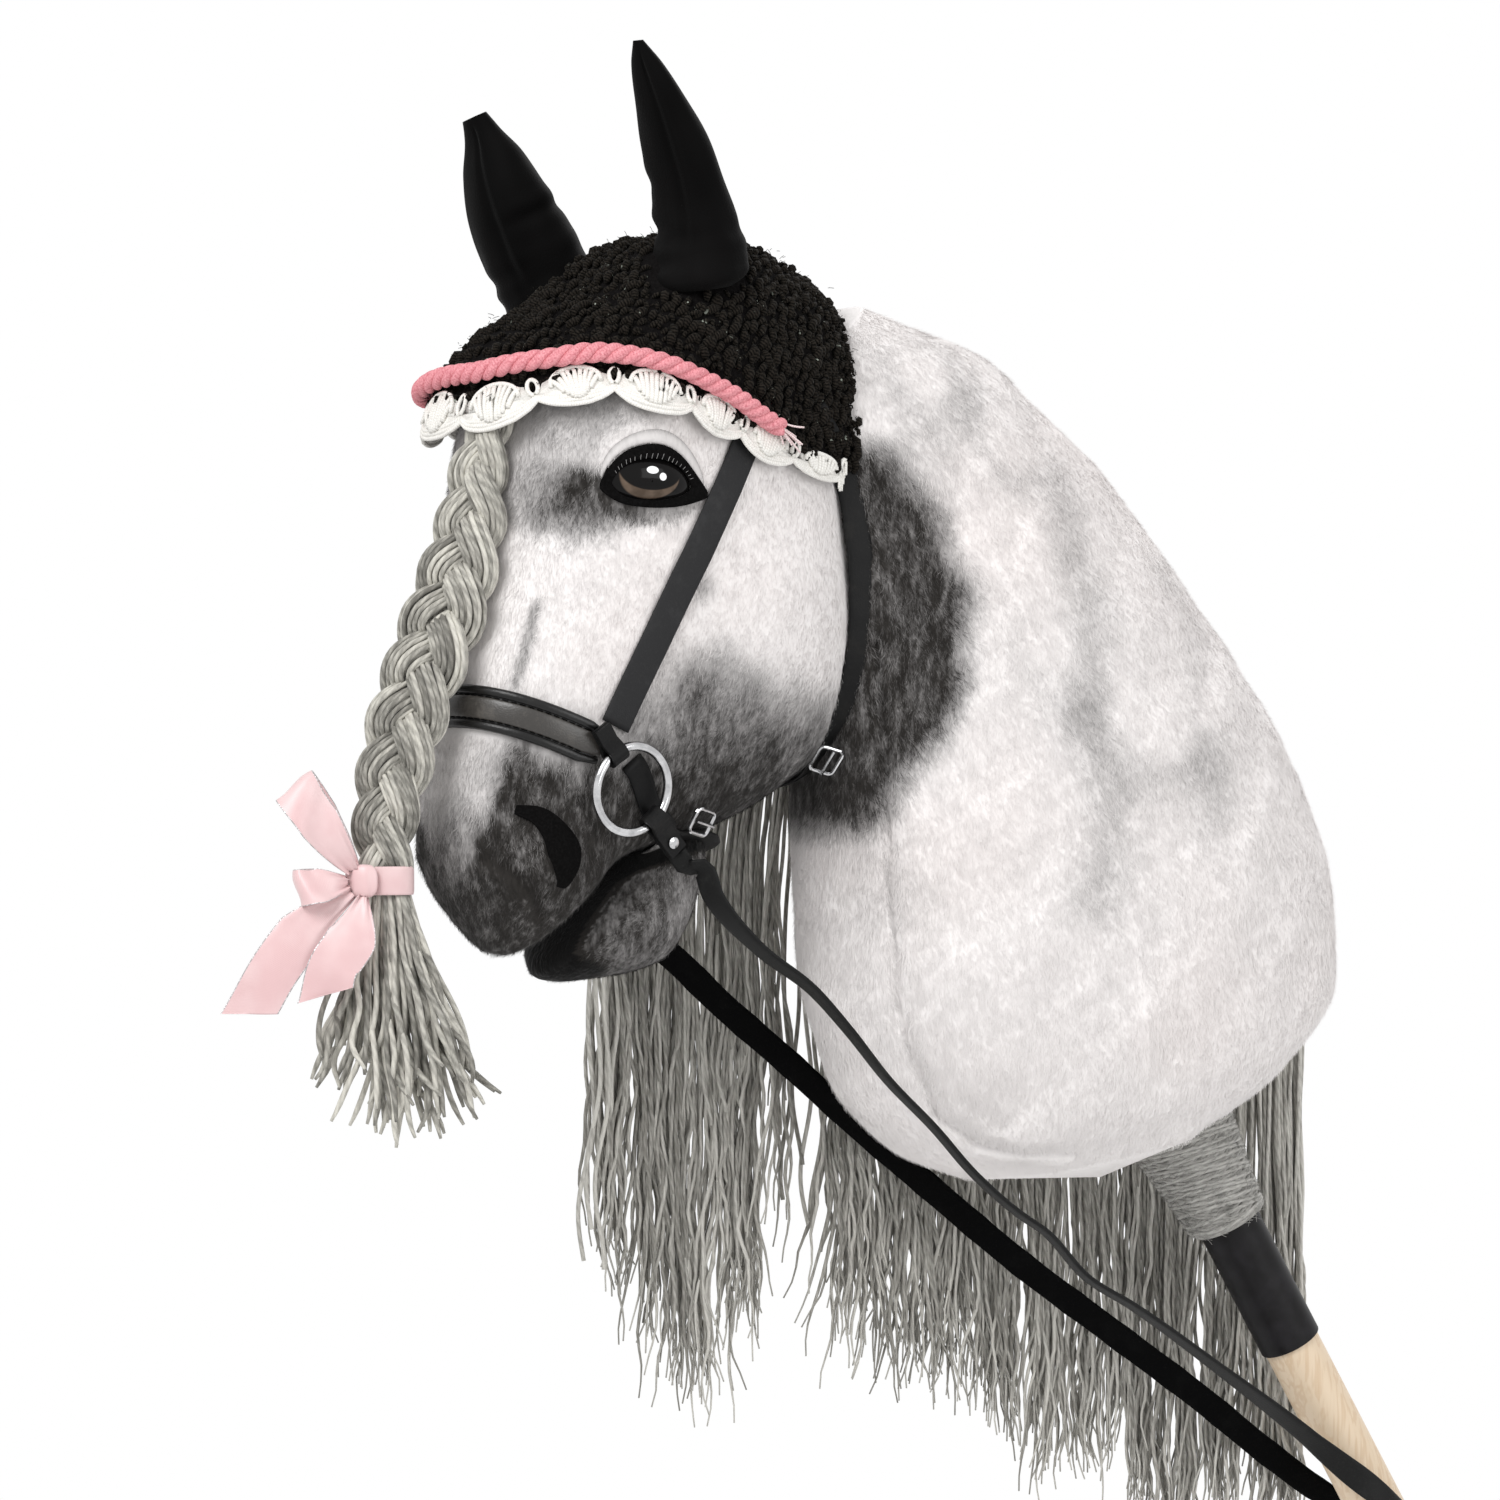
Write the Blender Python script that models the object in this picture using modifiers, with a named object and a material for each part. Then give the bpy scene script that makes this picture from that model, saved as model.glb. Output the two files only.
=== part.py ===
"""Hobby horse: a plush horse's head and neck on a round stick, with a crocheted ear bonnet,
a bridle with bit rings, riding reins, a yarn mane and a braided forelock.

Metres, +Z up. The origin is on the stick's axis where the rider's hand holds it. The photograph's
side is -Y: the horse looks towards -X and a little towards the viewer.
"""
import math

import bmesh
import bpy
import numpy as np
from mathutils import Vector
from mathutils.bvhtree import BVHTree

MM = 0.001

# Directions. Up is +Z. The neck's plane and the head are turned towards the viewer.
NECK_YAW = math.radians(22.0)
HEAD_YAW = math.radians(40.0)
HEAD_PITCH = math.radians(22.3)
STICK_LEAN = math.radians(29.6)

# Clearances.
SEAT_GAP = 0.3 * MM
LAID_GAP = 0.45 * MM

# Stick, collar and winding.
STICK_DIA = 26.0 * MM
STICK_BELOW_GRIP = 420.0 * MM
STICK_ABOVE_GRIP = 400.0 * MM
STICK_END_BEVEL = 1.5 * MM
COLLAR_LENGTH = 64.5 * MM
COLLAR_WALL = 1.1 * MM
COLLAR_ABOVE_GRIP = 62.0 * MM

# Head: the poll's middle on the head's axis, then the stations along that axis.
HEAD_POLL = Vector((-0.2974, -0.1200, 0.5079))
HEAD_TOP = -32.0 * MM
HEAD_END = 293.0 * MM
POLL_DOME = 42.0 * MM
MUZZLE_DOME = 44.0 * MM
POLL_POLE_RISE = -14.0 * MM
MUZZLE_POLE_RISE = 4.0 * MM
# Each station: place along the axis, rise of the nose line, fall of the jaw line, half width (mm).
HEAD_STATIONS = (
    (-38, 44, -62, 46), (-16, 50, -60, 50), (0, 57, -63, 53), (18, 66, -69, 56),
    (38, 77, -80, 58), (60, 85, -96, 59), (82, 88, -112, 60), (105, 84, -125, 60),
    (130, 78, -130, 58), (155, 72, -119, 55), (176, 68, -102, 51), (196, 64, -84, 47),
    (212, 60, -66, 44), (228, 56, -42, 42), (242, 51, -25, 41), (256, 45, -18, 41),
    (271, 38, -14, 39), (282, 31, -13, 35), (293, 20, -14, 28))
HEAD_SQUARENESS_TOP = 2.7
HEAD_SQUARENESS_BOTTOM = 2.8
DOME_SQUARENESS = 2.4

# Lower lip and chin: stations as on the head.
JAW_START = 194.0 * MM
JAW_END = 293.0 * MM
JAW_DOME = 32.0 * MM
JAW_STATIONS = (
    (194, -38, -72, 24), (214, -38, -76, 30), (230, -36, -78, 34), (244, -32, -79, 34),
    (257, -27, -77, 34), (269, -23, -72, 32), (280, -20, -64, 29), (293, -17, -52, 23))
JAW_SQUARENESS = 2.3

# Neck: each station is the throat point and the crest point in the neck's plane, then half width (mm).
NECK_STATIONS = (
    (-274, 500, -250, 521, 26), (-288, 470, -228, 513, 38), (-288, 443, -198, 503, 45),
    (-279, 382, -138, 455, 55), (-273, 320, -83, 388, 64), (-272, 267, -42, 328, 69),
    (-269, 225, -18, 270, 70), (-256, 180, -13, 222, 65), (-226, 146, -38, 183, 52),
    (-190, 133, -78, 152, 32))
NECK_POLE_START = (-262, 518)
NECK_POLE_END = (-127, 132)
NECK_SQUARENESS_FRONT = 2.6
NECK_SQUARENESS_CREST = 2.0


# Eyes: middle on the head, its long half, short half, and how far it bulges.
EYE_PLACE = (92.5 * MM, 39.5 * MM)
EYE_FRONT = (99.0 * MM, 58.0 * MM)
EYE_HALF_LENGTH = 20.8 * MM
EYE_HALF_HEIGHT = 13.0 * MM
EYE_DEPTH = 9.5 * MM
EYE_SUNK = 4.6 * MM
EYE_RIM_WIDTH = 2.8 * MM
EYE_RIM_THICKNESS = 1.8 * MM
LID_WIDTH = 6.5 * MM
LID_THICKNESS = 2.6 * MM

# Nostril felt: route on the head and its width at each point.
NOSTRIL_ROUTE = ((242, 36), (243, 27), (248, 18), (256, 13.5), (263, 15.5))
NOSTRIL_WIDTHS = (3, 7.5, 12, 13, 7)
NOSTRIL_THICKNESS = 1.2 * MM
LIP_TAB_ROUTE = ((224, -40), (229, -47), (235, -54))
LIP_TAB_WIDTHS = (7, 12, 8)

# Ears, and their covers of black cloth.
EAR_SINK = 14.0 * MM
EAR_COVER_WALL = 1.9 * MM
# Near and off ear: place on the head (s, d, l), length, lean to the front, to the side, and bend.
NEAR_EAR = (-5.0 * MM, 36.0 * MM, 40.0 * MM, 104.0 * MM, 0.62, 0.04, 25.0 * MM)
OFF_EAR = (6.0 * MM, 42.0 * MM, 46.0 * MM, 104.0 * MM, 0.98, 0.26, 2.0 * MM)
# Each station: share of the ear's length, half width, half thickness (mm).
EAR_STATIONS = ((0.0, 25, 18), (0.12, 25, 18), (0.22, 24, 17), (0.36, 21, 13.5), (0.57, 18, 11.5),
                (0.78, 13.5, 8), (0.92, 7.5, 5), (1.0, 3.5, 2.6))

# Strap leather.
STRAP_THICKNESS = 2.2 * MM
# A strap over the crease between two bodies bridges it, this far out, within this reach of it.
BRIDGE_LIFT = 3.0 * MM
BRIDGE_REACH = 9.0 * MM
HEADPIECE_WIDTH = 18.0 * MM
CHEEK_WIDTH = 14.5 * MM
THROAT_WIDTH = 13.5 * MM
CHIN_WIDTH = 11.0 * MM
NOSEBAND_WIDTH = 18.5 * MM
NOSEBAND_THICKNESS = 3.6 * MM
NOSEBAND_PLACE = 204.0 * MM
NOSEBAND_END_ANGLE = math.radians(12.0)
CHEEK_ROUTE = ((50, 1.5), (62, 3), (80, 5.5), (104, 8.8), (145, 13), (180, 14), (193, 14))
HEADPIECE_ROUTE = ((46, 2), (34, -2), (12, -8), (-12, -12), (-30, -14))
THROAT_ROUTE = ((30, -23), (39, -38), (48, -56), (60, -70), (72, -79), (100, -90), (124, -99), (152, -108))
CHIN_ROUTE = ((203, -1), (211.5, -14), (220.5, -36), (230, -58), (238, -74))

# Bit rings.
RING_MEAN_RADIUS = 18.4 * MM
RING_WIRE = 4.0 * MM
RING_PLACE = (214.0 * MM, -2.0 * MM)
RING_LIFT = 8.6 * MM
RING_KEEPER_ANGLE = math.radians(123.0)
RING_REIN_ANGLE = math.radians(-66.0)
KEEPER_WIDTH = 8.0 * MM
KEEPER_WALL = 1.8 * MM
KEEPER_CLEARANCE = 0.9 * MM
KEEPER_TAIL = 7.0 * MM

# Bonnet, rope and lace. The hem's place along the head goes by the angle round it (degrees, mm).
BONNET_LIFT = 4.6 * MM
BONNET_THICKNESS = 3.0 * MM
# The braid's root pushes the bonnet out over the forehead.
BONNET_BULGE = 9.5 * MM
BULGE_ANGLE = math.radians(100.0)
BULGE_SPAN = math.radians(34.0)
# The throat latch pushes it out at both lower corners.
CORNER_BULGE = 4.2 * MM
CORNER_ANGLE = math.radians(-50.0)
CORNER_SPAN = math.radians(17.0)
HEM_ANGLES = (-90, -62, -38, -9, 5, 20, 33, 45, 57, 68, 79, 92, 105, 118, 130, 142, 155, 175, 195,
              218, 242, 270)
HEM_PLACES = (8, 31, 42, 50, 52, 54, 57, 59, 64, 71, 78, 82, 82, 79, 74, 66, 58, 52, 50, 42, 31, 8)
LACE_DEPTH = 12.5 * MM
LACE_SCALLOP = 4.0 * MM
LACE_SCALLOPS = 12
LACE_THICKNESS = 1.6 * MM
LACE_END_ANGLE = math.radians(-26.0)
ROPE_DIA = 8.6 * MM
ROPE_ANGLES = (-1, 10, 26, 41, 55, 70, 80, 92, 108, 122, 136, 152, 170, 182)
ROPE_PLACES = (49, 47, 49, 52, 56, 64, 69, 74, 75, 73, 67, 57, 49, 48)

# Forelock: a three-strand braid, its ribbon and its loose end. Route in world places (mm).
BRAID_ROUTE = ((-381.4, -196.6, 471.6), (-385.5, -202.4, 457.4), (-389, -207, 442), (-392, -211, 421),
               (-401, -216, 387), (-413, -221, 354), (-423, -223, 320), (-428, -224, 291), (-428, -224, 270))
BRAID_HALF_WIDTHS = (8, 12, 16, 17.5, 17, 16.5, 14.5, 10)
BRAID_FLATNESS = 0.52
# The forelock bends at this place along the head, just below the lace.
FORELOCK_BEND_PLACE = 98.0 * MM
BRAID_LOBES = 7.5
BRAID_LOBE_SHIFT = 2.6 * MM
WRAP_LENGTH = 13.0 * MM
WRAP_WALL = 1.2 * MM
TASSEL_LENGTH = 122.0 * MM
TASSEL_TOP = 9.0 * MM
TASSEL_HALF_WIDTH = 40.0 * MM
TASSEL_HALF_DEPTH = 21.0 * MM
TASSEL_LOCKS = 9
RIBBON_WIDTH = 21.0 * MM
RIBBON_THICKNESS = 0.9 * MM
KNOT_HALF_SIZES = (7.0 * MM, 3.0 * MM, 8.0 * MM)

# Mane: each lock is a range along the neck's plane, its hem's height at a few places, its top's height
# and the range that its top has at the crest (mm).
MANE_THICKNESS = 9.0 * MM
MANE_GAP = 1.5 * MM
MANE_BELOW_CREST = 13.0 * MM
MANE_LOCKS = (
    ("mane_poll", (-338, -318, -298, -280, -262), (112, 70, 30, 55, 118), 492, (-256, -234)),
    ("mane_throat", (-230, -205, -180, -158), (78, 52, 36, 45), 500, (-230, -158)),
    ("mane_crest", (-156, -135, -112, -92), (40, 14, -10, 4), 500, (-156, -92)),
    ("mane_middle", (-90, -70, -50, -32), (2, -26, -40, -22), 500, (-90, -32)),
    ("mane_withers", (-30, -21, -13, -5), (-18, -42, -30, 6), 500, (-30, -5)))
MANE_SWEEP_LOW = 250.0
MANE_SWEEP_HIGH = 480.0
MANE_HEM_TEETH = 5.0 * MM

# Neck cuff under the winding, and the winding.
CUFF_LENGTH = 62.0 * MM
CUFF_TOP_RADIUS = 24.0 * MM
CUFF_LOW_RADIUS = 14.5 * MM
YARN_DIA = 3.5 * MM
YARN_PITCH = 4.3 * MM
YARN_LOOPS = 9
YARN_POINTS = 24
YARN_ABOVE_COLLAR = 3.6 * MM

# Reins: leather straps, each routed by hand in world places (mm), with the wide face's direction.
REIN_WIDTH = 12.0 * MM
REIN_THICKNESS = 2.4 * MM
REIN_LOOP_WIDTH = 9.0 * MM
REIN_LOOP_TAIL = 12.0 * MM
REIN_TAPER = 35.0 * MM
RIVET_DIA = 5.0 * MM
RIVET_PROUD = 0.9 * MM
NEAR_REIN_ROUTE = (
    (-297, -190, 275), (-291, -188, 262), (-272, -181, 240), (-249, -172, 222), (-234, -165, 205),
    (-216, -156, 182), (-196, -146, 161), (-178, -136, 140), (-158, -125, 122), (-147, -118, 114),
    (-127, -103, 92), (-106, -88, 78), (-64, -56, 46), (-30, -32, 19), (-5, -23, -2), (13, -20, -16),
    (26, -18, -26), (36, -12, -32), (39.6, -4.6, -35.2))
NEAR_REIN_TWISTS = (0, 10, 40, 60, 50, 25, 0)
OFF_REIN_ROUTE = (
    (-347, -92, 256), (-313, -84, 235), (-289, -78, 212), (-258, -62, 184),
    (-227, -46, 155), (-194, -30, 126), (-152, -16, 90), (-110, -6, 58), (-68, 3, 26), (-34, 12, -2),
    (-8, 22, -21), (14, 27, -31), (29, 24, -36), (37, 16, -38), (39.5, 7, -37), (39.8, -1, -36))
OFF_REIN_TWISTS = (0, 5, 10, 5, 0, 5, 0)
REIN_BUCKLE_PLACE = (0.0395, 0.006, -0.037)

# Buckles.
BUCKLE_WIRE = 1.9 * MM
BUCKLE_LENGTH = 12.5 * MM
PRONG_DIA = 1.6 * MM
BUCKLE_CLEAR = 0.8 * MM

BONNET_SIDES = 36
BONNET_ROWS = 7
HEAD_RINGS = 27
HEAD_SIDES = 26
NECK_RINGS = 18
NECK_SIDES = 26
TORUS_STEPS = 26
TORUS_SIDES = 7

UP = Vector((0.0, 0.0, 1.0))
NECK_BACK = Vector((math.cos(NECK_YAW), math.sin(NECK_YAW), 0.0))
NECK_NEAR = Vector((math.sin(NECK_YAW), -math.cos(NECK_YAW), 0.0))
STICK_UP = -NECK_BACK * math.sin(STICK_LEAN) + UP * math.cos(STICK_LEAN)
HEAD_FORWARD = Vector((-math.cos(HEAD_YAW), -math.sin(HEAD_YAW), 0.0))
HEAD_DOWN = HEAD_FORWARD * math.sin(HEAD_PITCH) - UP * math.cos(HEAD_PITCH)
HEAD_RISE = HEAD_FORWARD * math.cos(HEAD_PITCH) + UP * math.sin(HEAD_PITCH)
HEAD_NEAR = Vector((math.sin(HEAD_YAW), -math.cos(HEAD_YAW), 0.0))


def clear_scene():
    """Remove every object of the open file."""
    for obj in list(bpy.data.objects):
        bpy.data.objects.remove(obj, do_unlink=True)


def smooth_curve(places, values, at):
    """Monotone cubic through the stations, with no overshoot between them."""
    places = np.asarray(places, float)
    values = np.asarray(values, float)
    steps = np.diff(places)
    slopes = np.diff(values) / steps
    tangents = np.empty_like(values)
    tangents[0] = slopes[0]
    tangents[-1] = slopes[-1]
    product = slopes[:-1] * slopes[1:]
    weight_a = 2.0 * steps[1:] + steps[:-1]
    weight_b = steps[1:] + 2.0 * steps[:-1]
    with np.errstate(divide="ignore", invalid="ignore"):
        harmonic = (weight_a + weight_b) / (weight_a / slopes[:-1] + weight_b / slopes[1:])
    tangents[1:-1] = np.where(product > 0.0, harmonic, 0.0)
    at = np.asarray(at, float)
    k = np.clip(np.searchsorted(places, at) - 1, 0, len(steps) - 1)
    h = steps[k]
    t = (at - places[k]) / h
    return ((2 * t ** 3 - 3 * t ** 2 + 1) * values[k] + (t ** 3 - 2 * t ** 2 + t) * h * tangents[k]
            + (3 * t ** 2 - 2 * t ** 3) * values[k + 1] + (t ** 3 - t ** 2) * h * tangents[k + 1])


def signed_power(x, p):
    """|x| to the power p with x's sign: the superellipse's coordinate."""
    return np.sign(x) * np.abs(x) ** p


def bump(distance, width):
    """Bell curve of height 1."""
    return np.exp(-(distance / width) ** 2)


def head_world(s, d, l):
    """World points of head coordinates: along the axis, towards the nose line, towards the near side."""
    s, d, l = np.broadcast_arrays(np.asarray(s, float), np.asarray(d, float), np.asarray(l, float))
    return (np.array(HEAD_POLL) + s[..., None] * np.array(HEAD_DOWN)
            + d[..., None] * np.array(HEAD_RISE) + l[..., None] * np.array(HEAD_NEAR))


def neck_world(a, z, l):
    """World points of neck coordinates: backwards, up, towards the near side."""
    a, z, l = np.broadcast_arrays(np.asarray(a, float), np.asarray(z, float), np.asarray(l, float))
    return (a[..., None] * np.array(NECK_BACK) + z[..., None] * np.array(UP)
            + l[..., None] * np.array(NECK_NEAR))


def head_surface(s, theta):
    """Head coordinates of the skin at place s along the axis and angle theta, 90 degrees on the nose."""
    s, theta = np.broadcast_arrays(np.asarray(s, float), np.asarray(theta, float))
    table = np.array(HEAD_STATIONS, float) * MM
    rise = smooth_curve(table[:, 0], table[:, 1], s)
    fall = smooth_curve(table[:, 0], table[:, 2], s)
    half = smooth_curve(table[:, 0], table[:, 3], s)
    poll = np.clip((HEAD_TOP + POLL_DOME - s) / POLL_DOME, 0.0, 1.0)
    nose = np.clip((s - HEAD_END + MUZZLE_DOME) / MUZZLE_DOME, 0.0, 1.0)
    crown = np.clip(1.0 - poll ** DOME_SQUARENESS, 0.0, 1.0) ** (1.0 / DOME_SQUARENESS)
    shrink = crown * np.sqrt(np.clip(1.0 - nose ** 2, 0.0, 1.0))
    pole = np.where(poll > 0.0, POLL_POLE_RISE, MUZZLE_POLE_RISE)
    upper = np.sin(theta) >= 0.0
    power = 2.0 / np.where(upper, HEAD_SQUARENESS_TOP, HEAD_SQUARENESS_BOTTOM)
    height = np.where(upper, rise, -fall)
    d = signed_power(np.sin(theta), power) * height
    l = signed_power(np.cos(theta), power) * half
    d = pole + (d - pole) * shrink
    l = l * shrink
    side = np.sign(l)
    brow = 6.0 * MM * bump(s - 70 * MM, 17 * MM) * bump(d - 52 * MM, 22 * MM)
    cheek = 7.0 * MM * bump(s - 128 * MM, 42 * MM) * bump(d + 52 * MM, 38 * MM)
    nostril = 5.0 * MM * bump(s - 262 * MM, 17 * MM) * bump(d - 20 * MM, 18 * MM)
    socket = -3.0 * MM * bump(s - 112 * MM, 16 * MM) * bump(d - 44 * MM, 18 * MM)
    l = l + side * (brow + cheek + nostril + socket) * np.clip(np.abs(l) / (30 * MM), 0.0, 1.0)
    return s, d, l


def jaw_surface(s, theta):
    """Head coordinates of the chin's skin."""
    s, theta = np.broadcast_arrays(np.asarray(s, float), np.asarray(theta, float))
    table = np.array(JAW_STATIONS, float) * MM
    top, low, half = (smooth_curve(table[:, 0], table[:, k], s) for k in (1, 2, 3))
    front = np.clip((s - JAW_END + JAW_DOME) / JAW_DOME, 0.0, 1.0)
    shrink = np.sqrt(np.clip(1.0 - front ** 2, 0.0, 1.0))
    middle = 0.5 * (top + low)
    middle = middle + (front ** 2) * 0.25 * (top - low)
    power = 2.0 / JAW_SQUARENESS
    d = middle + signed_power(np.sin(theta), power) * 0.5 * (top - low) * shrink
    l = signed_power(np.cos(theta), power) * half * shrink
    return s, d, l


def neck_surface(v, theta):
    """Neck coordinates of the skin: v runs 0 to 1 from the poll to the base, theta round a section."""
    table = np.array(NECK_STATIONS, float) * MM
    start = np.array([NECK_POLE_START[0], NECK_POLE_START[1]]) * MM
    end = np.array([NECK_POLE_END[0], NECK_POLE_END[1]]) * MM
    count = len(table)
    knots = np.arange(count) / (count - 1.0)
    cols = [smooth_curve(knots, table[:, k], v) for k in range(5)]
    throat = np.stack([cols[0], cols[1]], -1)
    crest = np.stack([cols[2], cols[3]], -1)
    half = cols[4]
    middle = 0.5 * (throat + crest)
    reach = 0.5 * (crest - throat)
    power = 2.0 / np.where(np.cos(theta) < 0.0, NECK_SQUARENESS_FRONT, NECK_SQUARENESS_CREST)
    along = signed_power(np.cos(theta), power)
    across = signed_power(np.sin(theta), 2.0 / 2.2)
    place = middle + along[..., None] * reach
    return place[..., 0], place[..., 1], across * half, start, end


def unit(vectors):
    """Vectors made one long."""
    vectors = np.asarray(vectors, float)
    return vectors / np.linalg.norm(vectors, axis=-1, keepdims=True)


def head_skin(s, theta, lift=0.0):
    """World points lifted off the head's skin along its normal."""
    s, theta = np.broadcast_arrays(np.asarray(s, float), np.asarray(theta, float))
    ds = 0.6 * MM
    da = 0.012
    here = head_world(*head_surface(s, theta))
    along = head_world(*head_surface(s + ds, theta)) - head_world(*head_surface(s - ds, theta))
    around = head_world(*head_surface(s, theta + da)) - head_world(*head_surface(s, theta - da))
    return here + unit(np.cross(around, along)) * np.asarray(lift, float)[..., None]


def smooth_route(points, count):
    """Points at even steps on a smooth curve through the route's own points."""
    points = np.asarray(points, float)
    steps = np.linalg.norm(np.diff(points, axis=0), axis=1)
    reach = np.concatenate([[0.0], np.cumsum(steps)])
    tangents = np.gradient(points, reach, axis=0)
    dense = np.linspace(0.0, reach[-1], 12 * len(points))
    k = np.clip(np.searchsorted(reach, dense) - 1, 0, len(steps) - 1)
    h = steps[k][:, None]
    u = ((dense - reach[k])[:, None]) / h
    curve = ((2 * u ** 3 - 3 * u ** 2 + 1) * points[k] + (u ** 3 - 2 * u ** 2 + u) * h * tangents[k]
             + (3 * u ** 2 - 2 * u ** 3) * points[k + 1] + (u ** 3 - u ** 2) * h * tangents[k + 1])
    run = np.concatenate([[0.0], np.cumsum(np.linalg.norm(np.diff(curve, axis=0), axis=1))])
    even = np.linspace(0.0, run[-1], count)
    return np.stack([np.interp(even, run, curve[:, k]) for k in range(3)], -1)


def path_tangents(points):
    """Unit tangents along a route."""
    return unit(np.gradient(np.asarray(points, float), axis=0))


def grid_tree(points):
    """Search tree of a fine closed tube of points, its faces turned outwards."""
    count, sides = points.shape[:2]
    verts = [Vector(p) for p in points.reshape(-1, 3)]
    faces = []
    for i in range(count - 1):
        for j in range(sides):
            k = (j + 1) % sides
            faces.append((i * sides + j, i * sides + k, (i + 1) * sides + k, (i + 1) * sides + j))
    middle = points.reshape(-1, 3).mean(0)
    a, b, c = (points[count // 2, 0], points[count // 2, 1], points[count // 2 + 1, 1])
    if np.dot(np.cross(b - a, c - b), a - middle) < 0.0:
        faces = [tuple(reversed(face)) for face in faces]
    return BVHTree.FromPolygons(verts, faces)


def lay_on(points, trees, gap):
    """Points moved out of every body until they clear it by the gap."""
    shape = np.shape(points)
    out = []
    for raw in np.reshape(points, (-1, 3)):
        p = Vector(raw)
        for _ in range(3):
            for tree in trees:
                near, normal, _, _ = tree.find_nearest(p)
                if (p - near).dot(normal) < gap:
                    p = near + normal * gap
        out.append(p)
    return np.array(out).reshape(shape)


def nearest_on(points, tree):
    """Nearest points of a body and their normals."""
    found = [tree.find_nearest(Vector(p))[:2] for p in np.reshape(points, (-1, 3))]
    return (np.array([f[0] for f in found]).reshape(np.shape(points)),
            np.array([f[1] for f in found]).reshape(np.shape(points)))


def mesh_object(name, verts, faces, collection):
    """Mesh object of triangles from points and faces, with its normals made to point out."""
    mesh = bpy.data.meshes.new(name)
    mesh.from_pydata([tuple(p) for p in verts], [], faces)
    bm = bmesh.new()
    bm.from_mesh(mesh)
    bmesh.ops.triangulate(bm, faces=bm.faces, quad_method="FIXED", ngon_method="BEAUTY")
    bmesh.ops.recalc_face_normals(bm, faces=bm.faces)
    bm.to_mesh(mesh)
    bm.free()
    mesh.shade_smooth()
    obj = bpy.data.objects.new(name, mesh)
    collection.objects.link(obj)
    return obj


def loft(name, rings, collection, start=None, end=None):
    """Closed loft through rings of equal count; an end is a pole point or, without one, a flat cap."""
    rings = np.asarray(rings, float)
    count, sides = rings.shape[:2]
    verts = rings.reshape(-1, 3).tolist()
    faces = []
    for i in range(count - 1):
        for j in range(sides):
            k = (j + 1) % sides
            faces.append((i * sides + j, i * sides + k, (i + 1) * sides + k, (i + 1) * sides + j))
    first = list(range(sides))
    last = [(count - 1) * sides + j for j in range(sides)]
    for ring, pole in ((first, start), (last, end)):
        if pole is None:
            faces.append(tuple(ring))
            continue
        verts.append(list(pole))
        tip = len(verts) - 1
        faces.extend((ring[j], ring[(j + 1) % sides], tip) for j in range(sides))
    return mesh_object(name, verts, faces, collection)


def closed_loft(name, rings, collection):
    """Ring-shaped body: a loft whose last ring joins its first."""
    rings = np.asarray(rings, float)
    count, sides = rings.shape[:2]
    faces = []
    for i in range(count):
        m = (i + 1) % count
        for j in range(sides):
            k = (j + 1) % sides
            faces.append((i * sides + j, i * sides + k, m * sides + k, m * sides + j))
    return mesh_object(name, rings.reshape(-1, 3).tolist(), faces, collection)


def sweep_flat(name, centres, faces_to, widths, thickness, collection, closed=False):
    """Flat strap swept along its middle line, its wide face turned to the given directions."""
    centres = np.asarray(centres, float)
    tangents = path_tangents(centres)
    if closed:
        tangents = unit(np.roll(centres, -1, 0) - np.roll(centres, 1, 0))
    normals = unit(faces_to - np.sum(faces_to * tangents, -1, keepdims=True) * tangents)
    sides = np.cross(tangents, normals)
    half = 0.5 * np.broadcast_to(np.asarray(widths, float), (len(centres),))[:, None]
    lift = 0.5 * thickness
    rings = np.stack([centres - sides * half - normals * lift, centres + sides * half - normals * lift,
                      centres + sides * half + normals * lift, centres - sides * half + normals * lift], 1)
    if closed:
        return closed_loft(name, rings, collection)
    return loft(name, rings, collection)


def laid_strap(name, route, widths, thickness, trees, collection, lanes=5, closed=False, gap=LAID_GAP):
    """Strap laid on the bodies of the search trees, following them across its width too."""
    route = np.asarray(route, float)
    base, normals = nearest_on(route, trees[0])
    base = lay_on(base, trees, gap)
    near, normals = nearest_on(base, trees[0])
    if len(trees) > 1:
        beside, other = nearest_on(base, trees[1])
        both = np.exp(-(np.linalg.norm(base - beside, axis=-1, keepdims=True) / BRIDGE_REACH) ** 2)
        normals = unit(normals + both * other)
        base = lay_on(base + normals * both * BRIDGE_LIFT, trees, gap)
    tangents = path_tangents(base)
    if closed:
        tangents = unit(np.roll(base, -1, 0) - np.roll(base, 1, 0))
    sides = unit(np.cross(tangents, normals))
    half = 0.5 * np.broadcast_to(np.asarray(widths, float), (len(route),))
    share = np.linspace(-1.0, 1.0, lanes)
    inner = base[:, None] + sides[:, None] * (half[:, None] * share)[..., None]
    inner = lay_on(nearest_on(inner, trees[0])[0] if len(trees) == 1 else inner, trees, gap)
    for _ in range(2):
        inner[1:-1] = 0.25 * inner[:-2] + 0.5 * inner[1:-1] + 0.25 * inner[2:]
        inner = lay_on(inner, trees, gap)
    across = unit(np.gradient(inner, axis=1))
    along = path_tangents(inner)
    if closed:
        along = unit(np.roll(inner, -1, 0) - np.roll(inner, 1, 0))
    lift = unit(np.cross(across, along))
    flip = np.sign(np.sum(lift * normals[:, None], -1, keepdims=True))
    outer = lay_on(inner + lift * flip * thickness, trees, gap)
    rings = np.concatenate([inner, outer[:, ::-1]], 1)
    if closed:
        return closed_loft(name, rings, collection)
    return loft(name, rings, collection)


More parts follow.
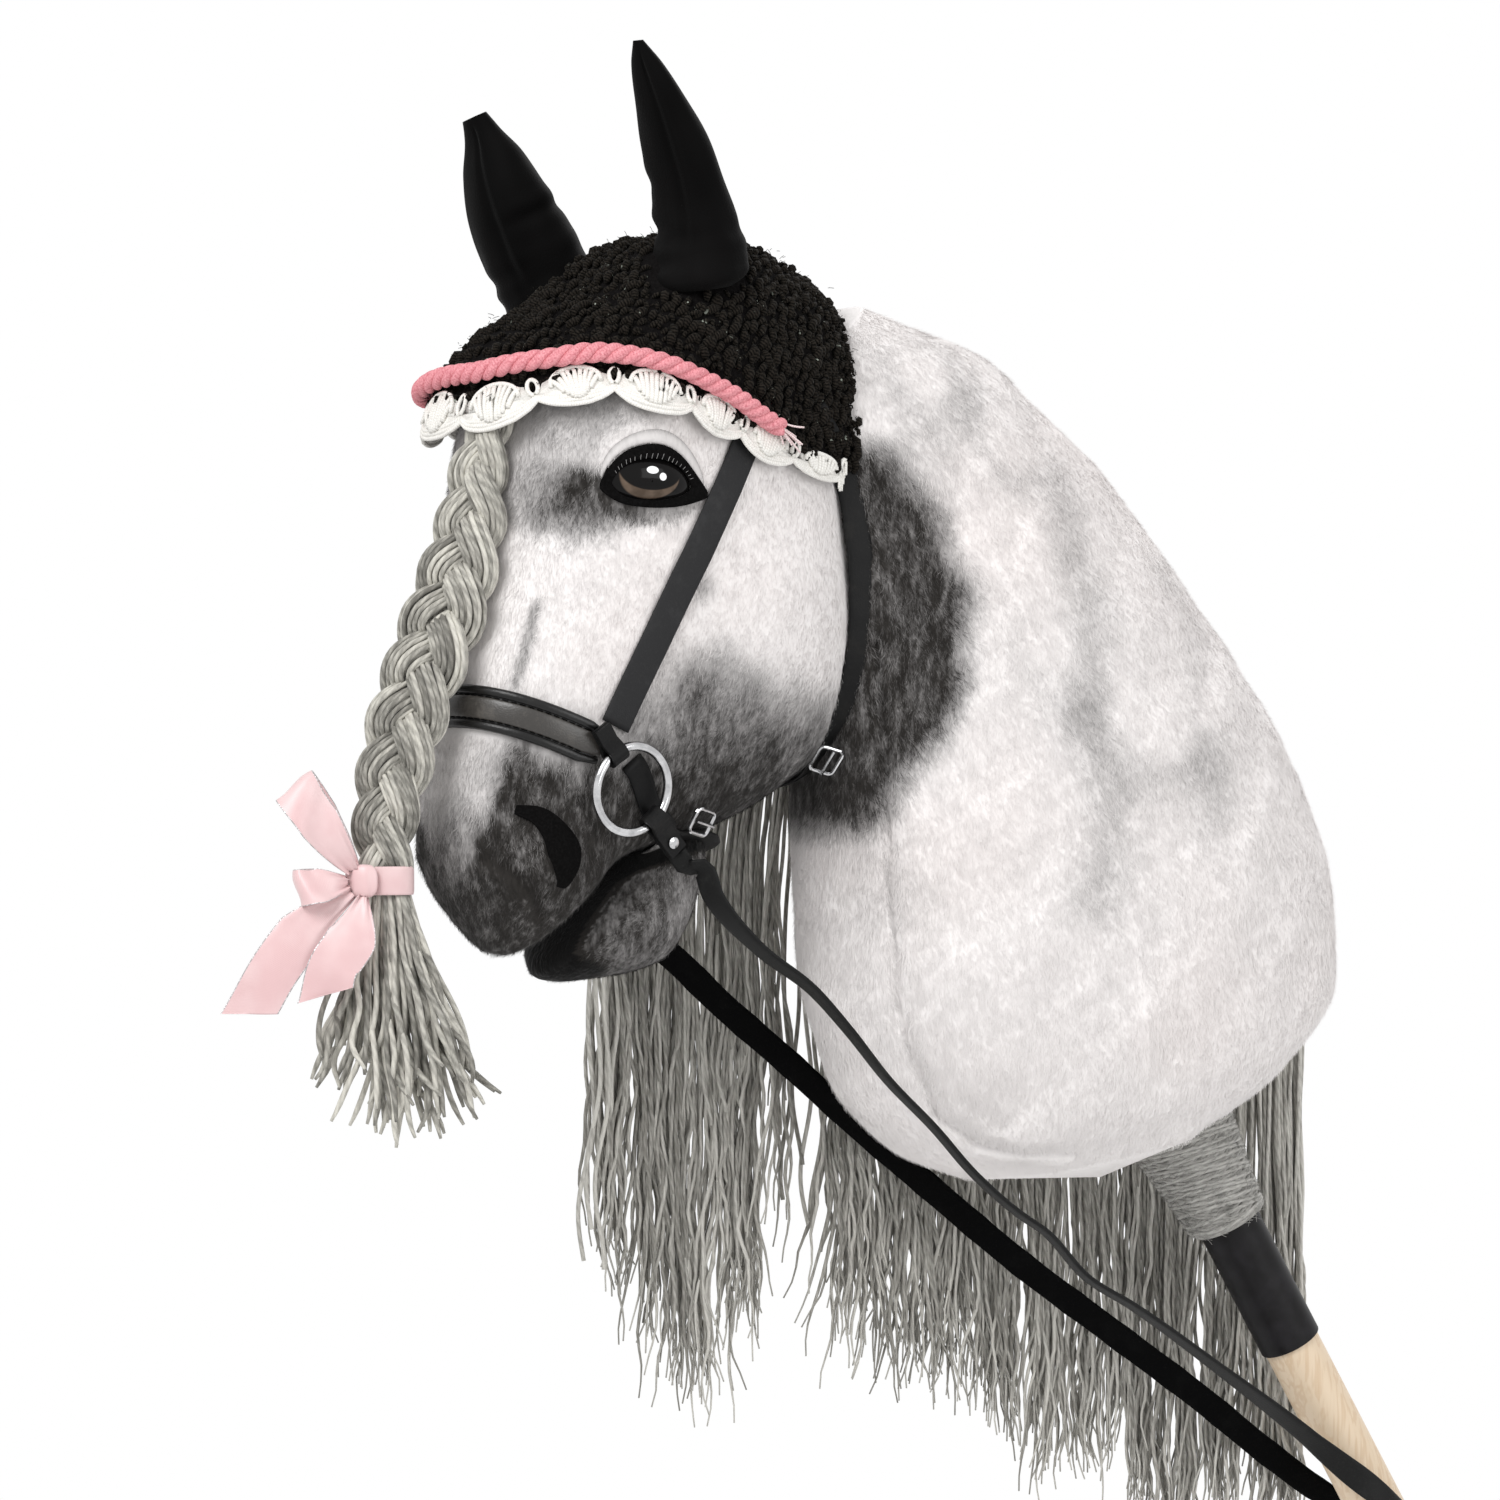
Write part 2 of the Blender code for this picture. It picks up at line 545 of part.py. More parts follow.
def tube(name, points, dia, collection, resolution=2, cyclic=False):
    """Round wire or cord along a polyline."""
    curve = bpy.data.curves.new(name, "CURVE")
    curve.dimensions = "3D"
    curve.bevel_depth = 0.5 * dia
    curve.bevel_resolution = resolution
    curve.use_fill_caps = True
    spline = curve.splines.new("POLY")
    spline.points.add(len(points) - 1)
    for point, place in zip(spline.points, points):
        point.co = (*place, 1.0)
    spline.use_cyclic_u = cyclic
    obj = bpy.data.objects.new(name, curve)
    collection.objects.link(obj)
    return obj


def cut(body, cutter):
    """Take the cutter's shape out of the body with a live Boolean."""
    modifier = body.modifiers.new("cut_" + cutter.name, "BOOLEAN")
    modifier.operation = "DIFFERENCE"
    modifier.solver = "EXACT"
    modifier.object = cutter


def grown(obj, gap, cutters):
    """Copy of a body, larger all round by the gap, kept as a cutter."""
    mesh = obj.data.copy()
    verts = np.empty(len(mesh.vertices) * 3)
    mesh.vertices.foreach_get("co", verts)
    normals = np.empty(len(mesh.vertices) * 3)
    mesh.vertex_normals.foreach_get("vector", normals)
    mesh.vertices.foreach_set("co", verts + normals * gap)
    copy = bpy.data.objects.new(obj.name + "_room", mesh)
    cutters.objects.link(copy)
    copy.hide_render = True
    copy.display_type = "WIRE"
    return copy


def on_head(places, side, tree):
    """World points of (along, rise) places on the near (1) or off (-1) side of the head."""
    places = np.asarray(places, float) * MM
    outside = head_world(places[:, 0], places[:, 1], np.full(len(places), side * 90.0 * MM))
    points = []
    toward = -Vector(HEAD_NEAR) * side
    for start in outside:
        hit = tree.ray_cast(Vector(start), toward)[0]
        points.append(hit if hit is not None else tree.find_nearest(Vector(start))[0])
    return np.array(points)


FINISHES = {
    "white_plush": ((0.80, 0.79, 0.80), 0.95, 0.0),
    "grey_plush": ((0.22, 0.21, 0.21), 0.95, 0.0),
    "black_felt": ((0.012, 0.012, 0.013), 0.9, 0.0),
    "black_cloth": ((0.010, 0.010, 0.011), 0.7, 0.0),
    "black_crochet": ((0.014, 0.013, 0.014), 0.85, 0.0),
    "white_crochet": ((0.82, 0.80, 0.76), 0.85, 0.0),
    "pink_rope": ((0.82, 0.30, 0.36), 0.8, 0.0),
    "pink_satin": ((0.86, 0.60, 0.64), 0.35, 0.0),
    "grey_yarn": ((0.33, 0.32, 0.29), 0.9, 0.0),
    "black_leather": ((0.016, 0.016, 0.017), 0.38, 0.0),
    "rein_leather": ((0.025, 0.021, 0.018), 0.42, 0.0),
    "chrome": ((0.78, 0.78, 0.80), 0.12, 1.0),
    "glossy_eye": ((0.012, 0.008, 0.006), 0.08, 0.0),
    "pine": ((0.76, 0.60, 0.38), 0.5, 0.0),
    "black_sleeve": ((0.012, 0.012, 0.016), 0.45, 0.0),
}


def give_finish(obj, name):
    """One Principled material for the object, in its photographed colour."""
    colour, roughness, metallic = FINISHES[name]
    material = bpy.data.materials.new(obj.name + "_" + name)
    material.use_nodes = True
    shader = material.node_tree.nodes["Principled BSDF"]
    shader.inputs["Base Color"].default_value = (*colour, 1.0)
    shader.inputs["Roughness"].default_value = roughness
    shader.inputs["Metallic"].default_value = metallic
    obj.data.materials.append(material)
    return obj


def turned(name, profile, bottom, axis, collection, steps=32, on_axis=False):
    """Turned piece: a (radius, height) profile spun round the axis from its bottom point.

    The profile is closed, or it begins and ends on the axis.
    """
    mesh = bpy.data.meshes.new(name)
    verts = [(r, 0.0, h) for r, h in profile]
    last = len(verts) - 1 if on_axis else len(verts)
    mesh.from_pydata(verts, [(i, (i + 1) % len(verts)) for i in range(last)], [])
    obj = bpy.data.objects.new(name, mesh)
    collection.objects.link(obj)
    obj.location = bottom
    obj.rotation_mode = "QUATERNION"
    obj.rotation_quaternion = Vector(axis).to_track_quat("Z", "Y")
    screw = obj.modifiers.new("turn", "SCREW")
    screw.steps = steps
    screw.render_steps = steps
    screw.use_merge_vertices = True
    screw.merge_threshold = 0.00005
    screw.use_normal_calculate = False
    return obj


def folded_loop(name, wire, wire_dir, tail_dir, up_dir, width, tail, collection, tail_lift=0.0):
    """Leather loop folded round a wire, its two ends together in a tail."""
    radius = 0.5 * RING_WIRE + KEEPER_CLEARANCE + 0.5 * KEEPER_WALL
    pinch = 0.5 * KEEPER_WALL + 0.15 * MM
    turn = np.linspace(math.radians(52.0), math.radians(308.0), 15)
    out = [(math.cos(a) * radius, math.sin(a) * radius) for a in turn]
    neck_in = radius + 2.2 * MM
    flat = ([(neck_in + tail, pinch + tail_lift), (neck_in, pinch + tail_lift * 0.6)] + out
            + [(neck_in, -pinch + tail_lift * 0.6), (neck_in + tail, -pinch + tail_lift)])
    tail_dir, up_dir = Vector(tail_dir), Vector(up_dir)
    centres = np.array([Vector(wire) + tail_dir * x + up_dir * y for x, y in flat])
    tangents = path_tangents(centres)
    normals = unit(np.cross(np.array(wire_dir), tangents))
    return sweep_flat(name, centres, normals, width, KEEPER_WALL, collection)


def rounded_frame(name, centre, along, across, length, width, dia, collection):
    """Buckle frame: one round wire bent to a rectangle with round corners."""
    corner = 2.2 * MM
    points = []
    for sx, sy, start in ((1, 1, 0), (-1, 1, 90), (-1, -1, 180), (1, -1, 270)):
        middle = (sx * (0.5 * length - corner), sy * (0.5 * width - corner))
        for step in (0, 30, 60, 90):
            turn = math.radians(start + step)
            x = middle[0] + corner * math.cos(turn)
            y = middle[1] + corner * math.sin(turn)
            points.append(Vector(centre) + Vector(along) * x + Vector(across) * y)
    return tube(name, points, dia, collection, 2, True)


class Workshop:
    """Collections and search trees that the builders share."""

    def __init__(self):
        self.parts = bpy.data.collections.new("hobby_horse")
        self.cutters = bpy.data.collections.new("cutters")
        for collection in (self.parts, self.cutters):
            bpy.context.scene.collection.children.link(collection)
        turn = np.linspace(0.0, 2.0 * math.pi, 96, endpoint=False)
        s = np.linspace(HEAD_TOP + 0.3 * MM, HEAD_END - 0.2 * MM, 150)
        self.head_tree = grid_tree(head_world(*head_surface(s[:, None], turn)))
        s = np.linspace(JAW_START, JAW_END - 0.2 * MM, 60)
        self.jaw_tree = grid_tree(head_world(*jaw_surface(s[:, None], turn)))
        a, z, l, _, _ = neck_surface(np.linspace(0.0, 1.0, 120)[:, None], turn)
        self.neck_tree = grid_tree(neck_world(a, z, l))
        s = np.linspace(HEAD_TOP + 0.3 * MM, 120.0 * MM, 60)
        self.bonnet_tree = grid_tree(head_skin(s[:, None], turn, BONNET_LIFT + BONNET_THICKNESS))

    def side_name(self, side):
        """Name of a side of the horse: near is its left, which the photograph shows."""
        return "near" if side > 0 else "off"


def bonnet_lift(s, theta):
    """How far the bonnet stands off the head: more over the forehead, where the braid is under it."""
    rise = np.clip((np.asarray(s, float) - 20.0 * MM) / (45.0 * MM), 0.0, 1.0)
    turn = np.asarray(theta, float)
    swell = np.exp(-((turn - BULGE_ANGLE) / BULGE_SPAN) ** 2)
    round_turn = np.mod(turn + math.pi, 2.0 * math.pi) - math.pi
    far_turn = np.abs(round_turn) - math.pi
    corner = (np.exp(-((round_turn - CORNER_ANGLE) / CORNER_SPAN) ** 2)
              + np.exp(-((far_turn - CORNER_ANGLE) / CORNER_SPAN) ** 2) * (round_turn < 0.0))
    low = np.clip((np.asarray(s, float) - 8.0 * MM) / (24.0 * MM), 0.0, 1.0)
    return (BONNET_LIFT + BONNET_BULGE * swell * rise * rise * (3.0 - 2.0 * rise)
            + CORNER_BULGE * corner * low * low * (3.0 - 2.0 * low))


def hem_place(theta):
    """Place of the bonnet's hem along the head at an angle round it."""
    return smooth_curve(np.radians(HEM_ANGLES), np.array(HEM_PLACES) * MM, theta)


def build_stick(shop):
    """Round pine stick, its black sleeve, and the plush cuff above the sleeve."""
    length = STICK_BELOW_GRIP + STICK_ABOVE_GRIP
    middle = STICK_UP * (0.5 * (STICK_ABOVE_GRIP - STICK_BELOW_GRIP))
    bpy.ops.mesh.primitive_cylinder_add(vertices=32, radius=0.5 * STICK_DIA, depth=length, location=middle)
    stick = bpy.context.active_object
    stick.name = stick.data.name = "stick"
    stick.rotation_mode = "QUATERNION"
    stick.rotation_quaternion = STICK_UP.to_track_quat("Z", "Y")
    for collection in list(stick.users_collection):
        collection.objects.unlink(stick)
    shop.parts.objects.link(stick)
    bevel = stick.modifiers.new("ends", "BEVEL")
    bevel.width = STICK_END_BEVEL
    bevel.segments = 2
    bevel.limit_method = "ANGLE"
    stick.data.shade_smooth()
    give_finish(stick, "pine")
    bore = 0.5 * STICK_DIA + SEAT_GAP
    outer = bore + COLLAR_WALL
    wall = [(outer, COLLAR_LENGTH), (outer, 0.0), (bore, 0.0), (bore, COLLAR_LENGTH)]
    collar = turned("stick_sleeve", wall, STICK_UP * COLLAR_ABOVE_GRIP, STICK_UP, shop.parts)
    give_finish(collar, "black_sleeve")
    return stick


def cuff_radius(height):
    """Outer radius of the plush cuff at a height over its lower end."""
    share = np.clip(np.asarray(height, float) / CUFF_LENGTH, 0.0, 1.0)
    return CUFF_LOW_RADIUS + (CUFF_TOP_RADIUS - CUFF_LOW_RADIUS) * share ** 1.5


def build_cuff(shop, neck_room):
    """Plush cuff between the neck and the sleeve, and the yarn wound round it."""
    foot = STICK_UP * (COLLAR_ABOVE_GRIP + COLLAR_LENGTH + SEAT_GAP)
    heights = np.linspace(CUFF_LENGTH, 0.0, 7)
    bore = 0.5 * STICK_DIA + SEAT_GAP
    profile = [(float(cuff_radius(h)), float(h)) for h in heights] + [(bore, 0.0), (bore, CUFF_LENGTH)]
    cuff = turned("neck_cuff", profile, foot, STICK_UP, shop.parts, 22)
    cut(cuff, neck_room)
    give_finish(cuff, "white_plush")
    side = STICK_UP.cross(Vector((0.0, 1.0, 0.0))).normalized()
    other = STICK_UP.cross(side)
    turns = np.linspace(0.0, YARN_LOOPS, YARN_LOOPS * YARN_POINTS + 1)
    height = YARN_ABOVE_COLLAR + turns * YARN_PITCH
    radius = cuff_radius(height) + 0.45 * MM + 0.5 * YARN_DIA
    angle = 2.0 * math.pi * turns
    points = (np.array(foot) + height[:, None] * np.array(STICK_UP)
              + (radius * np.cos(angle))[:, None] * np.array(side)
              + (radius * np.sin(angle))[:, None] * np.array(other))
    first = points[0] + unit(points[0] - points[1]) * YARN_DIA
    last = points[-1] + unit(points[-1] - points[-2]) * YARN_DIA
    points = np.concatenate([[first], points, [last]])
    winding = tube("yarn_winding", points, YARN_DIA, shop.parts, 1)
    give_finish(winding, "grey_yarn")
    apart = np.linalg.norm(points[:, None] - points[None], axis=-1)
    near = np.abs(np.subtract.outer(np.arange(len(points)), np.arange(len(points)))) < YARN_POINTS // 2
    apart[near] = 1.0
    print("least gap of the winding to itself: %.2f mm" % ((apart.min() - YARN_DIA) / MM))


def build_neck(shop):
    """Stuffed neck with the blind hole that the stick stands in."""
    theta = np.linspace(0.0, 2.0 * math.pi, NECK_SIDES, endpoint=False)
    v = np.linspace(0.0, 1.0, NECK_RINGS)
    a, z, l, start, end = neck_surface(v[:, None], theta[None, :])
    neck = loft("neck", neck_world(a, z, l), shop.parts, neck_world(start[0], start[1], 0.0),
                neck_world(end[0], end[1], 0.0))
    room = grown(neck, SEAT_GAP, shop.cutters)
    bpy.ops.mesh.primitive_cylinder_add(vertices=36, radius=0.5 * STICK_DIA + SEAT_GAP,
                                        depth=STICK_ABOVE_GRIP + SEAT_GAP,
                                        location=STICK_UP * 0.5 * (STICK_ABOVE_GRIP + SEAT_GAP))
    hole = bpy.context.active_object
    hole.name = "stick_room"
    hole.rotation_mode = "QUATERNION"
    hole.rotation_quaternion = STICK_UP.to_track_quat("Z", "Y")
    for collection in list(hole.users_collection):
        collection.objects.unlink(hole)
    shop.cutters.objects.link(hole)
    hole.hide_render = True
    hole.display_type = "WIRE"
    cut(neck, hole)
    give_finish(neck, "white_plush")
    return neck, room


def build_head(shop, neck_room):
    """Stuffed head without its chin."""
    theta = np.linspace(0.0, 2.0 * math.pi, HEAD_SIDES, endpoint=False)
    v = np.linspace(0.0, 1.0, HEAD_RINGS + 2)[1:-1]
    s = HEAD_TOP + (HEAD_END - HEAD_TOP) * (0.78 * v + 0.22 * 0.5 * (1.0 - np.cos(math.pi * v)))
    head = loft("head", head_world(*head_surface(s[:, None], theta[None, :])), shop.parts,
                head_world(HEAD_TOP, POLL_POLE_RISE, 0.0), head_world(HEAD_END, MUZZLE_POLE_RISE, 0.0))
    room = grown(head, SEAT_GAP, shop.cutters)
    cut(head, neck_room)
    give_finish(head, "white_plush")
    return head, room


def build_jaw(shop, head_room):
    """Stuffed chin with its lower lip."""
    theta = np.linspace(0.0, 2.0 * math.pi, 20, endpoint=False)
    v = np.linspace(0.0, 1.0, 13)[:-1]
    s = JAW_START + (JAW_END - JAW_START) * np.sin(0.5 * math.pi * v)
    end_rise = float(jaw_surface(JAW_END, 0.0)[1])
    jaw = loft("lower_jaw", head_world(*jaw_surface(s[:, None], theta[None, :])), shop.parts, None,
               head_world(JAW_END, end_rise, 0.0))
    cut(jaw, head_room)
    give_finish(jaw, "grey_plush")


def skin_frame(place, side, tree):
    """Point, normal and the head's axis direction in the skin, at a place on one side."""
    point = Vector(on_head([(place[0] / MM, place[1] / MM)], side, tree)[0])
    normal = tree.find_nearest(point)[1]
    return point, normal


def build_eye(shop, side, head_room):
    """Glossy eye, the felt rim round it and the upper lid's fold."""
    name = shop.side_name(side)
    tree = shop.head_tree
    point, normal = skin_frame(EYE_PLACE, side, tree)
    front, _ = skin_frame(EYE_FRONT, side, tree)
    along = front - point
    along = (along - normal * along.dot(normal)).normalized()
    across = normal.cross(along)
    if across.dot(HEAD_DOWN) > 0.0:
        across = -across
    bpy.ops.mesh.primitive_uv_sphere_add(segments=20, ring_count=10, radius=1.0)
    eye = bpy.context.active_object
    eye.name = eye.data.name = name + "_eye"
    for collection in list(eye.users_collection):
        collection.objects.unlink(eye)
    shop.parts.objects.link(eye)
    middle = np.array(point - normal * EYE_SUNK)
    coords = np.empty(len(eye.data.vertices) * 3)
    eye.data.vertices.foreach_get("co", coords)
    coords = coords.reshape(-1, 3)
    shaped = (middle + coords[:, :1] * EYE_HALF_LENGTH * np.array(along)
              + coords[:, 1:2] * EYE_HALF_HEIGHT * np.array(across)
              + coords[:, 2:] * EYE_DEPTH * np.array(normal))
    eye.data.vertices.foreach_set("co", shaped.ravel())
    bm = bmesh.new()
    bm.from_mesh(eye.data)
    bmesh.ops.recalc_face_normals(bm, faces=bm.faces)
    bm.to_mesh(eye.data)
    bm.free()
    eye.data.shade_smooth()
    room = grown(eye, SEAT_GAP, shop.cutters)
    cut(eye, head_room)
    give_finish(eye, "glossy_eye")
    turn = np.linspace(0.0, 2.0 * math.pi, 28, endpoint=False)
    reach = 0.5 * EYE_RIM_WIDTH + SEAT_GAP
    loop = (np.array(point) + ((EYE_HALF_LENGTH + reach) * np.cos(turn))[:, None] * np.array(along)
            + ((EYE_HALF_HEIGHT + reach) * np.sin(turn))[:, None] * np.array(across))
    rim = laid_strap(name + "_eye_rim", loop, EYE_RIM_WIDTH, EYE_RIM_THICKNESS, [tree], shop.parts, 2, True)
    cut(rim, room)
    give_finish(rim, "black_felt")
    turn = np.linspace(math.radians(16.0), math.radians(164.0), 15)
    reach = EYE_RIM_WIDTH + 2.0 * SEAT_GAP + 0.5 * LID_WIDTH
    fold = (np.array(point) + ((EYE_HALF_LENGTH + reach) * np.cos(turn))[:, None] * np.array(along)
            + ((EYE_HALF_HEIGHT + reach) * np.sin(turn))[:, None] * np.array(across))
    widths = LID_WIDTH * (0.35 + 0.65 * np.sin(np.linspace(0.0, math.pi, 15)))
    lid = laid_strap(name + "_eyelid", fold, widths, LID_THICKNESS, [tree], shop.parts, 3)
    give_finish(lid, "white_plush")


def build_felt_marks(shop, side):
    """Nostril felt and the lip corner's tab."""
    name = shop.side_name(side)
    for part, route, widths, trees, finish in (
            ("_nostril", NOSTRIL_ROUTE, NOSTRIL_WIDTHS, [shop.head_tree], "black_felt"),
            ("_lip_tab", LIP_TAB_ROUTE, LIP_TAB_WIDTHS, [shop.jaw_tree, shop.head_tree], "grey_plush")):
        places = smooth_route([(s, d, w) for (s, d), w in zip(route, widths)], 9)
        centres = on_head(places[:, :2], side, trees[0])
        obj = laid_strap(name + part, centres, places[:, 2] * MM, NOSTRIL_THICKNESS, trees, shop.parts, 3,
                         gap=0.8 * MM)
        give_finish(obj, finish)


def ear_rings(side, inset, count):
    """Rings of an ear from its foot to its tip, drawn in by the inset."""
    place, rise, out, length, forward, spread, bend = NEAR_EAR if side > 0 else OFF_EAR
    base = Vector(head_world(place, rise, side * out))
    up = (-HEAD_DOWN + HEAD_RISE * forward + HEAD_NEAR * side * spread).normalized()
    wide = (HEAD_NEAR - up * HEAD_NEAR.dot(up)).normalized()
    deep = up.cross(wide)
    base = base - up * EAR_SINK
    table = np.array(EAR_STATIONS, float)
    share = np.sin(np.linspace(0.0, 0.5 * math.pi, count))
    turn = np.linspace(0.0, 2.0 * math.pi, 16, endpoint=False)
    length = length - 2.5 * inset
    rings = []
    for u in share:
        half = float(smooth_curve(table[:, 0], table[:, 1], u)) * MM - inset
        thick = float(smooth_curve(table[:, 0], table[:, 2], u)) * MM - inset
        half, thick = max(half, 0.8 * MM), max(thick, 0.8 * MM)
        middle = base + up * (length * u) + HEAD_RISE * (bend * u * u)
        rings.append(np.array(middle) + (half * np.cos(turn))[:, None] * np.array(wide)
                     + (thick * np.sin(turn))[:, None] * np.array(deep))
    return np.array(rings)


def bonnet_rings(extra):
    """Rings of the bonnet from its crown to its hem, lifted by the extra over its inner side."""
    turn = np.linspace(-0.5 * math.pi, 1.5 * math.pi, BONNET_SIDES, endpoint=False)
    start = HEAD_TOP + 1.5 * MM
    share = np.linspace(0.0, 1.0, BONNET_ROWS)[:, None] ** 1.15
    s = start + share * (hem_place(turn)[None, :] - start)
    pole = head_world(HEAD_TOP, POLL_POLE_RISE, 0.0) - np.array(HEAD_DOWN) * (BONNET_LIFT + extra)
    return head_skin(s, turn[None, :], bonnet_lift(s, turn[None, :]) + extra), pole


def build_ears(shop, head_room):
    """Stuffed ears and the cloth covers that the bonnet puts over them."""
    rooms = []
    rings, pole = bonnet_rings(BONNET_THICKNESS + SEAT_GAP)
    mass = loft("bonnet_mass", rings, shop.cutters, pole)
    mass.hide_render = True
    mass.display_type = "WIRE"
    for side in (1, -1):
        name = shop.side_name(side)
        ear = loft(name + "_ear", ear_rings(side, EAR_COVER_WALL + SEAT_GAP, 8), shop.parts)
        room = grown(ear, SEAT_GAP, shop.cutters)
        cut(ear, head_room)
        give_finish(ear, "white_plush")
        cover = loft(name + "_ear_cover", ear_rings(side, 0.0, 9), shop.parts)
        cut(cover, room)
        cut(cover, mass)
        give_finish(cover, "black_cloth")
        rooms.append(room)
    return rooms


def build_bonnet(shop, ear_rooms, neck_room):
    """Crocheted bonnet with its pink rope and its scalloped lace edge."""
    outer, outer_pole = bonnet_rings(BONNET_THICKNESS)
    inner, inner_pole = bonnet_rings(0.0)
    bonnet = loft("ear_bonnet", np.concatenate([outer, inner[::-1]]), shop.parts, outer_pole, inner_pole)
    for room in ear_rooms:
        cut(bonnet, room)
    cut(bonnet, neck_room)
    give_finish(bonnet, "black_crochet")
    turn = np.linspace(LACE_END_ANGLE, math.pi - LACE_END_ANGLE, 4 * LACE_SCALLOPS + 1)
    hem = hem_place(turn) + 4.0 * SEAT_GAP
    wave = np.abs(np.sin(np.linspace(0.0, LACE_SCALLOPS * math.pi, len(turn))))
    depth = LACE_DEPTH - LACE_SCALLOP * (1.0 - wave)
    low = hem + depth
    sections = []
    for layer in (0.0, LACE_THICKNESS):
        rows = []
        for place in (hem, hem + 0.5 * depth, low):
            rows.append(head_skin(place, turn, bonnet_lift(place, turn) + layer))
        sections.append(np.stack(rows, 1))
    lace = loft("bonnet_lace", np.concatenate([sections[0], sections[1][:, ::-1]], 1), shop.parts)
    cut(lace, neck_room)
    give_finish(lace, "white_crochet")
    turn = np.radians(np.linspace(ROPE_ANGLES[0], ROPE_ANGLES[-1], 38))
    place = smooth_curve(np.radians(ROPE_ANGLES), np.array(ROPE_PLACES) * MM, turn)
    lift = bonnet_lift(place, turn) + BONNET_THICKNESS + 0.45 * MM + 0.5 * ROPE_DIA
    rope = tube("bonnet_rope", head_skin(place, turn, lift), ROPE_DIA, shop.parts, 1)
    give_finish(rope, "pink_rope")
    return bonnet


def build_bridle(shop, bonnet):
    """Headpiece, cheek straps, throat latch, noseband and chin strap."""
    head, neck, jaw = shop.head_tree, shop.neck_tree, shop.jaw_tree
    over = on_head(HEADPIECE_ROUTE, 1, head)
    back = on_head(HEADPIECE_ROUTE, -1, head)
    crown = smooth_route(np.concatenate([over, back[::-1]]), 26)
    strap = laid_strap("headpiece", crown, HEADPIECE_WIDTH, STRAP_THICKNESS, [head], shop.parts, 4)
    give_finish(strap, "black_leather")
    for side in (1, -1):
        name = shop.side_name(side)
        route = smooth_route(on_head(CHEEK_ROUTE, side, head), 20)
        strap = laid_strap(name + "_cheek_strap", route, CHEEK_WIDTH, STRAP_THICKNESS, [head], shop.parts, 4)
        give_finish(strap, "black_leather")
    near = on_head(THROAT_ROUTE, 1, head)
    off = on_head(THROAT_ROUTE, -1, head)
    under = head_world(168.0 * MM, -107.0 * MM, np.array([30.0, 0.0, -30.0]) * MM)
    route = smooth_route(np.concatenate([near, under, off[::-1]]), 50)
    throat = laid_strap("throat_latch", route, THROAT_WIDTH, STRAP_THICKNESS, [head, neck], shop.parts, 3,
                        gap=1.0 * MM)
    give_finish(throat, "black_leather")
    room = grown(throat, 0.55 * MM, shop.cutters)
    cut(bonnet, room)
    build_buckle(shop, "throat_buckle", throat, near[-1], THROAT_WIDTH - 2.0 * MM, 3, clear=1.7 * MM)
    turn = np.linspace(NOSEBAND_END_ANGLE, math.pi - NOSEBAND_END_ANGLE, 28)
    widths = NOSEBAND_WIDTH * np.clip(0.72 + 2.8 * np.sin(turn) ** 2, 0.0, 1.0)
    band = laid_strap("noseband", head_skin(NOSEBAND_PLACE, turn), widths, NOSEBAND_THICKNESS, [head],
                      shop.parts, 4)
    give_finish(band, "black_leather")
    near = on_head(CHIN_ROUTE, 1, head)
    off = on_head(CHIN_ROUTE, -1, head)
    under = head_world(242.0 * MM, -80.0 * MM, np.array([18.0, 0.0, -18.0]) * MM)
    route = smooth_route(np.concatenate([near, under, off[::-1]]), 40)
    chin = laid_strap("chin_strap", route, CHIN_WIDTH, STRAP_THICKNESS, [head, jaw], shop.parts, 3)
    give_finish(chin, "black_leather")
    build_buckle(shop, "chin_buckle", chin, near[-1], CHIN_WIDTH, 3)


def ring_frame(shop, side):
    """Middle, normal and the two in-plane directions of a bit ring."""
    point, normal = skin_frame(RING_PLACE, side, shop.head_tree)
    centre = point + normal * RING_LIFT
    down = (HEAD_DOWN - normal * HEAD_DOWN.dot(normal)).normalized()
    rise = (HEAD_RISE - normal * HEAD_RISE.dot(normal)).normalized()
    rise = (rise - down * rise.dot(down)).normalized()
    return centre, normal, down, rise


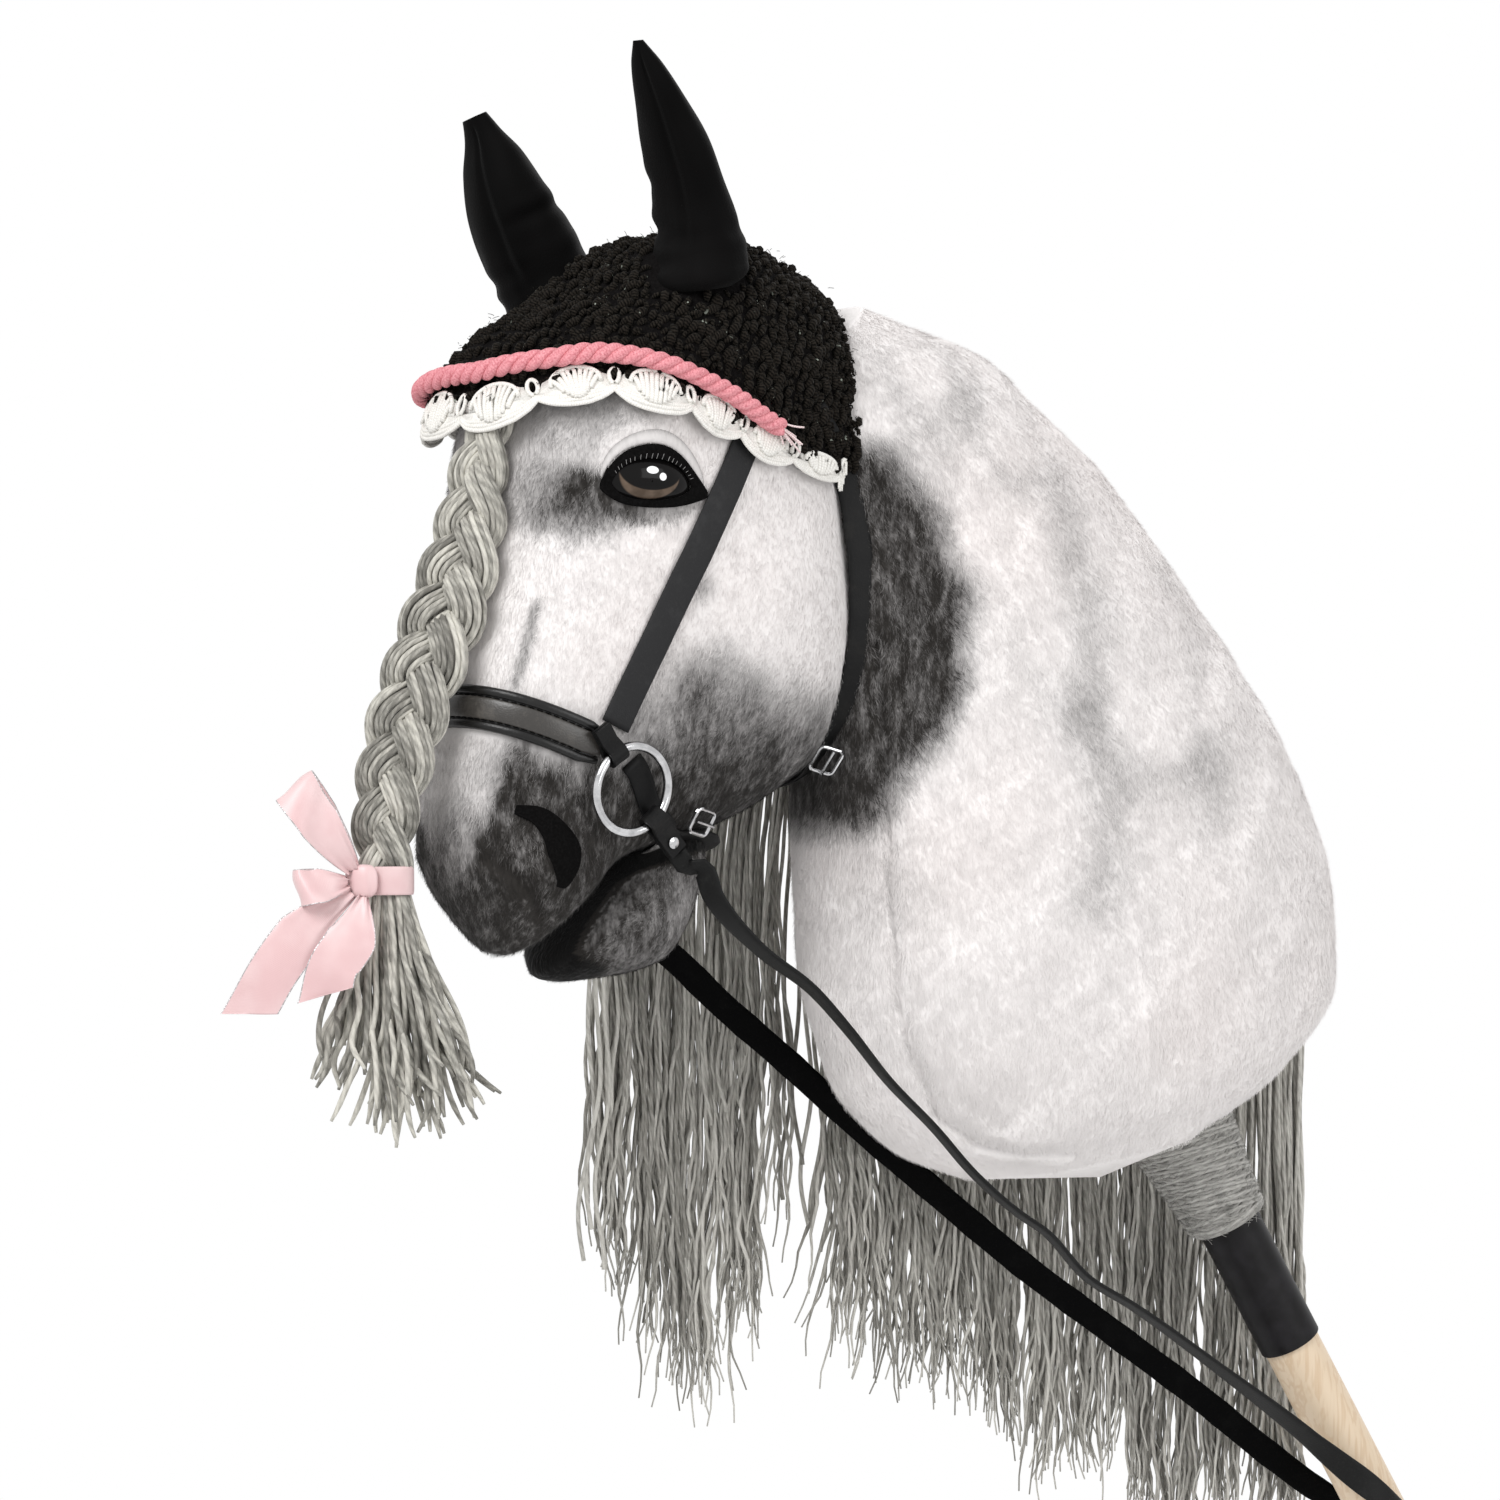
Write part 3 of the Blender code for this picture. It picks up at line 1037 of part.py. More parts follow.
def build_rings(shop, side):
    """Bit ring, the leather keeper that holds it, the rein's folded loop and its rivet."""
    name = shop.side_name(side)
    centre, normal, down, rise = ring_frame(shop, side)
    bpy.ops.mesh.primitive_torus_add(major_segments=TORUS_STEPS, minor_segments=TORUS_SIDES,
                                     major_radius=RING_MEAN_RADIUS, minor_radius=0.5 * RING_WIRE,
                                     location=centre)
    ring = bpy.context.active_object
    ring.name = ring.data.name = name + "_ring"
    ring.rotation_mode = "QUATERNION"
    ring.rotation_quaternion = normal.to_track_quat("Z", "Y")
    for collection in list(ring.users_collection):
        collection.objects.unlink(ring)
    shop.parts.objects.link(ring)
    ring.data.shade_smooth()
    give_finish(ring, "chrome")
    out = down * math.cos(RING_KEEPER_ANGLE) + rise * math.sin(RING_KEEPER_ANGLE)
    wire = centre + out * RING_MEAN_RADIUS
    keeper = folded_loop(name + "_ring_keeper", wire, normal.cross(out), out, normal, KEEPER_WIDTH,
                         KEEPER_TAIL, shop.parts, -1.6 * MM)
    give_finish(keeper, "black_leather")
    out = down * math.cos(RING_REIN_ANGLE) + rise * math.sin(RING_REIN_ANGLE)
    wire = centre + out * RING_MEAN_RADIUS
    loop = folded_loop(name + "_rein_loop", wire, normal.cross(out), out, normal, REIN_LOOP_WIDTH,
                       REIN_LOOP_TAIL, shop.parts, 1.2 * MM)
    give_finish(loop, "rein_leather")
    radius = 0.5 * RING_WIRE + KEEPER_CLEARANCE + 0.5 * KEEPER_WALL
    seat = (wire + out * (radius + 2.2 * MM + 0.55 * REIN_LOOP_TAIL)
            + normal * (KEEPER_WALL + 1.1 * MM + 2.0 * SEAT_GAP))
    head = [(0.0, RIVET_PROUD), (0.25 * RIVET_DIA, 0.85 * RIVET_PROUD), (0.5 * RIVET_DIA, 0.3 * RIVET_PROUD),
            (0.5 * RIVET_DIA, 0.0), (0.0, 0.0)]
    rivet = turned(name + "_rivet", head, seat, normal, shop.parts, 14, True)
    give_finish(rivet, "chrome")
    end = wire + out * (radius + 2.2 * MM + REIN_LOOP_TAIL)
    return end, out, normal


def build_rein(shop, side, loop_end, out, normal):
    """One rein, from its folded loop at the ring to the buckle beyond the stick."""
    route = np.array(NEAR_REIN_ROUTE if side > 0 else OFF_REIN_ROUTE, float) * MM
    twists = NEAR_REIN_TWISTS if side > 0 else OFF_REIN_TWISTS
    first = np.array(loop_end + out * 0.9 * MM)
    second = first + np.array(out) * 5.0 * MM
    third = first + np.array(out) * 9.0 * MM
    points = smooth_route(np.concatenate([[first, second, third], route]), 52)
    tangents = path_tangents(points)
    reach = np.linspace(0.0, 1.0, len(points))
    twist = np.radians(np.interp(reach, np.linspace(0.0, 1.0, len(twists)), twists))
    facing = np.tile(np.array([0.0, -1.0, 0.0]), (len(points), 1))
    start = np.clip(1.0 - reach * 9.0, 0.0, 1.0)[:, None]
    toward = np.array(normal) if side > 0 else -np.array(normal)
    facing = unit(facing * (1.0 - start) + toward * start)
    finish = np.clip((reach - 0.84) / 0.12, 0.0, 1.0)[:, None]
    facing = unit(facing * (1.0 - finish) + np.array([side, 0.0, 0.2 * side]) * finish)
    flat = unit(facing - np.sum(facing * tangents, -1, keepdims=True) * tangents)
    other = np.cross(tangents, flat)
    faces = flat * np.cos(twist)[:, None] + other * np.sin(twist)[:, None]
    run = reach * np.sum(np.linalg.norm(np.diff(points, axis=0), axis=1))
    widths = REIN_LOOP_WIDTH + (REIN_WIDTH - REIN_LOOP_WIDTH) * np.clip(run / REIN_TAPER, 0.0, 1.0)
    rein = sweep_flat(shop.side_name(side) + "_rein", points, faces, widths, REIN_THICKNESS, shop.parts)
    give_finish(rein, "rein_leather")
    return rein


def build_buckle(shop, name, strap, place, width, lanes, inside=False, clear=BUCKLE_CLEAR):
    """Wire buckle frame and its prong, lying on a strap's outer or inner face near a place."""
    verts = np.array([v.co for v in strap.data.vertices]).reshape(-1, 2 * lanes, 3)
    inner, outer = verts[:, :lanes].mean(1), verts[:, lanes:].mean(1)
    if inside:
        inner, outer = outer, inner
    row = int(np.clip(np.linalg.norm(outer - np.array(place), axis=1).argmin(), 1, len(outer) - 2))
    along = Vector(outer[row + 1] - outer[row - 1]).normalized()
    normal = Vector(outer[row] - inner[row])
    normal = (normal - along * normal.dot(along)).normalized()
    across = along.cross(normal)
    centre = Vector(outer[row]) + normal * (0.5 * BUCKLE_WIRE + clear)
    frame = rounded_frame(name + "_frame", centre, along, across, BUCKLE_LENGTH, width, BUCKLE_WIRE,
                          shop.parts)
    give_finish(frame, "chrome")
    lift = normal * (0.5 * BUCKLE_WIRE + 0.5 * PRONG_DIA + SEAT_GAP)
    reach = 0.5 * BUCKLE_LENGTH
    prong = tube(name + "_prong", [centre - along * reach + lift, centre + along * reach + lift],
                 PRONG_DIA, shop.parts, 1)
    give_finish(prong, "chrome")


def build_forelock(shop):
    """Braided forelock, its ribbon bow and the loose end below."""
    route = smooth_route(np.array(BRAID_ROUTE, float) * MM, 36)
    reach = np.linspace(0.0, 1.0, len(route))
    shares = np.linspace(0.0, 1.0, len(BRAID_HALF_WIDTHS))
    halves = smooth_curve(shares, np.array(BRAID_HALF_WIDTHS) * MM, reach)
    tangents = path_tangents(route)
    lean = np.clip((reach - 0.05) / 0.4, 0.0, 1.0)[:, None]
    facing = np.array(HEAD_RISE) * (1.0 - lean) + np.array([-0.3, -0.95, 0.0]) * lean
    facing = unit(facing - np.sum(tangents * facing, -1, keepdims=True) * tangents)
    sides = np.cross(tangents, facing)
    turn = np.linspace(0.0, 2.0 * math.pi, 12, endpoint=False)
    flatness = BRAID_FLATNESS * (0.62 + 0.38 * np.clip(reach / 0.2, 0.0, 1.0))
    phase = math.pi * BRAID_LOBES * reach
    rings = []
    for i in range(len(route)):
        bulge = np.where(np.cos(turn) > 0.0, abs(math.sin(phase[i])), abs(math.cos(phase[i])))
        wide = halves[i] * np.cos(turn) + BRAID_LOBE_SHIFT * (bulge - 0.6) * signed_power(np.cos(turn), 0.7)
        deep = halves[i] * flatness[i] * np.sin(turn)
        rings.append(route[i] + wide[:, None] * sides[i] + deep[:, None] * facing[i])
    along_head = (route - np.array(HEAD_POLL)) @ np.array(HEAD_DOWN)
    bend = int(np.argmax(along_head > FORELOCK_BEND_PLACE))
    rings = np.array(rings)
    root = loft("forelock_root", rings[:bend + 1], shop.parts)
    give_finish(root, "grey_yarn")
    lower = rings[bend:].copy()
    lower[0] += tangents[bend] * SEAT_GAP
    braid = loft("forelock_braid", lower, shop.parts)
    give_finish(braid, "grey_yarn")
    foot, down, wide, deep = route[-1], tangents[-1], sides[-1], facing[-1]
    half = BRAID_HALF_WIDTHS[-1] * MM
    loop = []
    turn = np.linspace(0.0, 2.0 * math.pi, 24, endpoint=False)
    gap = 0.5 * WRAP_WALL + 1.6 * MM
    for angle in turn:
        loop.append(foot + wide * math.cos(angle) * (half + gap)
                    + deep * math.sin(angle) * (half * BRAID_FLATNESS + gap))
    loop = np.array(loop)
    outward = unit(loop - foot)
    band = sweep_flat("bow_wrap", loop, outward, WRAP_LENGTH, WRAP_WALL, shop.parts, True)
    give_finish(band, "pink_satin")
    top = foot + down * 2.0 * SEAT_GAP
    turn = np.linspace(0.0, 2.0 * math.pi, 4 * TASSEL_LOCKS, endpoint=False)
    flute = 1.0 + 0.11 * np.cos(TASSEL_LOCKS * turn)
    rings = []
    plumb = np.array([0.06, 0.0, -1.0])
    for u in np.linspace(0.0, 1.0, 10):
        spread = max(0.0, (u * TASSEL_LENGTH - TASSEL_TOP) / (TASSEL_LENGTH - TASSEL_TOP)) ** 0.85
        half_w = half * 0.95 + (TASSEL_HALF_WIDTH - half) * spread
        half_d = half * BRAID_FLATNESS + (TASSEL_HALF_DEPTH - half * BRAID_FLATNESS) * spread
        drop = TASSEL_LENGTH * u - 9.0 * MM * (u ** 4) * (1.0 - np.cos(TASSEL_LOCKS * turn)) * 0.5
        swell = 1.0 + (flute - 1.0) * min(1.0, 3.0 * u)
        rings.append(top + drop[:, None] * plumb + (half_w * np.cos(turn) * swell)[:, None] * wide
                     + (half_d * np.sin(turn) * swell)[:, None] * deep)
    tip = top + (TASSEL_LENGTH - 6.0 * MM) * plumb
    tassel = loft("forelock_tassel", rings, shop.parts, None, tip)
    give_finish(tassel, "grey_yarn")
    build_bow(shop, foot, wide, deep, half * BRAID_FLATNESS + gap + 0.5 * WRAP_WALL)


def knot_reach(toward, turned_to):
    """How far the knot's surface is from its middle in a direction."""
    local = turned_to.inverted() @ toward
    return 1.0 / math.sqrt(sum((x / half) ** 2 for x, half in zip(local, KNOT_HALF_SIZES)))


def build_bow(shop, foot, wide, deep, front):
    """Ribbon bow on the braid's wrap: knot, two loops and two tails."""
    face = -np.array([0.0, 1.0, 0.0])
    hub = foot - wide * 6.0 * MM if wide[0] > 0 else foot + wide * 6.0 * MM
    hub = hub + np.array(deep) * (front + SEAT_GAP + 3.2 * MM)
    bpy.ops.mesh.primitive_uv_sphere_add(segments=16, ring_count=10, radius=1.0, location=hub)
    knot = bpy.context.active_object
    knot.name = knot.data.name = "bow_knot"
    for collection in list(knot.users_collection):
        collection.objects.unlink(knot)
    shop.parts.objects.link(knot)
    knot.scale = KNOT_HALF_SIZES
    knot.rotation_mode = "QUATERNION"
    knot.rotation_quaternion = turned_to = Vector(deep).to_track_quat("Y", "Z")
    knot.data.shade_smooth()
    give_finish(knot, "pink_satin")
    loops = (("bow_loop_large", Vector((-0.60, -0.20, 0.78)), 58.0 * MM, 9.0 * MM, 1.0),
             ("bow_loop_small", Vector((-0.96, -0.28, 0.02)), 30.0 * MM, 6.0 * MM, 0.8))
    for name, toward, length, depth, share in loops:
        toward.normalize()
        over = Vector(face).cross(toward).normalized()
        opening = toward.cross(over).normalized()
        start = Vector(hub) + toward * (knot_reach(toward, turned_to) + 5.0 * SEAT_GAP)
        turn = np.linspace(-0.97 * math.pi, 0.97 * math.pi, 19)
        along = 0.5 * (1.0 + np.cos(turn)) ** 1.0
        bow_out = np.sin(turn) * np.sqrt(np.clip(along, 0.0, 1.0)) * depth + 0.75 * MM * np.sign(turn)
        centres = np.array([start + toward * float(x * length) + opening * float(y)
                            for x, y in zip(along, bow_out)])
        tangents = path_tangents(centres)
        faces = unit(np.cross(np.tile(np.array(over), (len(centres), 1)), tangents))
        widths = RIBBON_WIDTH * share * (0.2 + 0.8 * np.clip(along * 2.0, 0.0, 1.0))
        loop = sweep_flat(name, centres, faces, widths, RIBBON_THICKNESS, shop.parts)
        give_finish(loop, "pink_satin")
    tails = (("bow_tail_long", ((-6, -2.6, -7.4), (-20, -7, -17), (-33, -9, -33), (-45, -6, -53))),
             ("bow_tail_short", ((1.8, -3.2, -9), (-3.5, -9.8, -24), (-11, -11, -36), (-14, -10, -47))))
    for name, route in tails:
        route = np.array(route, float) * MM
        away = Vector(route[0]).normalized()
        route[0] = away * (knot_reach(away, turned_to) + 0.5 * RIBBON_THICKNESS + 2.0 * SEAT_GAP)
        centres = smooth_route(route + hub, 12)
        faces = np.tile(face, (len(centres), 1))
        share = np.clip(np.linspace(0.14, 1.8, len(centres)), 0.0, 1.0)
        tail = sweep_flat(name, centres, faces, RIBBON_WIDTH * share, RIBBON_THICKNESS, shop.parts)
        give_finish(tail, "pink_satin")


def mane_depth(shop, a, z):
    """How far out to the off side the bodies reach at a place in the neck's plane, or None."""
    start = Vector(neck_world(a, z, -0.4))
    reach = []
    for tree in (shop.neck_tree, shop.head_tree, shop.bonnet_tree):
        hit = tree.ray_cast(start, NECK_NEAR)[0]
        if hit is not None:
            reach.append(hit.dot(NECK_NEAR))
    return min(reach) if reach else None


def build_mane(shop):
    """Yarn mane: locks that hang over the off side from the poll to the withers."""
    table = np.array(NECK_STATIONS, float)
    crest_a, crest_z = table[:7, 2], table[:7, 3]
    for name, columns, hems, top, top_range in MANE_LOCKS:
        columns = np.array(columns, float)
        count = max(7, int((columns[-1] - columns[0]) / 8.0))
        places = np.linspace(columns[0], columns[-1], count)
        hem = smooth_curve(columns, hems, places)
        hem = hem + np.where(np.arange(count) % 2 == 0, MANE_HEM_TEETH / MM, -MANE_HEM_TEETH / MM) * 0.5
        tops = np.linspace(top_range[0], top_range[1], count)
        rings = []
        for low_place, top_place, low in zip(places, tops, hem):
            high = min(top, float(np.interp(top_place, crest_a, crest_z)) - MANE_BELOW_CREST / MM)
            steps = high - (high - 150.0) * np.linspace(0.0, 1.0, 13) ** 1.45
            steps = np.concatenate([steps, [0.5 * (150.0 + low), low]])
            sweep = np.clip((steps - MANE_SWEEP_LOW) / (MANE_SWEEP_HIGH - MANE_SWEEP_LOW), 0.0, 1.0)
            sweep = sweep * sweep * (3.0 - 2.0 * sweep)
            out = None
            inner = []
            for a, z in zip(low_place + (top_place - low_place) * sweep, steps):
                depth = mane_depth(shop, min(a, crest_a[-1] - 4.0) * MM, z * MM)
                if depth is not None:
                    out = depth if out is None else min(out, depth)
                inner.append(neck_world(a * MM, z * MM, (out or -34.0 * MM) - MANE_GAP))
            inner = lay_on(inner, [shop.neck_tree, shop.bonnet_tree], 0.7 * MM)
            thick = MANE_THICKNESS * np.clip(0.35 + np.linspace(0.0, 3.0, len(steps)), 0.0, 1.0)
            thick[-1] = 0.45 * MANE_THICKNESS
            outer = inner - np.array(NECK_NEAR) * thick[:, None]
            rings.append(np.concatenate([inner, outer[::-1]]))
        lock = loft(name, rings, shop.parts)
        give_finish(lock, "grey_yarn")


def main():
    clear_scene()
    shop = Workshop()
    build_stick(shop)
    _, neck_room = build_neck(shop)
    build_cuff(shop, neck_room)
    _, head_room = build_head(shop, neck_room)
    build_jaw(shop, head_room)
    ear_rooms = build_ears(shop, head_room)
    bonnet = build_bonnet(shop, ear_rooms, neck_room)
    build_bridle(shop, bonnet)
    for side in (1, -1):
        build_eye(shop, side, head_room)
        build_felt_marks(shop, side)
        end, out, normal = build_rings(shop, side)
        rein = build_rein(shop, side, end, out, normal)
    build_buckle(shop, "rein_buckle", rein, REIN_BUCKLE_PLACE, REIN_WIDTH, 2, True)
    build_forelock(shop)
    build_mane(shop)


main()
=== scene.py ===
"""Dresses the hobby horse: stuffed plush with pile, crochet bonnet, bridle, reins, yarn mane and bow.

Lengths are metres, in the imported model's frame: +Z up, the nose towards -X, the viewer on -Y.
Every shape is a formula on a grid of two parameters, worked out with numpy as whole arrays.
"""
import logging
import math
from dataclasses import dataclass
from enum import Enum
from typing import Callable, Optional, Sequence, Union

import bpy
import numpy as np
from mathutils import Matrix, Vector


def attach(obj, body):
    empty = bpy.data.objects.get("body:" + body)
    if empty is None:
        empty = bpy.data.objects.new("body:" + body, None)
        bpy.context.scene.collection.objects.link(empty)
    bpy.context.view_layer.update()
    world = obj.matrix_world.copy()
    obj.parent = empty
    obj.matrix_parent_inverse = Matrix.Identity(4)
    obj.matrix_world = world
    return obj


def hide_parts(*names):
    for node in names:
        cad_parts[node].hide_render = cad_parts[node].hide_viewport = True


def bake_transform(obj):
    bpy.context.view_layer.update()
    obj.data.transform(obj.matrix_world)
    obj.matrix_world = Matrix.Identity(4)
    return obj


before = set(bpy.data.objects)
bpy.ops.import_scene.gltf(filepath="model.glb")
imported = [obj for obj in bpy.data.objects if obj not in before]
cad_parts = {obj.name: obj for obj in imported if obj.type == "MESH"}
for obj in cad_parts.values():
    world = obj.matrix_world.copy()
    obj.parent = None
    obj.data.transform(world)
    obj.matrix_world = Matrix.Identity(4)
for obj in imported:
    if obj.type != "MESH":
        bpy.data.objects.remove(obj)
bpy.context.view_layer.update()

log = logging.getLogger("hobby_horse")
Array = np.ndarray
Skin = Callable[[Array, Array], Array]
Number = Union[int, float]
Numbers = Union[int, float, np.ndarray]
Piece = bpy.types.Object
MM = 0.001


class Side(Enum):
    """The horse's sides: its left is the near one, which the photograph shows."""

    NEAR = 1
    OFF = -1

    @property
    def word(self) -> str:
        """The side's name in the sub-parts' names."""
        return self.name.lower()


# Directions of the neck's plane, the head and the stick, as in the CAD model.
NECK_YAW = math.radians(22.0)
HEAD_YAW = math.radians(40.0)
HEAD_PITCH = math.radians(22.3)
STICK_LEAN = math.radians(29.6)
UP = np.array([0.0, 0.0, 1.0])
NECK_BACK = np.array([math.cos(NECK_YAW), math.sin(NECK_YAW), 0.0])
NECK_NEAR = np.array([math.sin(NECK_YAW), -math.cos(NECK_YAW), 0.0])
STICK_UP = -NECK_BACK * math.sin(STICK_LEAN) + UP * math.cos(STICK_LEAN)
HEAD_FORWARD = np.array([-math.cos(HEAD_YAW), -math.sin(HEAD_YAW), 0.0])
HEAD_DOWN = HEAD_FORWARD * math.sin(HEAD_PITCH) - UP * math.cos(HEAD_PITCH)
HEAD_RISE = HEAD_FORWARD * math.cos(HEAD_PITCH) + UP * math.sin(HEAD_PITCH)
HEAD_NEAR = np.array([math.sin(HEAD_YAW), -math.cos(HEAD_YAW), 0.0])

# The stuffed forms' stations, the same as the CAD model's (mm).
HEAD_POLL = np.array([-0.2974, -0.1200, 0.5079])
HEAD_TOP, HEAD_END = -32.0 * MM, 293.0 * MM
POLL_DOME, MUZZLE_DOME = 42.0 * MM, 44.0 * MM
POLL_POLE_RISE, MUZZLE_POLE_RISE = -14.0 * MM, 4.0 * MM
HEAD_STATIONS = (
    (-38, 44, -62, 46), (-16, 50, -60, 50), (0, 57, -63, 53), (18, 66, -69, 56),
    (38, 77, -80, 58), (60, 85, -96, 59), (82, 88, -112, 60), (105, 84, -125, 60),
    (130, 78, -130, 58), (155, 72, -119, 55), (176, 68, -102, 51), (196, 64, -84, 47),
    (212, 60, -66, 44), (228, 56, -42, 42), (242, 51, -25, 41), (256, 45, -18, 41),
    (271, 38, -14, 39), (282, 31, -13, 35), (293, 20, -14, 28))
HEAD_SQUARENESS_TOP, HEAD_SQUARENESS_BOTTOM, DOME_SQUARENESS = 2.7, 2.8, 2.4
JAW_START, JAW_END, JAW_DOME = 194.0 * MM, 293.0 * MM, 32.0 * MM
JAW_STATIONS = (
    (194, -38, -72, 24), (214, -38, -76, 30), (230, -36, -78, 34), (244, -32, -79, 34),
    (257, -27, -77, 34), (269, -23, -72, 32), (280, -20, -64, 29), (293, -17, -52, 23))
JAW_SQUARENESS = 2.3
NECK_STATIONS = (
    (-274, 500, -250, 521, 26), (-288, 470, -228, 513, 38), (-288, 443, -198, 503, 45),
    (-279, 382, -138, 455, 55), (-273, 320, -83, 388, 64), (-272, 267, -42, 328, 69),
    (-269, 225, -18, 270, 70), (-256, 180, -13, 222, 65), (-226, 146, -38, 183, 52),
    (-190, 133, -78, 152, 32))
NECK_POLE_START, NECK_POLE_END = (-262, 518), (-127, 132)
NECK_SQUARENESS_FRONT, NECK_SQUARENESS_CREST = 2.6, 2.0
LAID_GAP = 0.45 * MM

# Bonnet: hem by the angle round the head (degrees, mm) and how far it stands off the skin.
BONNET_LIFT, BONNET_THICKNESS = 4.6 * MM, 3.0 * MM
BONNET_BULGE, BULGE_ANGLE, BULGE_SPAN = 9.5 * MM, math.radians(100.0), math.radians(34.0)
CORNER_BULGE, CORNER_ANGLE, CORNER_SPAN = 4.2 * MM, math.radians(-50.0), math.radians(17.0)
HEM_ANGLES = (-90, -62, -38, -9, 5, 20, 33, 45, 57, 68, 79, 92, 105, 118, 130, 142, 155, 175, 195,
              218, 242, 270)
HEM_PLACES = (8, 31, 42, 50, 52, 54, 57, 59, 64, 71, 78, 82, 82, 79, 74, 66, 58, 52, 50, 42, 31, 8)


def smooth_curve(places: Sequence[Number], values: Sequence[Number], at: Array) -> Array:
    """Monotone cubic through the stations: Hermite pieces with harmonic-mean slopes.

    Args:
        places: the stations' places, rising.
        values: the value at each station.
        at: where to read the curve.

    Returns:
        The curve's values there.
    """
    places = np.asarray(places, float)
    values = np.asarray(values, float)
    steps = np.diff(places)
    slopes = np.diff(values) / steps
    tangents = np.empty_like(values)
    tangents[0] = slopes[0]
    tangents[-1] = slopes[-1]
    weight_a = 2.0 * steps[1:] + steps[:-1]
    weight_b = steps[1:] + 2.0 * steps[:-1]
    with np.errstate(divide="ignore", invalid="ignore"):
        harmonic = (weight_a + weight_b) / (weight_a / slopes[:-1] + weight_b / slopes[1:])
    tangents[1:-1] = np.where(slopes[:-1] * slopes[1:] > 0.0, harmonic, 0.0)
    at = np.asarray(at, float)
    k = np.clip(np.searchsorted(places, at) - 1, 0, len(steps) - 1)
    h = steps[k]
    t = (at - places[k]) / h
    return ((2 * t ** 3 - 3 * t ** 2 + 1) * values[k] + (t ** 3 - 2 * t ** 2 + t) * h * tangents[k]
            + (3 * t ** 2 - 2 * t ** 3) * values[k + 1] + (t ** 3 - t ** 2) * h * tangents[k + 1])


def signed_power(x: Array, p: Numbers) -> Array:
    """|x| to the power p with x's sign: the superellipse's coordinate."""
    return np.sign(x) * np.abs(x) ** p


def bump(distance: Array, width: Number) -> Array:
    """Bell curve of height 1: e to the minus squared distance over width."""
    return np.exp(-(distance / width) ** 2)


def rise_step(low: Number, high: Number, x: Array) -> Array:
    """Smooth step from 0 at low to 1 at high: 3t squared less 2t cubed."""
    t = np.clip((np.asarray(x, float) - low) / (high - low), 0.0, 1.0)
    return t * t * (3.0 - 2.0 * t)


def unit(vectors: Array) -> Array:
    """Vectors made one long."""
    vectors = np.asarray(vectors, float)
    return vectors / np.maximum(np.linalg.norm(vectors, axis=-1, keepdims=True), 1e-12)


def once_round(count: int) -> Array:
    """Angles at even steps once round."""
    return np.linspace(0.0, 2.0 * math.pi, count, endpoint=False)


def swing(turn: Array, first: Array, second: Array) -> Array:
    """Directions at angles round, from the first to the second."""
    return np.cos(turn)[:, None] * first + np.sin(turn)[:, None] * second


def run_along(points: Array) -> Array:
    """Length along a line at each of its points."""
    return np.concatenate([[0.0], np.cumsum(np.linalg.norm(np.diff(points, axis=0), axis=-1))])


def across_line(faces: Array, tangents: Array) -> Array:
    """Directions turned square to a line's tangents."""
    return unit(faces - (faces * tangents).sum(-1, keepdims=True) * tangents)


def head_world(s: Array, d: Array, l: Array) -> Array:
    """World points of head coordinates: along the axis, towards the nose line, towards the near side."""
    s, d, l = np.broadcast_arrays(np.asarray(s, float), np.asarray(d, float), np.asarray(l, float))
    return HEAD_POLL + s[..., None] * HEAD_DOWN + d[..., None] * HEAD_RISE + l[..., None] * HEAD_NEAR


def head_coords(points: Array) -> tuple[Array, Array, Array]:
    """Head coordinates of world points."""
    rel = points - HEAD_POLL
    return rel @ HEAD_DOWN, rel @ HEAD_RISE, rel @ HEAD_NEAR


def neck_world(a: Array, z: Array, l: Array) -> Array:
    """World points of neck coordinates: backwards, up, towards the near side."""
    a, z, l = np.broadcast_arrays(np.asarray(a, float), np.asarray(z, float), np.asarray(l, float))
    return a[..., None] * NECK_BACK + z[..., None] * UP + l[..., None] * NECK_NEAR


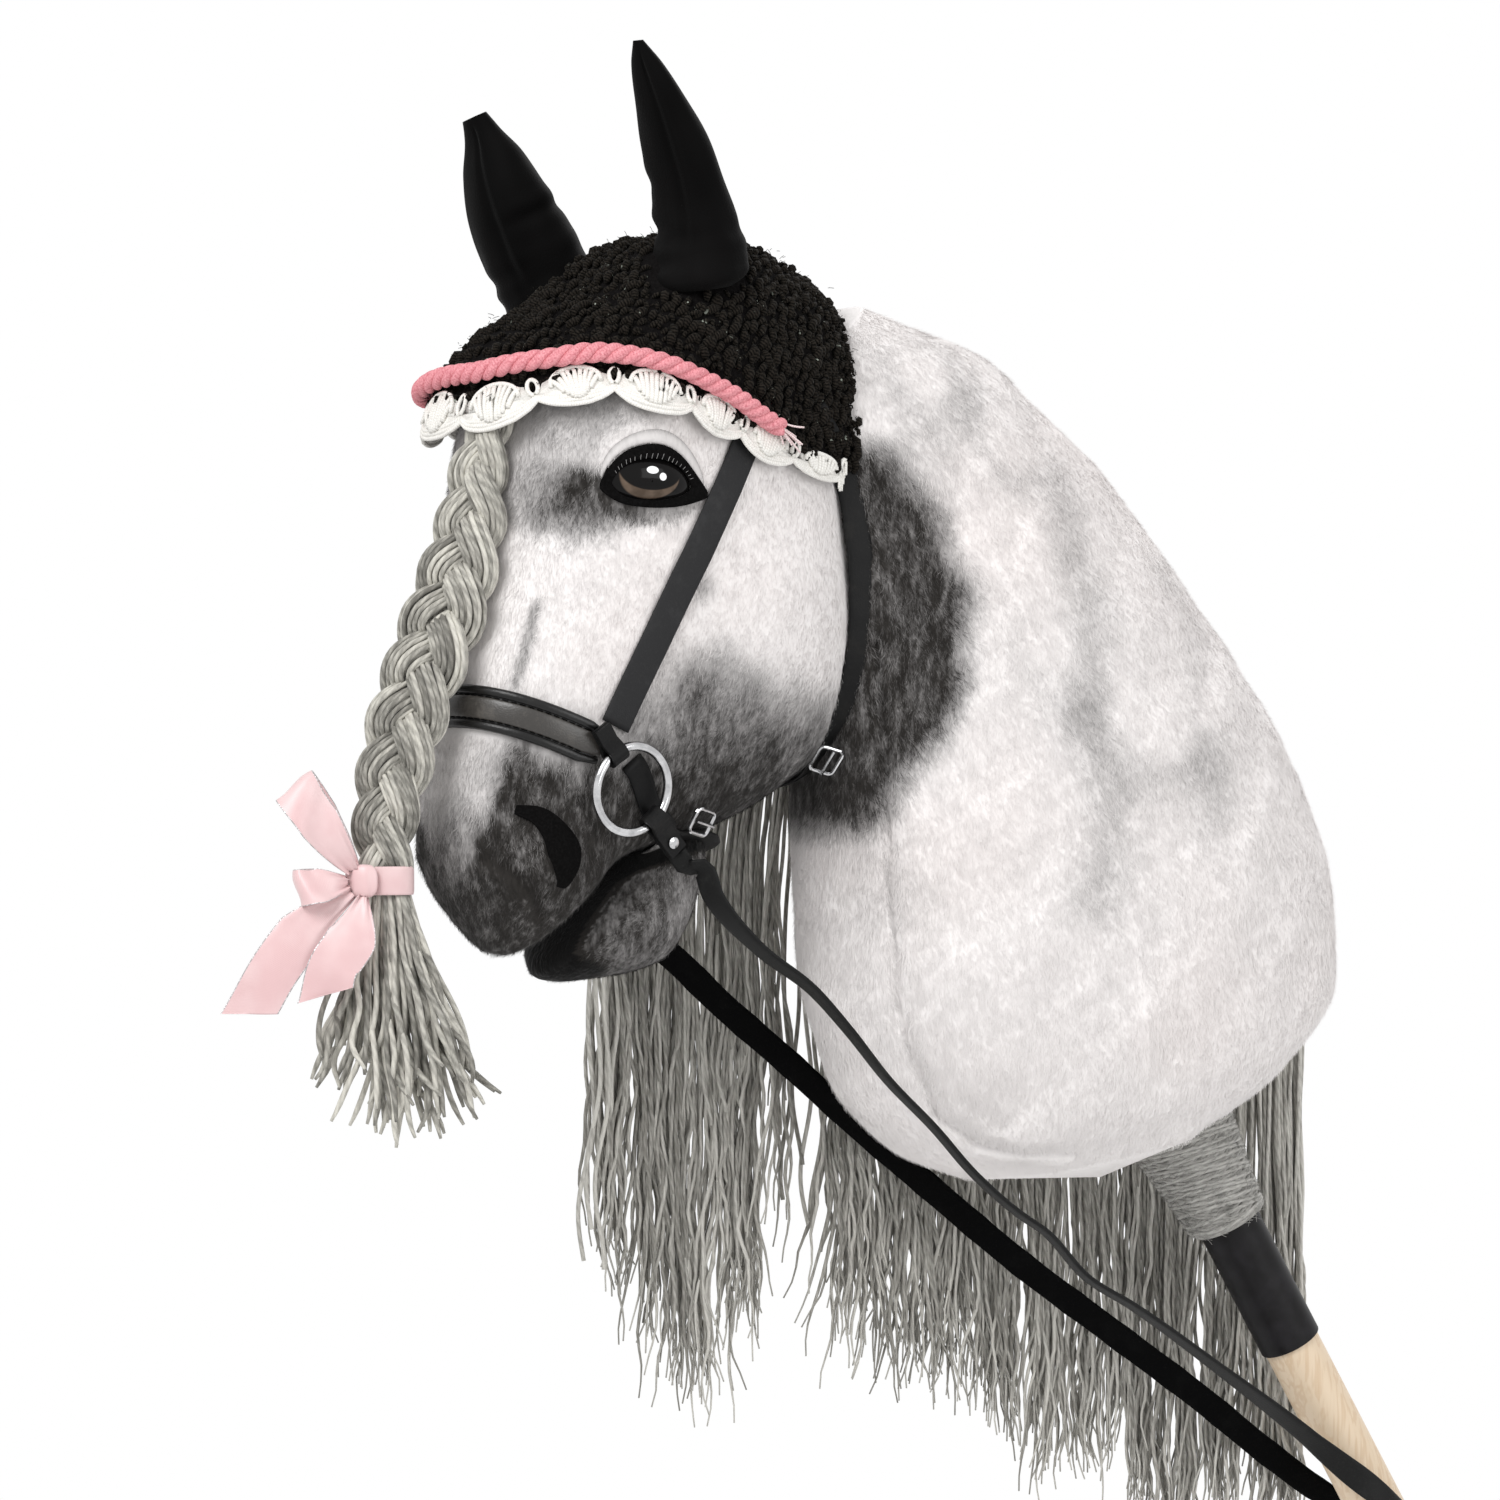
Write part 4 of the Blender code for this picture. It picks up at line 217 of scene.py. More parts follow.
def head_surface(s: Array, theta: Array) -> tuple[Array, Array, Array]:
    """Head coordinates of the skin: superelliptic sections, domed at both ends, with bell-shaped swellings."""
    s, theta = np.broadcast_arrays(np.asarray(s, float), np.asarray(theta, float))
    table = np.array(HEAD_STATIONS, float) * MM
    rise = smooth_curve(table[:, 0], table[:, 1], s)
    fall = smooth_curve(table[:, 0], table[:, 2], s)
    half = smooth_curve(table[:, 0], table[:, 3], s)
    poll = np.clip((HEAD_TOP + POLL_DOME - s) / POLL_DOME, 0.0, 1.0)
    nose = np.clip((s - HEAD_END + MUZZLE_DOME) / MUZZLE_DOME, 0.0, 1.0)
    crown = np.clip(1.0 - poll ** DOME_SQUARENESS, 0.0, 1.0) ** (1.0 / DOME_SQUARENESS)
    shrink = crown * np.sqrt(np.clip(1.0 - nose ** 2, 0.0, 1.0))
    pole = np.where(poll > 0.0, POLL_POLE_RISE, MUZZLE_POLE_RISE)
    upper = np.sin(theta) >= 0.0
    power = 2.0 / np.where(upper, HEAD_SQUARENESS_TOP, HEAD_SQUARENESS_BOTTOM)
    height = np.where(upper, rise, -fall)
    d = signed_power(np.sin(theta), power) * height
    l = signed_power(np.cos(theta), power) * half
    d = pole + (d - pole) * shrink
    l = l * shrink
    side = np.sign(l)
    brow = 6.0 * MM * bump(s - 70 * MM, 17 * MM) * bump(d - 52 * MM, 22 * MM)
    cheek = 7.0 * MM * bump(s - 128 * MM, 42 * MM) * bump(d + 52 * MM, 38 * MM)
    nostril = 5.0 * MM * bump(s - 262 * MM, 17 * MM) * bump(d - 20 * MM, 18 * MM)
    socket = -3.0 * MM * bump(s - 112 * MM, 16 * MM) * bump(d - 44 * MM, 18 * MM)
    l = l + side * (brow + cheek + nostril + socket) * np.clip(np.abs(l) / (30 * MM), 0.0, 1.0)
    return s, d, l


def jaw_surface(s: Array, theta: Array) -> tuple[Array, Array, Array]:
    """Head coordinates of the chin's skin: superelliptic sections, domed at the lip."""
    s, theta = np.broadcast_arrays(np.asarray(s, float), np.asarray(theta, float))
    table = np.array(JAW_STATIONS, float) * MM
    top, low, half = (smooth_curve(table[:, 0], table[:, k], s) for k in (1, 2, 3))
    front = np.clip((s - JAW_END + JAW_DOME) / JAW_DOME, 0.0, 1.0)
    shrink = np.sqrt(np.clip(1.0 - front ** 2, 0.0, 1.0))
    middle = 0.5 * (top + low)
    middle = middle + (front ** 2) * 0.25 * (top - low)
    power = 2.0 / JAW_SQUARENESS
    d = middle + signed_power(np.sin(theta), power) * 0.5 * (top - low) * shrink
    l = signed_power(np.cos(theta), power) * half * shrink
    return s, d, l


def neck_surface(v: Array, theta: Array) -> tuple[Array, Array, Array]:
    """Neck coordinates of the skin: sections between throat and crest points, v from poll to base."""
    table = np.array(NECK_STATIONS, float) * MM
    knots = np.arange(len(table)) / (len(table) - 1.0)
    cols = [smooth_curve(knots, table[:, k], v) for k in range(5)]
    throat = np.stack([cols[0], cols[1]], -1)
    crest = np.stack([cols[2], cols[3]], -1)
    power = 2.0 / np.where(np.cos(theta) < 0.0, NECK_SQUARENESS_FRONT, NECK_SQUARENESS_CREST)
    along = signed_power(np.cos(theta), power)
    across = signed_power(np.sin(theta), 2.0 / 2.2)
    place = 0.5 * (throat + crest) + along[..., None] * 0.5 * (crest - throat)
    return place[..., 0], place[..., 1], across * cols[4]


def head_points(s: Array, theta: Array) -> Array:
    """World points of the head's skin."""
    return head_world(*head_surface(s, theta))


def jaw_points(s: Array, theta: Array) -> Array:
    """World points of the chin's skin."""
    return head_world(*jaw_surface(s, theta))


def neck_points(v: Array, theta: Array) -> Array:
    """World points of the neck's skin; its angle runs so that the normal points out."""
    return neck_world(*neck_surface(v, theta))


def skin_frame(skin: Skin, u: Array, theta: Array, du: float, dt: float = 0.012) -> tuple[Array, Array, Array, Array]:
    """Points of a skin with its derivatives and normals, from central differences.

    Args:
        skin: the surface's formula.
        u: the parameter along it.
        theta: the parameter round it.
        du: half step along.
        dt: half step round.

    Returns:
        Points, derivative along, derivative round and unit normals.
    """
    u, theta = np.broadcast_arrays(np.asarray(u, float), np.asarray(theta, float))
    here = skin(u, theta)
    along = (skin(u + du, theta) - skin(u - du, theta)) / (2.0 * du)
    around = (skin(u, theta + dt) - skin(u, theta - dt)) / (2.0 * dt)
    return here, along, around, unit(np.cross(around, along))


def head_skin(s: Array, theta: Array, lift: Numbers = 0.0) -> Array:
    """World points lifted off the head's skin along its normal."""
    here, _, _, normal = skin_frame(head_points, s, theta, 0.6 * MM)
    return here + normal * np.asarray(lift, float)[..., None]


def theta_at(s: Array, d: Array, side: Side) -> Array:
    """Angle round the head of a (place, rise) point, found by halving the interval."""
    s = np.asarray(s, float)
    low = np.full(s.shape, -0.5 * math.pi)
    high = np.full(s.shape, 0.5 * math.pi)
    for _ in range(40):
        middle = 0.5 * (low + high)
        above = head_surface(s, middle)[1] > d
        high = np.where(above, middle, high)
        low = np.where(above, low, middle)
    return middle if side is Side.NEAR else math.pi - middle


def smooth_route(points: Array, count: int) -> Array:
    """Points at even steps on a Hermite curve through the route's own points."""
    points = np.asarray(points, float)
    steps = np.linalg.norm(np.diff(points, axis=0), axis=1)
    reach = np.concatenate([[0.0], np.cumsum(steps)])
    tangents = np.gradient(points, reach, axis=0)
    dense = np.linspace(0.0, reach[-1], 12 * len(points))
    k = np.clip(np.searchsorted(reach, dense) - 1, 0, len(steps) - 1)
    h = steps[k][:, None]
    u = ((dense - reach[k])[:, None]) / h
    curve = ((2 * u ** 3 - 3 * u ** 2 + 1) * points[k] + (u ** 3 - 2 * u ** 2 + u) * h * tangents[k]
             + (3 * u ** 2 - 2 * u ** 3) * points[k + 1] + (u ** 3 - u ** 2) * h * tangents[k + 1])
    run = run_along(curve)
    even = np.linspace(0.0, run[-1], count)
    return np.stack([np.interp(even, run, curve[:, k]) for k in range(points.shape[1])], -1)


def bonnet_lift(s: Array, theta: Array) -> Array:
    """How far the bonnet stands off the skin: more over the braid's root and at its lower corners."""
    rise = rise_step(20.0 * MM, 65.0 * MM, s)
    turn = np.asarray(theta, float)
    swell = np.exp(-((turn - BULGE_ANGLE) / BULGE_SPAN) ** 2)
    round_turn = np.mod(turn + math.pi, 2.0 * math.pi) - math.pi
    far = np.exp(-((np.abs(round_turn) - math.pi - CORNER_ANGLE) / CORNER_SPAN) ** 2) * (round_turn < 0.0)
    corner = np.exp(-((round_turn - CORNER_ANGLE) / CORNER_SPAN) ** 2) + far
    return BONNET_LIFT + BONNET_BULGE * swell * rise + CORNER_BULGE * corner * rise_step(8.0 * MM, 32.0 * MM, s)


def hem_place(theta: Array) -> Array:
    """Place of the bonnet's hem along the head at an angle round it."""
    return smooth_curve(np.radians(HEM_ANGLES), np.array(HEM_PLACES) * MM, theta)


# Meshes from grids.
@dataclass
class Grid:
    """Faces of one or more grids, with a UV at each corner.

    Attributes:
        faces: vertex numbers, four or three to a face.
        corners: UV of each face's corners.
    """

    faces: Array
    corners: Array


def tube_grid(bodies: int, rows: int, sides: int, lengths: Optional[Array] = None) -> Grid:
    """Faces of many closed tubes of rows by sides vertices, numbered body by body."""
    b, i, j = np.meshgrid(np.arange(bodies), np.arange(rows - 1), np.arange(sides), indexing="ij")
    k = (j + 1) % sides
    base = b * rows * sides
    faces = np.stack([base + i * sides + j, base + i * sides + k,
                      base + (i + 1) * sides + k, base + (i + 1) * sides + j], -1).reshape(-1, 4)
    run = np.linspace(0.0, 1.0, rows)[None].repeat(bodies, 0) if lengths is None else lengths
    low, high = run[b, i], run[b, i + 1]
    left, right = j / sides, (j + 1) / sides
    corners = np.stack([np.stack([left, low], -1), np.stack([right, low], -1),
                        np.stack([right, high], -1), np.stack([left, high], -1)], -2)
    return Grid(faces, corners.reshape(-1, 4, 2))


def cap_grid(bodies: int, rows: int, sides: int, lengths: Optional[Array] = None) -> Grid:
    """Triangle fans that close both ends of the tubes with their pole vertices, which follow the tubes."""
    b, j = np.meshgrid(np.arange(bodies), np.arange(sides), indexing="ij")
    k = (j + 1) % sides
    base = b * rows * sides
    total = bodies * rows * sides
    first = np.stack([base + k, base + j, total + 2 * b], -1).reshape(-1, 3)
    last_row = base + (rows - 1) * sides
    last = np.stack([last_row + j, last_row + k, total + 2 * b + 1], -1).reshape(-1, 3)
    faces = np.concatenate([first, last])
    start = np.zeros(bodies) if lengths is None else lengths[:, 0]
    end = np.ones(bodies) if lengths is None else lengths[:, -1]
    heights = np.concatenate([start[b].ravel(), end[b].ravel()])
    across = np.concatenate([j.ravel(), j.ravel()]) / sides
    corners = np.stack([np.stack([across, heights], -1)] * 3, -2)
    return Grid(faces, corners)


def put_mesh(name: str, verts: Array, grids: Sequence[Grid], values: Optional[dict[str, Array]] = None,
             closed: bool = True, normals: Optional[Array] = None) -> Piece:
    """Mesh object from vertex and face arrays.

    Args:
        name: the piece's name.
        verts: vertex places.
        grids: the faces with their UVs.
        values: named numbers of each vertex, which the materials read.
        closed: a closed body, whose faces are turned out by the sign of its volume.
        normals: shading normals of the vertices, for pile.

    Returns:
        The object, linked to the scene.
    """
    verts = np.asarray(verts, np.float64).reshape(-1, 3)
    if closed:
        volume = 0.0
        middle = verts.mean(0)
        for grid in grids:
            p = verts[grid.faces] - middle
            for k in range(1, grid.faces.shape[1] - 1):
                volume += np.einsum("ij,ij->i", p[:, 0], np.cross(p[:, k], p[:, k + 1])).sum()
        if volume < 0.0:
            grids = [Grid(g.faces[:, ::-1], g.corners[:, ::-1]) for g in grids]
    mesh = bpy.data.meshes.new(name)
    mesh.vertices.add(len(verts))
    mesh.vertices.foreach_set("co", verts.astype(np.float32).ravel())
    loops = np.concatenate([g.faces.ravel() for g in grids]).astype(np.int32)
    sizes = np.concatenate([np.full(len(g.faces), g.faces.shape[1]) for g in grids])
    starts = np.concatenate([[0], np.cumsum(sizes)[:-1]]).astype(np.int32)
    mesh.loops.add(len(loops))
    mesh.loops.foreach_set("vertex_index", loops)
    mesh.polygons.add(len(sizes))
    mesh.polygons.foreach_set("loop_start", starts)
    mesh.polygons.foreach_set("use_smooth", np.ones(len(sizes), bool))
    uv = mesh.uv_layers.new(name="UVMap")
    uv.data.foreach_set("uv", np.concatenate([g.corners.reshape(-1) for g in grids]).astype(np.float32))
    for label, numbers in (values or {}).items():
        layer = mesh.attributes.new(label, "FLOAT", "POINT")
        layer.data.foreach_set("value", np.asarray(numbers, np.float32).ravel())
    mesh.update(calc_edges=True)
    if normals is not None:
        mesh.normals_split_custom_set_from_vertices(normals.reshape(-1, 3).astype(np.float32))
    obj = bpy.data.objects.new(name, mesh)
    bpy.context.scene.collection.objects.link(obj)
    return obj


def frames_along(paths: Array, toward: Array) -> tuple[Array, Array, Array]:
    """Tangents of many paths and two unit directions across each, from a direction to lean on."""
    tangents = unit(np.gradient(paths, axis=-2))
    first = unit(np.cross(tangents, np.broadcast_to(toward, tangents.shape)))
    return tangents, first, np.cross(tangents, first)


def strands(name: str, paths: Array, radius: Numbers, sides: int = 6,
            toward: Array = np.array([0.0, 1.0, 0.0]), values: Optional[dict[str, Array]] = None) -> Piece:
    """Many round yarns, threads or cords: a circle carried along each path, closed at both ends.

    Args:
        name: the piece's name.
        paths: (yarns, points, 3) places.
        radius: of the yarn, or its value at each path point.
        sides: of the circle.
        toward: a direction that no path runs along.
        values: a number for each yarn, which its vertices then hold.

    Returns:
        The object.
    """
    paths = np.asarray(paths, float)
    bodies, rows = paths.shape[:2]
    _, first, second = frames_along(paths, toward)
    turn = once_round(sides)
    reach = np.broadcast_to(np.asarray(radius, float), (bodies, rows))[..., None, None]
    rings = (paths[:, :, None] + reach * (np.cos(turn)[:, None] * first[:, :, None]
                                          + np.sin(turn)[:, None] * second[:, :, None]))
    poles = np.stack([paths[:, 0], paths[:, -1]], 1)
    run = np.concatenate([np.zeros((bodies, 1)),
                          np.cumsum(np.linalg.norm(np.diff(paths, axis=1), axis=-1), axis=1)], 1)
    held = {}
    for label, numbers in (values or {}).items():
        numbers = np.asarray(numbers, float)
        held[label] = np.concatenate([np.repeat(numbers, rows * sides), np.repeat(numbers, 2)])
    verts = np.concatenate([rings.reshape(-1, 3), poles.reshape(-1, 3)])
    return put_mesh(name, verts, [tube_grid(bodies, rows, sides, run), cap_grid(bodies, rows, sides, run)], held)


def ring_body(name: str, rings: Array, values: Optional[dict[str, Array]] = None) -> Piece:
    """Closed body lofted through rings of points, its two ends closed to their middles."""
    rings = np.asarray(rings, float)
    rows, sides = rings.shape[:2]
    poles = np.stack([rings[0].mean(0), rings[-1].mean(0)])
    held = {}
    for label, numbers in (values or {}).items():
        numbers = np.asarray(numbers, float).reshape(rows, sides)
        held[label] = np.concatenate([numbers.ravel(), [numbers[0].mean(), numbers[-1].mean()]])
    run = run_along(rings.mean(1))[None]
    return put_mesh(name, np.concatenate([rings.reshape(-1, 3), poles]),
                    [tube_grid(1, rows, sides, run), cap_grid(1, rows, sides, run)], held)


def loop_body(name: str, rings: Array) -> Piece:
    """Closed ring-shaped body: the last ring of points joins the first."""
    rings = np.asarray(rings, float)
    rows, sides = rings.shape[:2]
    wrapped = tube_grid(1, rows + 1, sides)
    faces = wrapped.faces % (rows * sides)
    return put_mesh(name, rings.reshape(-1, 3), [Grid(faces, wrapped.corners)])


def turned_body(name: str, foot: Array, axis: Array, profile: Sequence[tuple[float, float]],
                sides: int = 64) -> Piece:
    """Turned piece: (radius, height) points spun round an axis, its ends closed on the axis."""
    axis = unit(axis)
    first = unit(np.cross(axis, [0.0, 1.0, 0.0]))
    table = np.array(profile, float)
    circle = swing(once_round(sides), first, np.cross(axis, first))
    rings = foot + table[:, 1][:, None, None] * axis + table[:, 0][:, None, None] * circle
    return ring_body(name, rings)


# Materials. Arithmetic on sockets is written as Python expressions.
class Net:
    """A material's node tree, whose nodes are added by one method."""

    def __init__(self, name: str) -> None:
        """Start an empty Principled material."""
        self.material = bpy.data.materials.new(name)
        self.material.use_nodes = True
        self.tree = self.material.node_tree
        self.shader = self.tree.nodes["Principled BSDF"]
        self.place = self.node("ShaderNodeTexCoord").outputs["Object"]

    def node(self, kind: str, settings: Optional[dict] = None, inputs: Optional[dict] = None) -> bpy.types.Node:
        """Add a node.

        Args:
            kind: the node's type.
            settings: its own properties, which are set first.
            inputs: values or links of its sockets, by name or number.

        Returns:
            The node.
        """
        node = self.tree.nodes.new(kind)
        for key, value in (settings or {}).items():
            setattr(node, key, value)
        for key, value in (inputs or {}).items():
            self.feed(node.inputs[key], value)
        return node

    def feed(self, socket: bpy.types.NodeSocket, value: object) -> None:
        """Link a socket or set its value."""
        if isinstance(value, Wire):
            value = value.socket
        if isinstance(value, bpy.types.NodeSocket):
            self.tree.links.new(value, socket)
        else:
            socket.default_value = value

    def math(self, operation: str, *values: object, clamp: bool = False) -> "Wire":
        """One Math node on numbers."""
        node = self.node("ShaderNodeMath", {"operation": operation, "use_clamp": clamp}, dict(enumerate(values)))
        return Wire(self, node.outputs[0])

    def number(self, name: str) -> "Wire":
        """A vertex number of the mesh."""
        node = self.node("ShaderNodeAttribute", {"attribute_type": "GEOMETRY", "attribute_name": name})
        return Wire(self, node.outputs["Fac"])

    def noise(self, scale: float, detail: float = 2.0, rough: float = 0.5, stretch: Sequence[float] = (1, 1, 1),
              turn: Sequence[float] = (0, 0, 0)) -> "Wire":
        """Noise in the piece's own metres, which may be stretched along an axis."""
        place = self.place
        if tuple(stretch) != (1, 1, 1) or tuple(turn) != (0, 0, 0):
            place = self.node("ShaderNodeMapping", {}, {"Vector": place, "Scale": stretch,
                                                         "Rotation": turn}).outputs[0]
        node = self.node("ShaderNodeTexNoise", {}, {"Vector": place, "Scale": scale, "Detail": detail,
                                                    "Roughness": rough})
        return Wire(self, node.outputs["Fac"])

    def cells(self, scale: float) -> "Wire":
        """Distance inside Voronoi cells."""
        node = self.node("ShaderNodeTexVoronoi", {}, {"Vector": self.place, "Scale": scale})
        return Wire(self, node.outputs["Distance"])

    def uv(self) -> tuple["Wire", "Wire"]:
        """The piece's own UV: share round it and metres along it."""
        node = self.node("ShaderNodeUVMap", {"uv_map": "UVMap"})
        split = self.node("ShaderNodeSeparateXYZ", {}, {0: node.outputs[0]})
        return Wire(self, split.outputs[0]), Wire(self, split.outputs[1])

    def step(self, value: object, low: float, high: float) -> "Wire":
        """Smooth step of a number from 0 at low to 1 at high."""
        node = self.node("ShaderNodeMapRange", {"interpolation_type": "SMOOTHSTEP"},
                         {"Value": value, "From Min": low, "From Max": high})
        return Wire(self, node.outputs[0])

    def mix(self, share: object, first: object, second: object, blend: str = "MIX") -> bpy.types.NodeSocket:
        """Mix two colours."""
        node = self.tree.nodes.new("ShaderNodeMix")
        node.data_type = "RGBA"
        node.blend_type = blend
        colours = [s for s in node.inputs if s.type == "RGBA"]
        self.feed(node.inputs[0], share)
        for socket, value in zip(colours, (first, second)):
            self.feed(socket, (*value, 1.0) if isinstance(value, tuple) and len(value) == 3 else value)
        return next(s for s in node.outputs if s.type == "RGBA")

    def bumped(self, height: object, depth: float, strength: float = 1.0,
               normal: object = None) -> bpy.types.NodeSocket:
        """Normal of a height that is depth metres high at 1."""
        inputs = {"Height": height, "Distance": depth, "Strength": strength}
        if normal is not None:
            inputs["Normal"] = normal
        return self.node("ShaderNodeBump", {}, inputs).outputs[0]

    def finish(self, **sockets: object) -> bpy.types.Material:
        """Set or link the shader's sockets, named with underscores for spaces."""
        for key, value in sockets.items():
            socket = self.shader.inputs[key.replace("_", " ")]
            if isinstance(value, tuple) and len(value) == 3 and socket.type == "RGBA":
                value = (*value, 1.0)
            self.feed(socket, value)
        return self.material


@dataclass(frozen=True)
class Wire:
    """A shader socket whose arithmetic adds Math nodes."""

    net: Net
    socket: bpy.types.NodeSocket

    def __add__(self, other: object) -> "Wire":
        """Sum."""
        return self.net.math("ADD", self, other)

    __radd__ = __add__

    def __mul__(self, other: object) -> "Wire":
        """Product."""
        return self.net.math("MULTIPLY", self, other)

    __rmul__ = __mul__

    def __sub__(self, other: object) -> "Wire":
        """Difference."""
        return self.net.math("SUBTRACT", self, other)

    def __rsub__(self, other: object) -> "Wire":
        """Difference from a number."""
        return self.net.math("SUBTRACT", other, self)

    def __truediv__(self, other: object) -> "Wire":
        """Quotient."""
        return self.net.math("DIVIDE", self, other)

    def __pow__(self, other: object) -> "Wire":
        """Power."""
        return self.net.math("POWER", self, other)

    def wave(self) -> "Wire":
        """Sine wave between 0 and 1 that comes round at every whole number."""
        return self.net.math("SINE", self * (2.0 * math.pi)) * 0.5 + 0.5

    def clipped(self) -> "Wire":
        """Held between 0 and 1."""
        return self.net.math("ADD", self, 0.0, clamp=True)


@dataclass(frozen=True)
class Plush:
    """Short pile fabric, white to charcoal by the coat number, with mixed light and dark hairs."""

    name: str = "plush"
    white: tuple = (0.83, 0.80, 0.79)
    grey: tuple = (0.42, 0.405, 0.40)
    charcoal: tuple = (0.022, 0.0195, 0.0175)
    hair: bool = False

    def make(self) -> bpy.types.Material:
        """Build the material; loose hairs take their own shade from the tone number."""
        net = Net(self.name)
        coat = net.number("coat")
        broad = net.noise(34.0, 3.0, 0.6)
        fine = net.noise(420.0, 2.0, 0.6, (1.0, 1.0, 0.35), (0.0, 0.35, 0.7))
        clump = net.noise(210.0, 3.0, 0.65, (1.0, 1.0, 0.4), (0.0, 0.35, 0.7)) - 0.5
        clump = clump * net.step(coat, 0.3, 0.9) * 0.7
        if self.hair:
            own = (net.number("tone") - 0.5) * (coat * (1.25 - coat) * 0.8 + 0.02)
        else:
            own = (fine - 0.5) * (coat * 0.5 + 0.02)
        shade = coat + clump + own + (broad - 0.5) * 0.04
        pale = net.mix(net.step(shade, 0.02, 0.55), self.white, self.grey)
        colour = net.mix(net.step(shade, 0.42, 1.05), pale, self.charcoal)
        colour = net.mix(net.step(coat, 1.15, 1.4), colour, (0.0025, 0.0023, 0.0022))
        warm = net.step(net.noise(9.0, 1.0), 0.45, 0.75) * 0.35
        colour = net.mix(warm, colour, (1.0, 0.965, 0.955), "MULTIPLY")
        normal = net.bumped(fine * (coat * 0.75 + 0.25), 1.6 * MM, 0.35 if self.hair else 0.7)
        return net.finish(Base_Color=colour, Roughness=0.92, Normal=normal, Sheen_Weight=0.07,
                          Sheen_Roughness=0.6, Specular_IOR_Level=0.15)


@dataclass(frozen=True)
class Felt:
    """Dull pressed felt of very short fibres."""

    name: str
    colour: tuple = (0.0028, 0.0026, 0.0026)

    def make(self) -> bpy.types.Material:
        """Build the material."""
        net = Net(self.name)
        fibre = net.noise(900.0, 3.0, 0.7)
        colour = net.mix(net.step(fibre, 0.35, 0.8), self.colour, tuple(1.8 * c + 0.002 for c in self.colour))
        return net.finish(Base_Color=colour, Roughness=0.95, Normal=net.bumped(fibre, 0.5 * MM, 0.6),
                          Specular_IOR_Level=0.04)


@dataclass(frozen=True)
class StretchCloth:
    """Smooth black jersey with soft gathers and a fine knit."""

    name: str = "stretch_cloth"

    def make(self) -> bpy.types.Material:
        """Build the material."""
        net = Net(self.name)
        knit = net.noise(1500.0, 1.0, 0.5, (1.0, 1.0, 0.5))
        gather = net.noise(38.0, 2.0, 0.5, (1.0, 1.0, 0.35))
        colour = net.mix(net.step(gather, 0.3, 0.8), (0.0018, 0.0017, 0.0017), (0.0045, 0.0042, 0.0042))
        normal = net.bumped(knit, 0.25 * MM, 0.5, net.bumped(gather, 3.0 * MM, 0.35))
        return net.finish(Base_Color=colour, Roughness=0.7, Normal=normal, Sheen_Weight=0.015,
                          Sheen_Roughness=0.5, Specular_IOR_Level=0.03)


@dataclass(frozen=True)
class CrochetCotton:
    """Plied crochet thread; a little glitter is spun into the black one."""

    name: str
    dark: tuple
    light: tuple
    glitter: float = 0.0
    ply: float = 1.1 * MM
    slant: float = 0.5

    def make(self) -> bpy.types.Material:
        """Build the material: the ply's slant follows the piece's own length."""
        net = Net(self.name)
        turn, along = net.uv()
        ply = (turn + along / self.ply).wave()
        fuzz = net.noise(1300.0, 2.0, 0.6)
        shade = ply * self.slant + fuzz * (1.0 - self.slant)
        colour = net.mix(net.step(shade, 0.25, 0.8), self.dark, self.light)
        if self.glitter:
            spark = net.step(net.noise(420.0, 1.0, 0.5), 0.70, 0.75) * net.step(net.noise(60.0, 1.0), 0.52, 0.62)
            colour = net.mix(spark * self.glitter, colour, (0.33, 0.36, 0.31))
        normal = net.bumped(shade, 0.45 * MM, 0.3 + self.slant * 0.7)
        return net.finish(Base_Color=colour, Roughness=0.88, Normal=normal, Sheen_Weight=0.02,
                          Specular_IOR_Level=0.05)


@dataclass(frozen=True)
class Yarn:
    """Soft two-ply wool: each yarn has its own heathered shade."""

    name: str
    dark: tuple
    light: tuple
    pitch: float = 7.0 * MM
    plies: float = 2.0

    def make(self) -> bpy.types.Material:
        """Build the material: plies slant round the yarn, fibres mix light and dark."""
        net = Net(self.name)
        turn, along = net.uv()
        ply = (turn * self.plies + along / self.pitch).wave()
        fuzz = net.noise(1500.0, 3.0, 0.7, (1.0, 1.0, 0.3))
        heather = net.noise(120.0, 2.0, 0.6)
        shade = net.number("tone") * 0.5 + ply * 0.16 + fuzz * 0.34 + (heather - 0.5) * 0.4
        colour = net.mix(net.step(shade, 0.12, 0.88), self.dark, self.light)
        return net.finish(Base_Color=colour, Roughness=0.9, Normal=net.bumped(ply * 0.7 + fuzz * 0.3, 0.3 * MM, 0.6),
                          Sheen_Weight=0.12, Sheen_Roughness=0.5, Specular_IOR_Level=0.2)


@dataclass(frozen=True)
class Satin:
    """Pale ribbon satin with fine ribs across and glitter threads along both edges."""

    name: str = "ribbon_satin"
    colour: tuple = (0.67, 0.445, 0.45)
    glitter: bool = True

    def make(self) -> bpy.types.Material:
        """Build the material; the edge value is 0 along the ribbon's middle and 1 at its edges."""
        net = Net(self.name)
        _, along = net.uv()
        rib = (along / (0.7 * MM)).wave()
        soft = net.noise(55.0, 2.0)
        edge = net.step(net.number("edge"), 0.945, 0.965) if self.glitter else net.step(soft, 2.0, 3.0)
        glint = net.step(net.noise(1100.0, 1.0), 0.46, 0.6)
        colour = net.mix(net.step(soft, 0.3, 0.75), self.colour, (0.74, 0.545, 0.545))
        colour = net.mix(edge, colour, net.mix(glint, (0.36, 0.33, 0.33), (0.66, 0.64, 0.65)))
        normal = net.bumped(rib * (0.35 + edge * 0.5) + glint * edge, 0.12 * MM, 0.5)
        return net.finish(Base_Color=colour, Roughness=0.36, Normal=normal, Metallic=edge * glint * 0.7,
                          Sheen_Weight=0.2, Specular_IOR_Level=0.5)


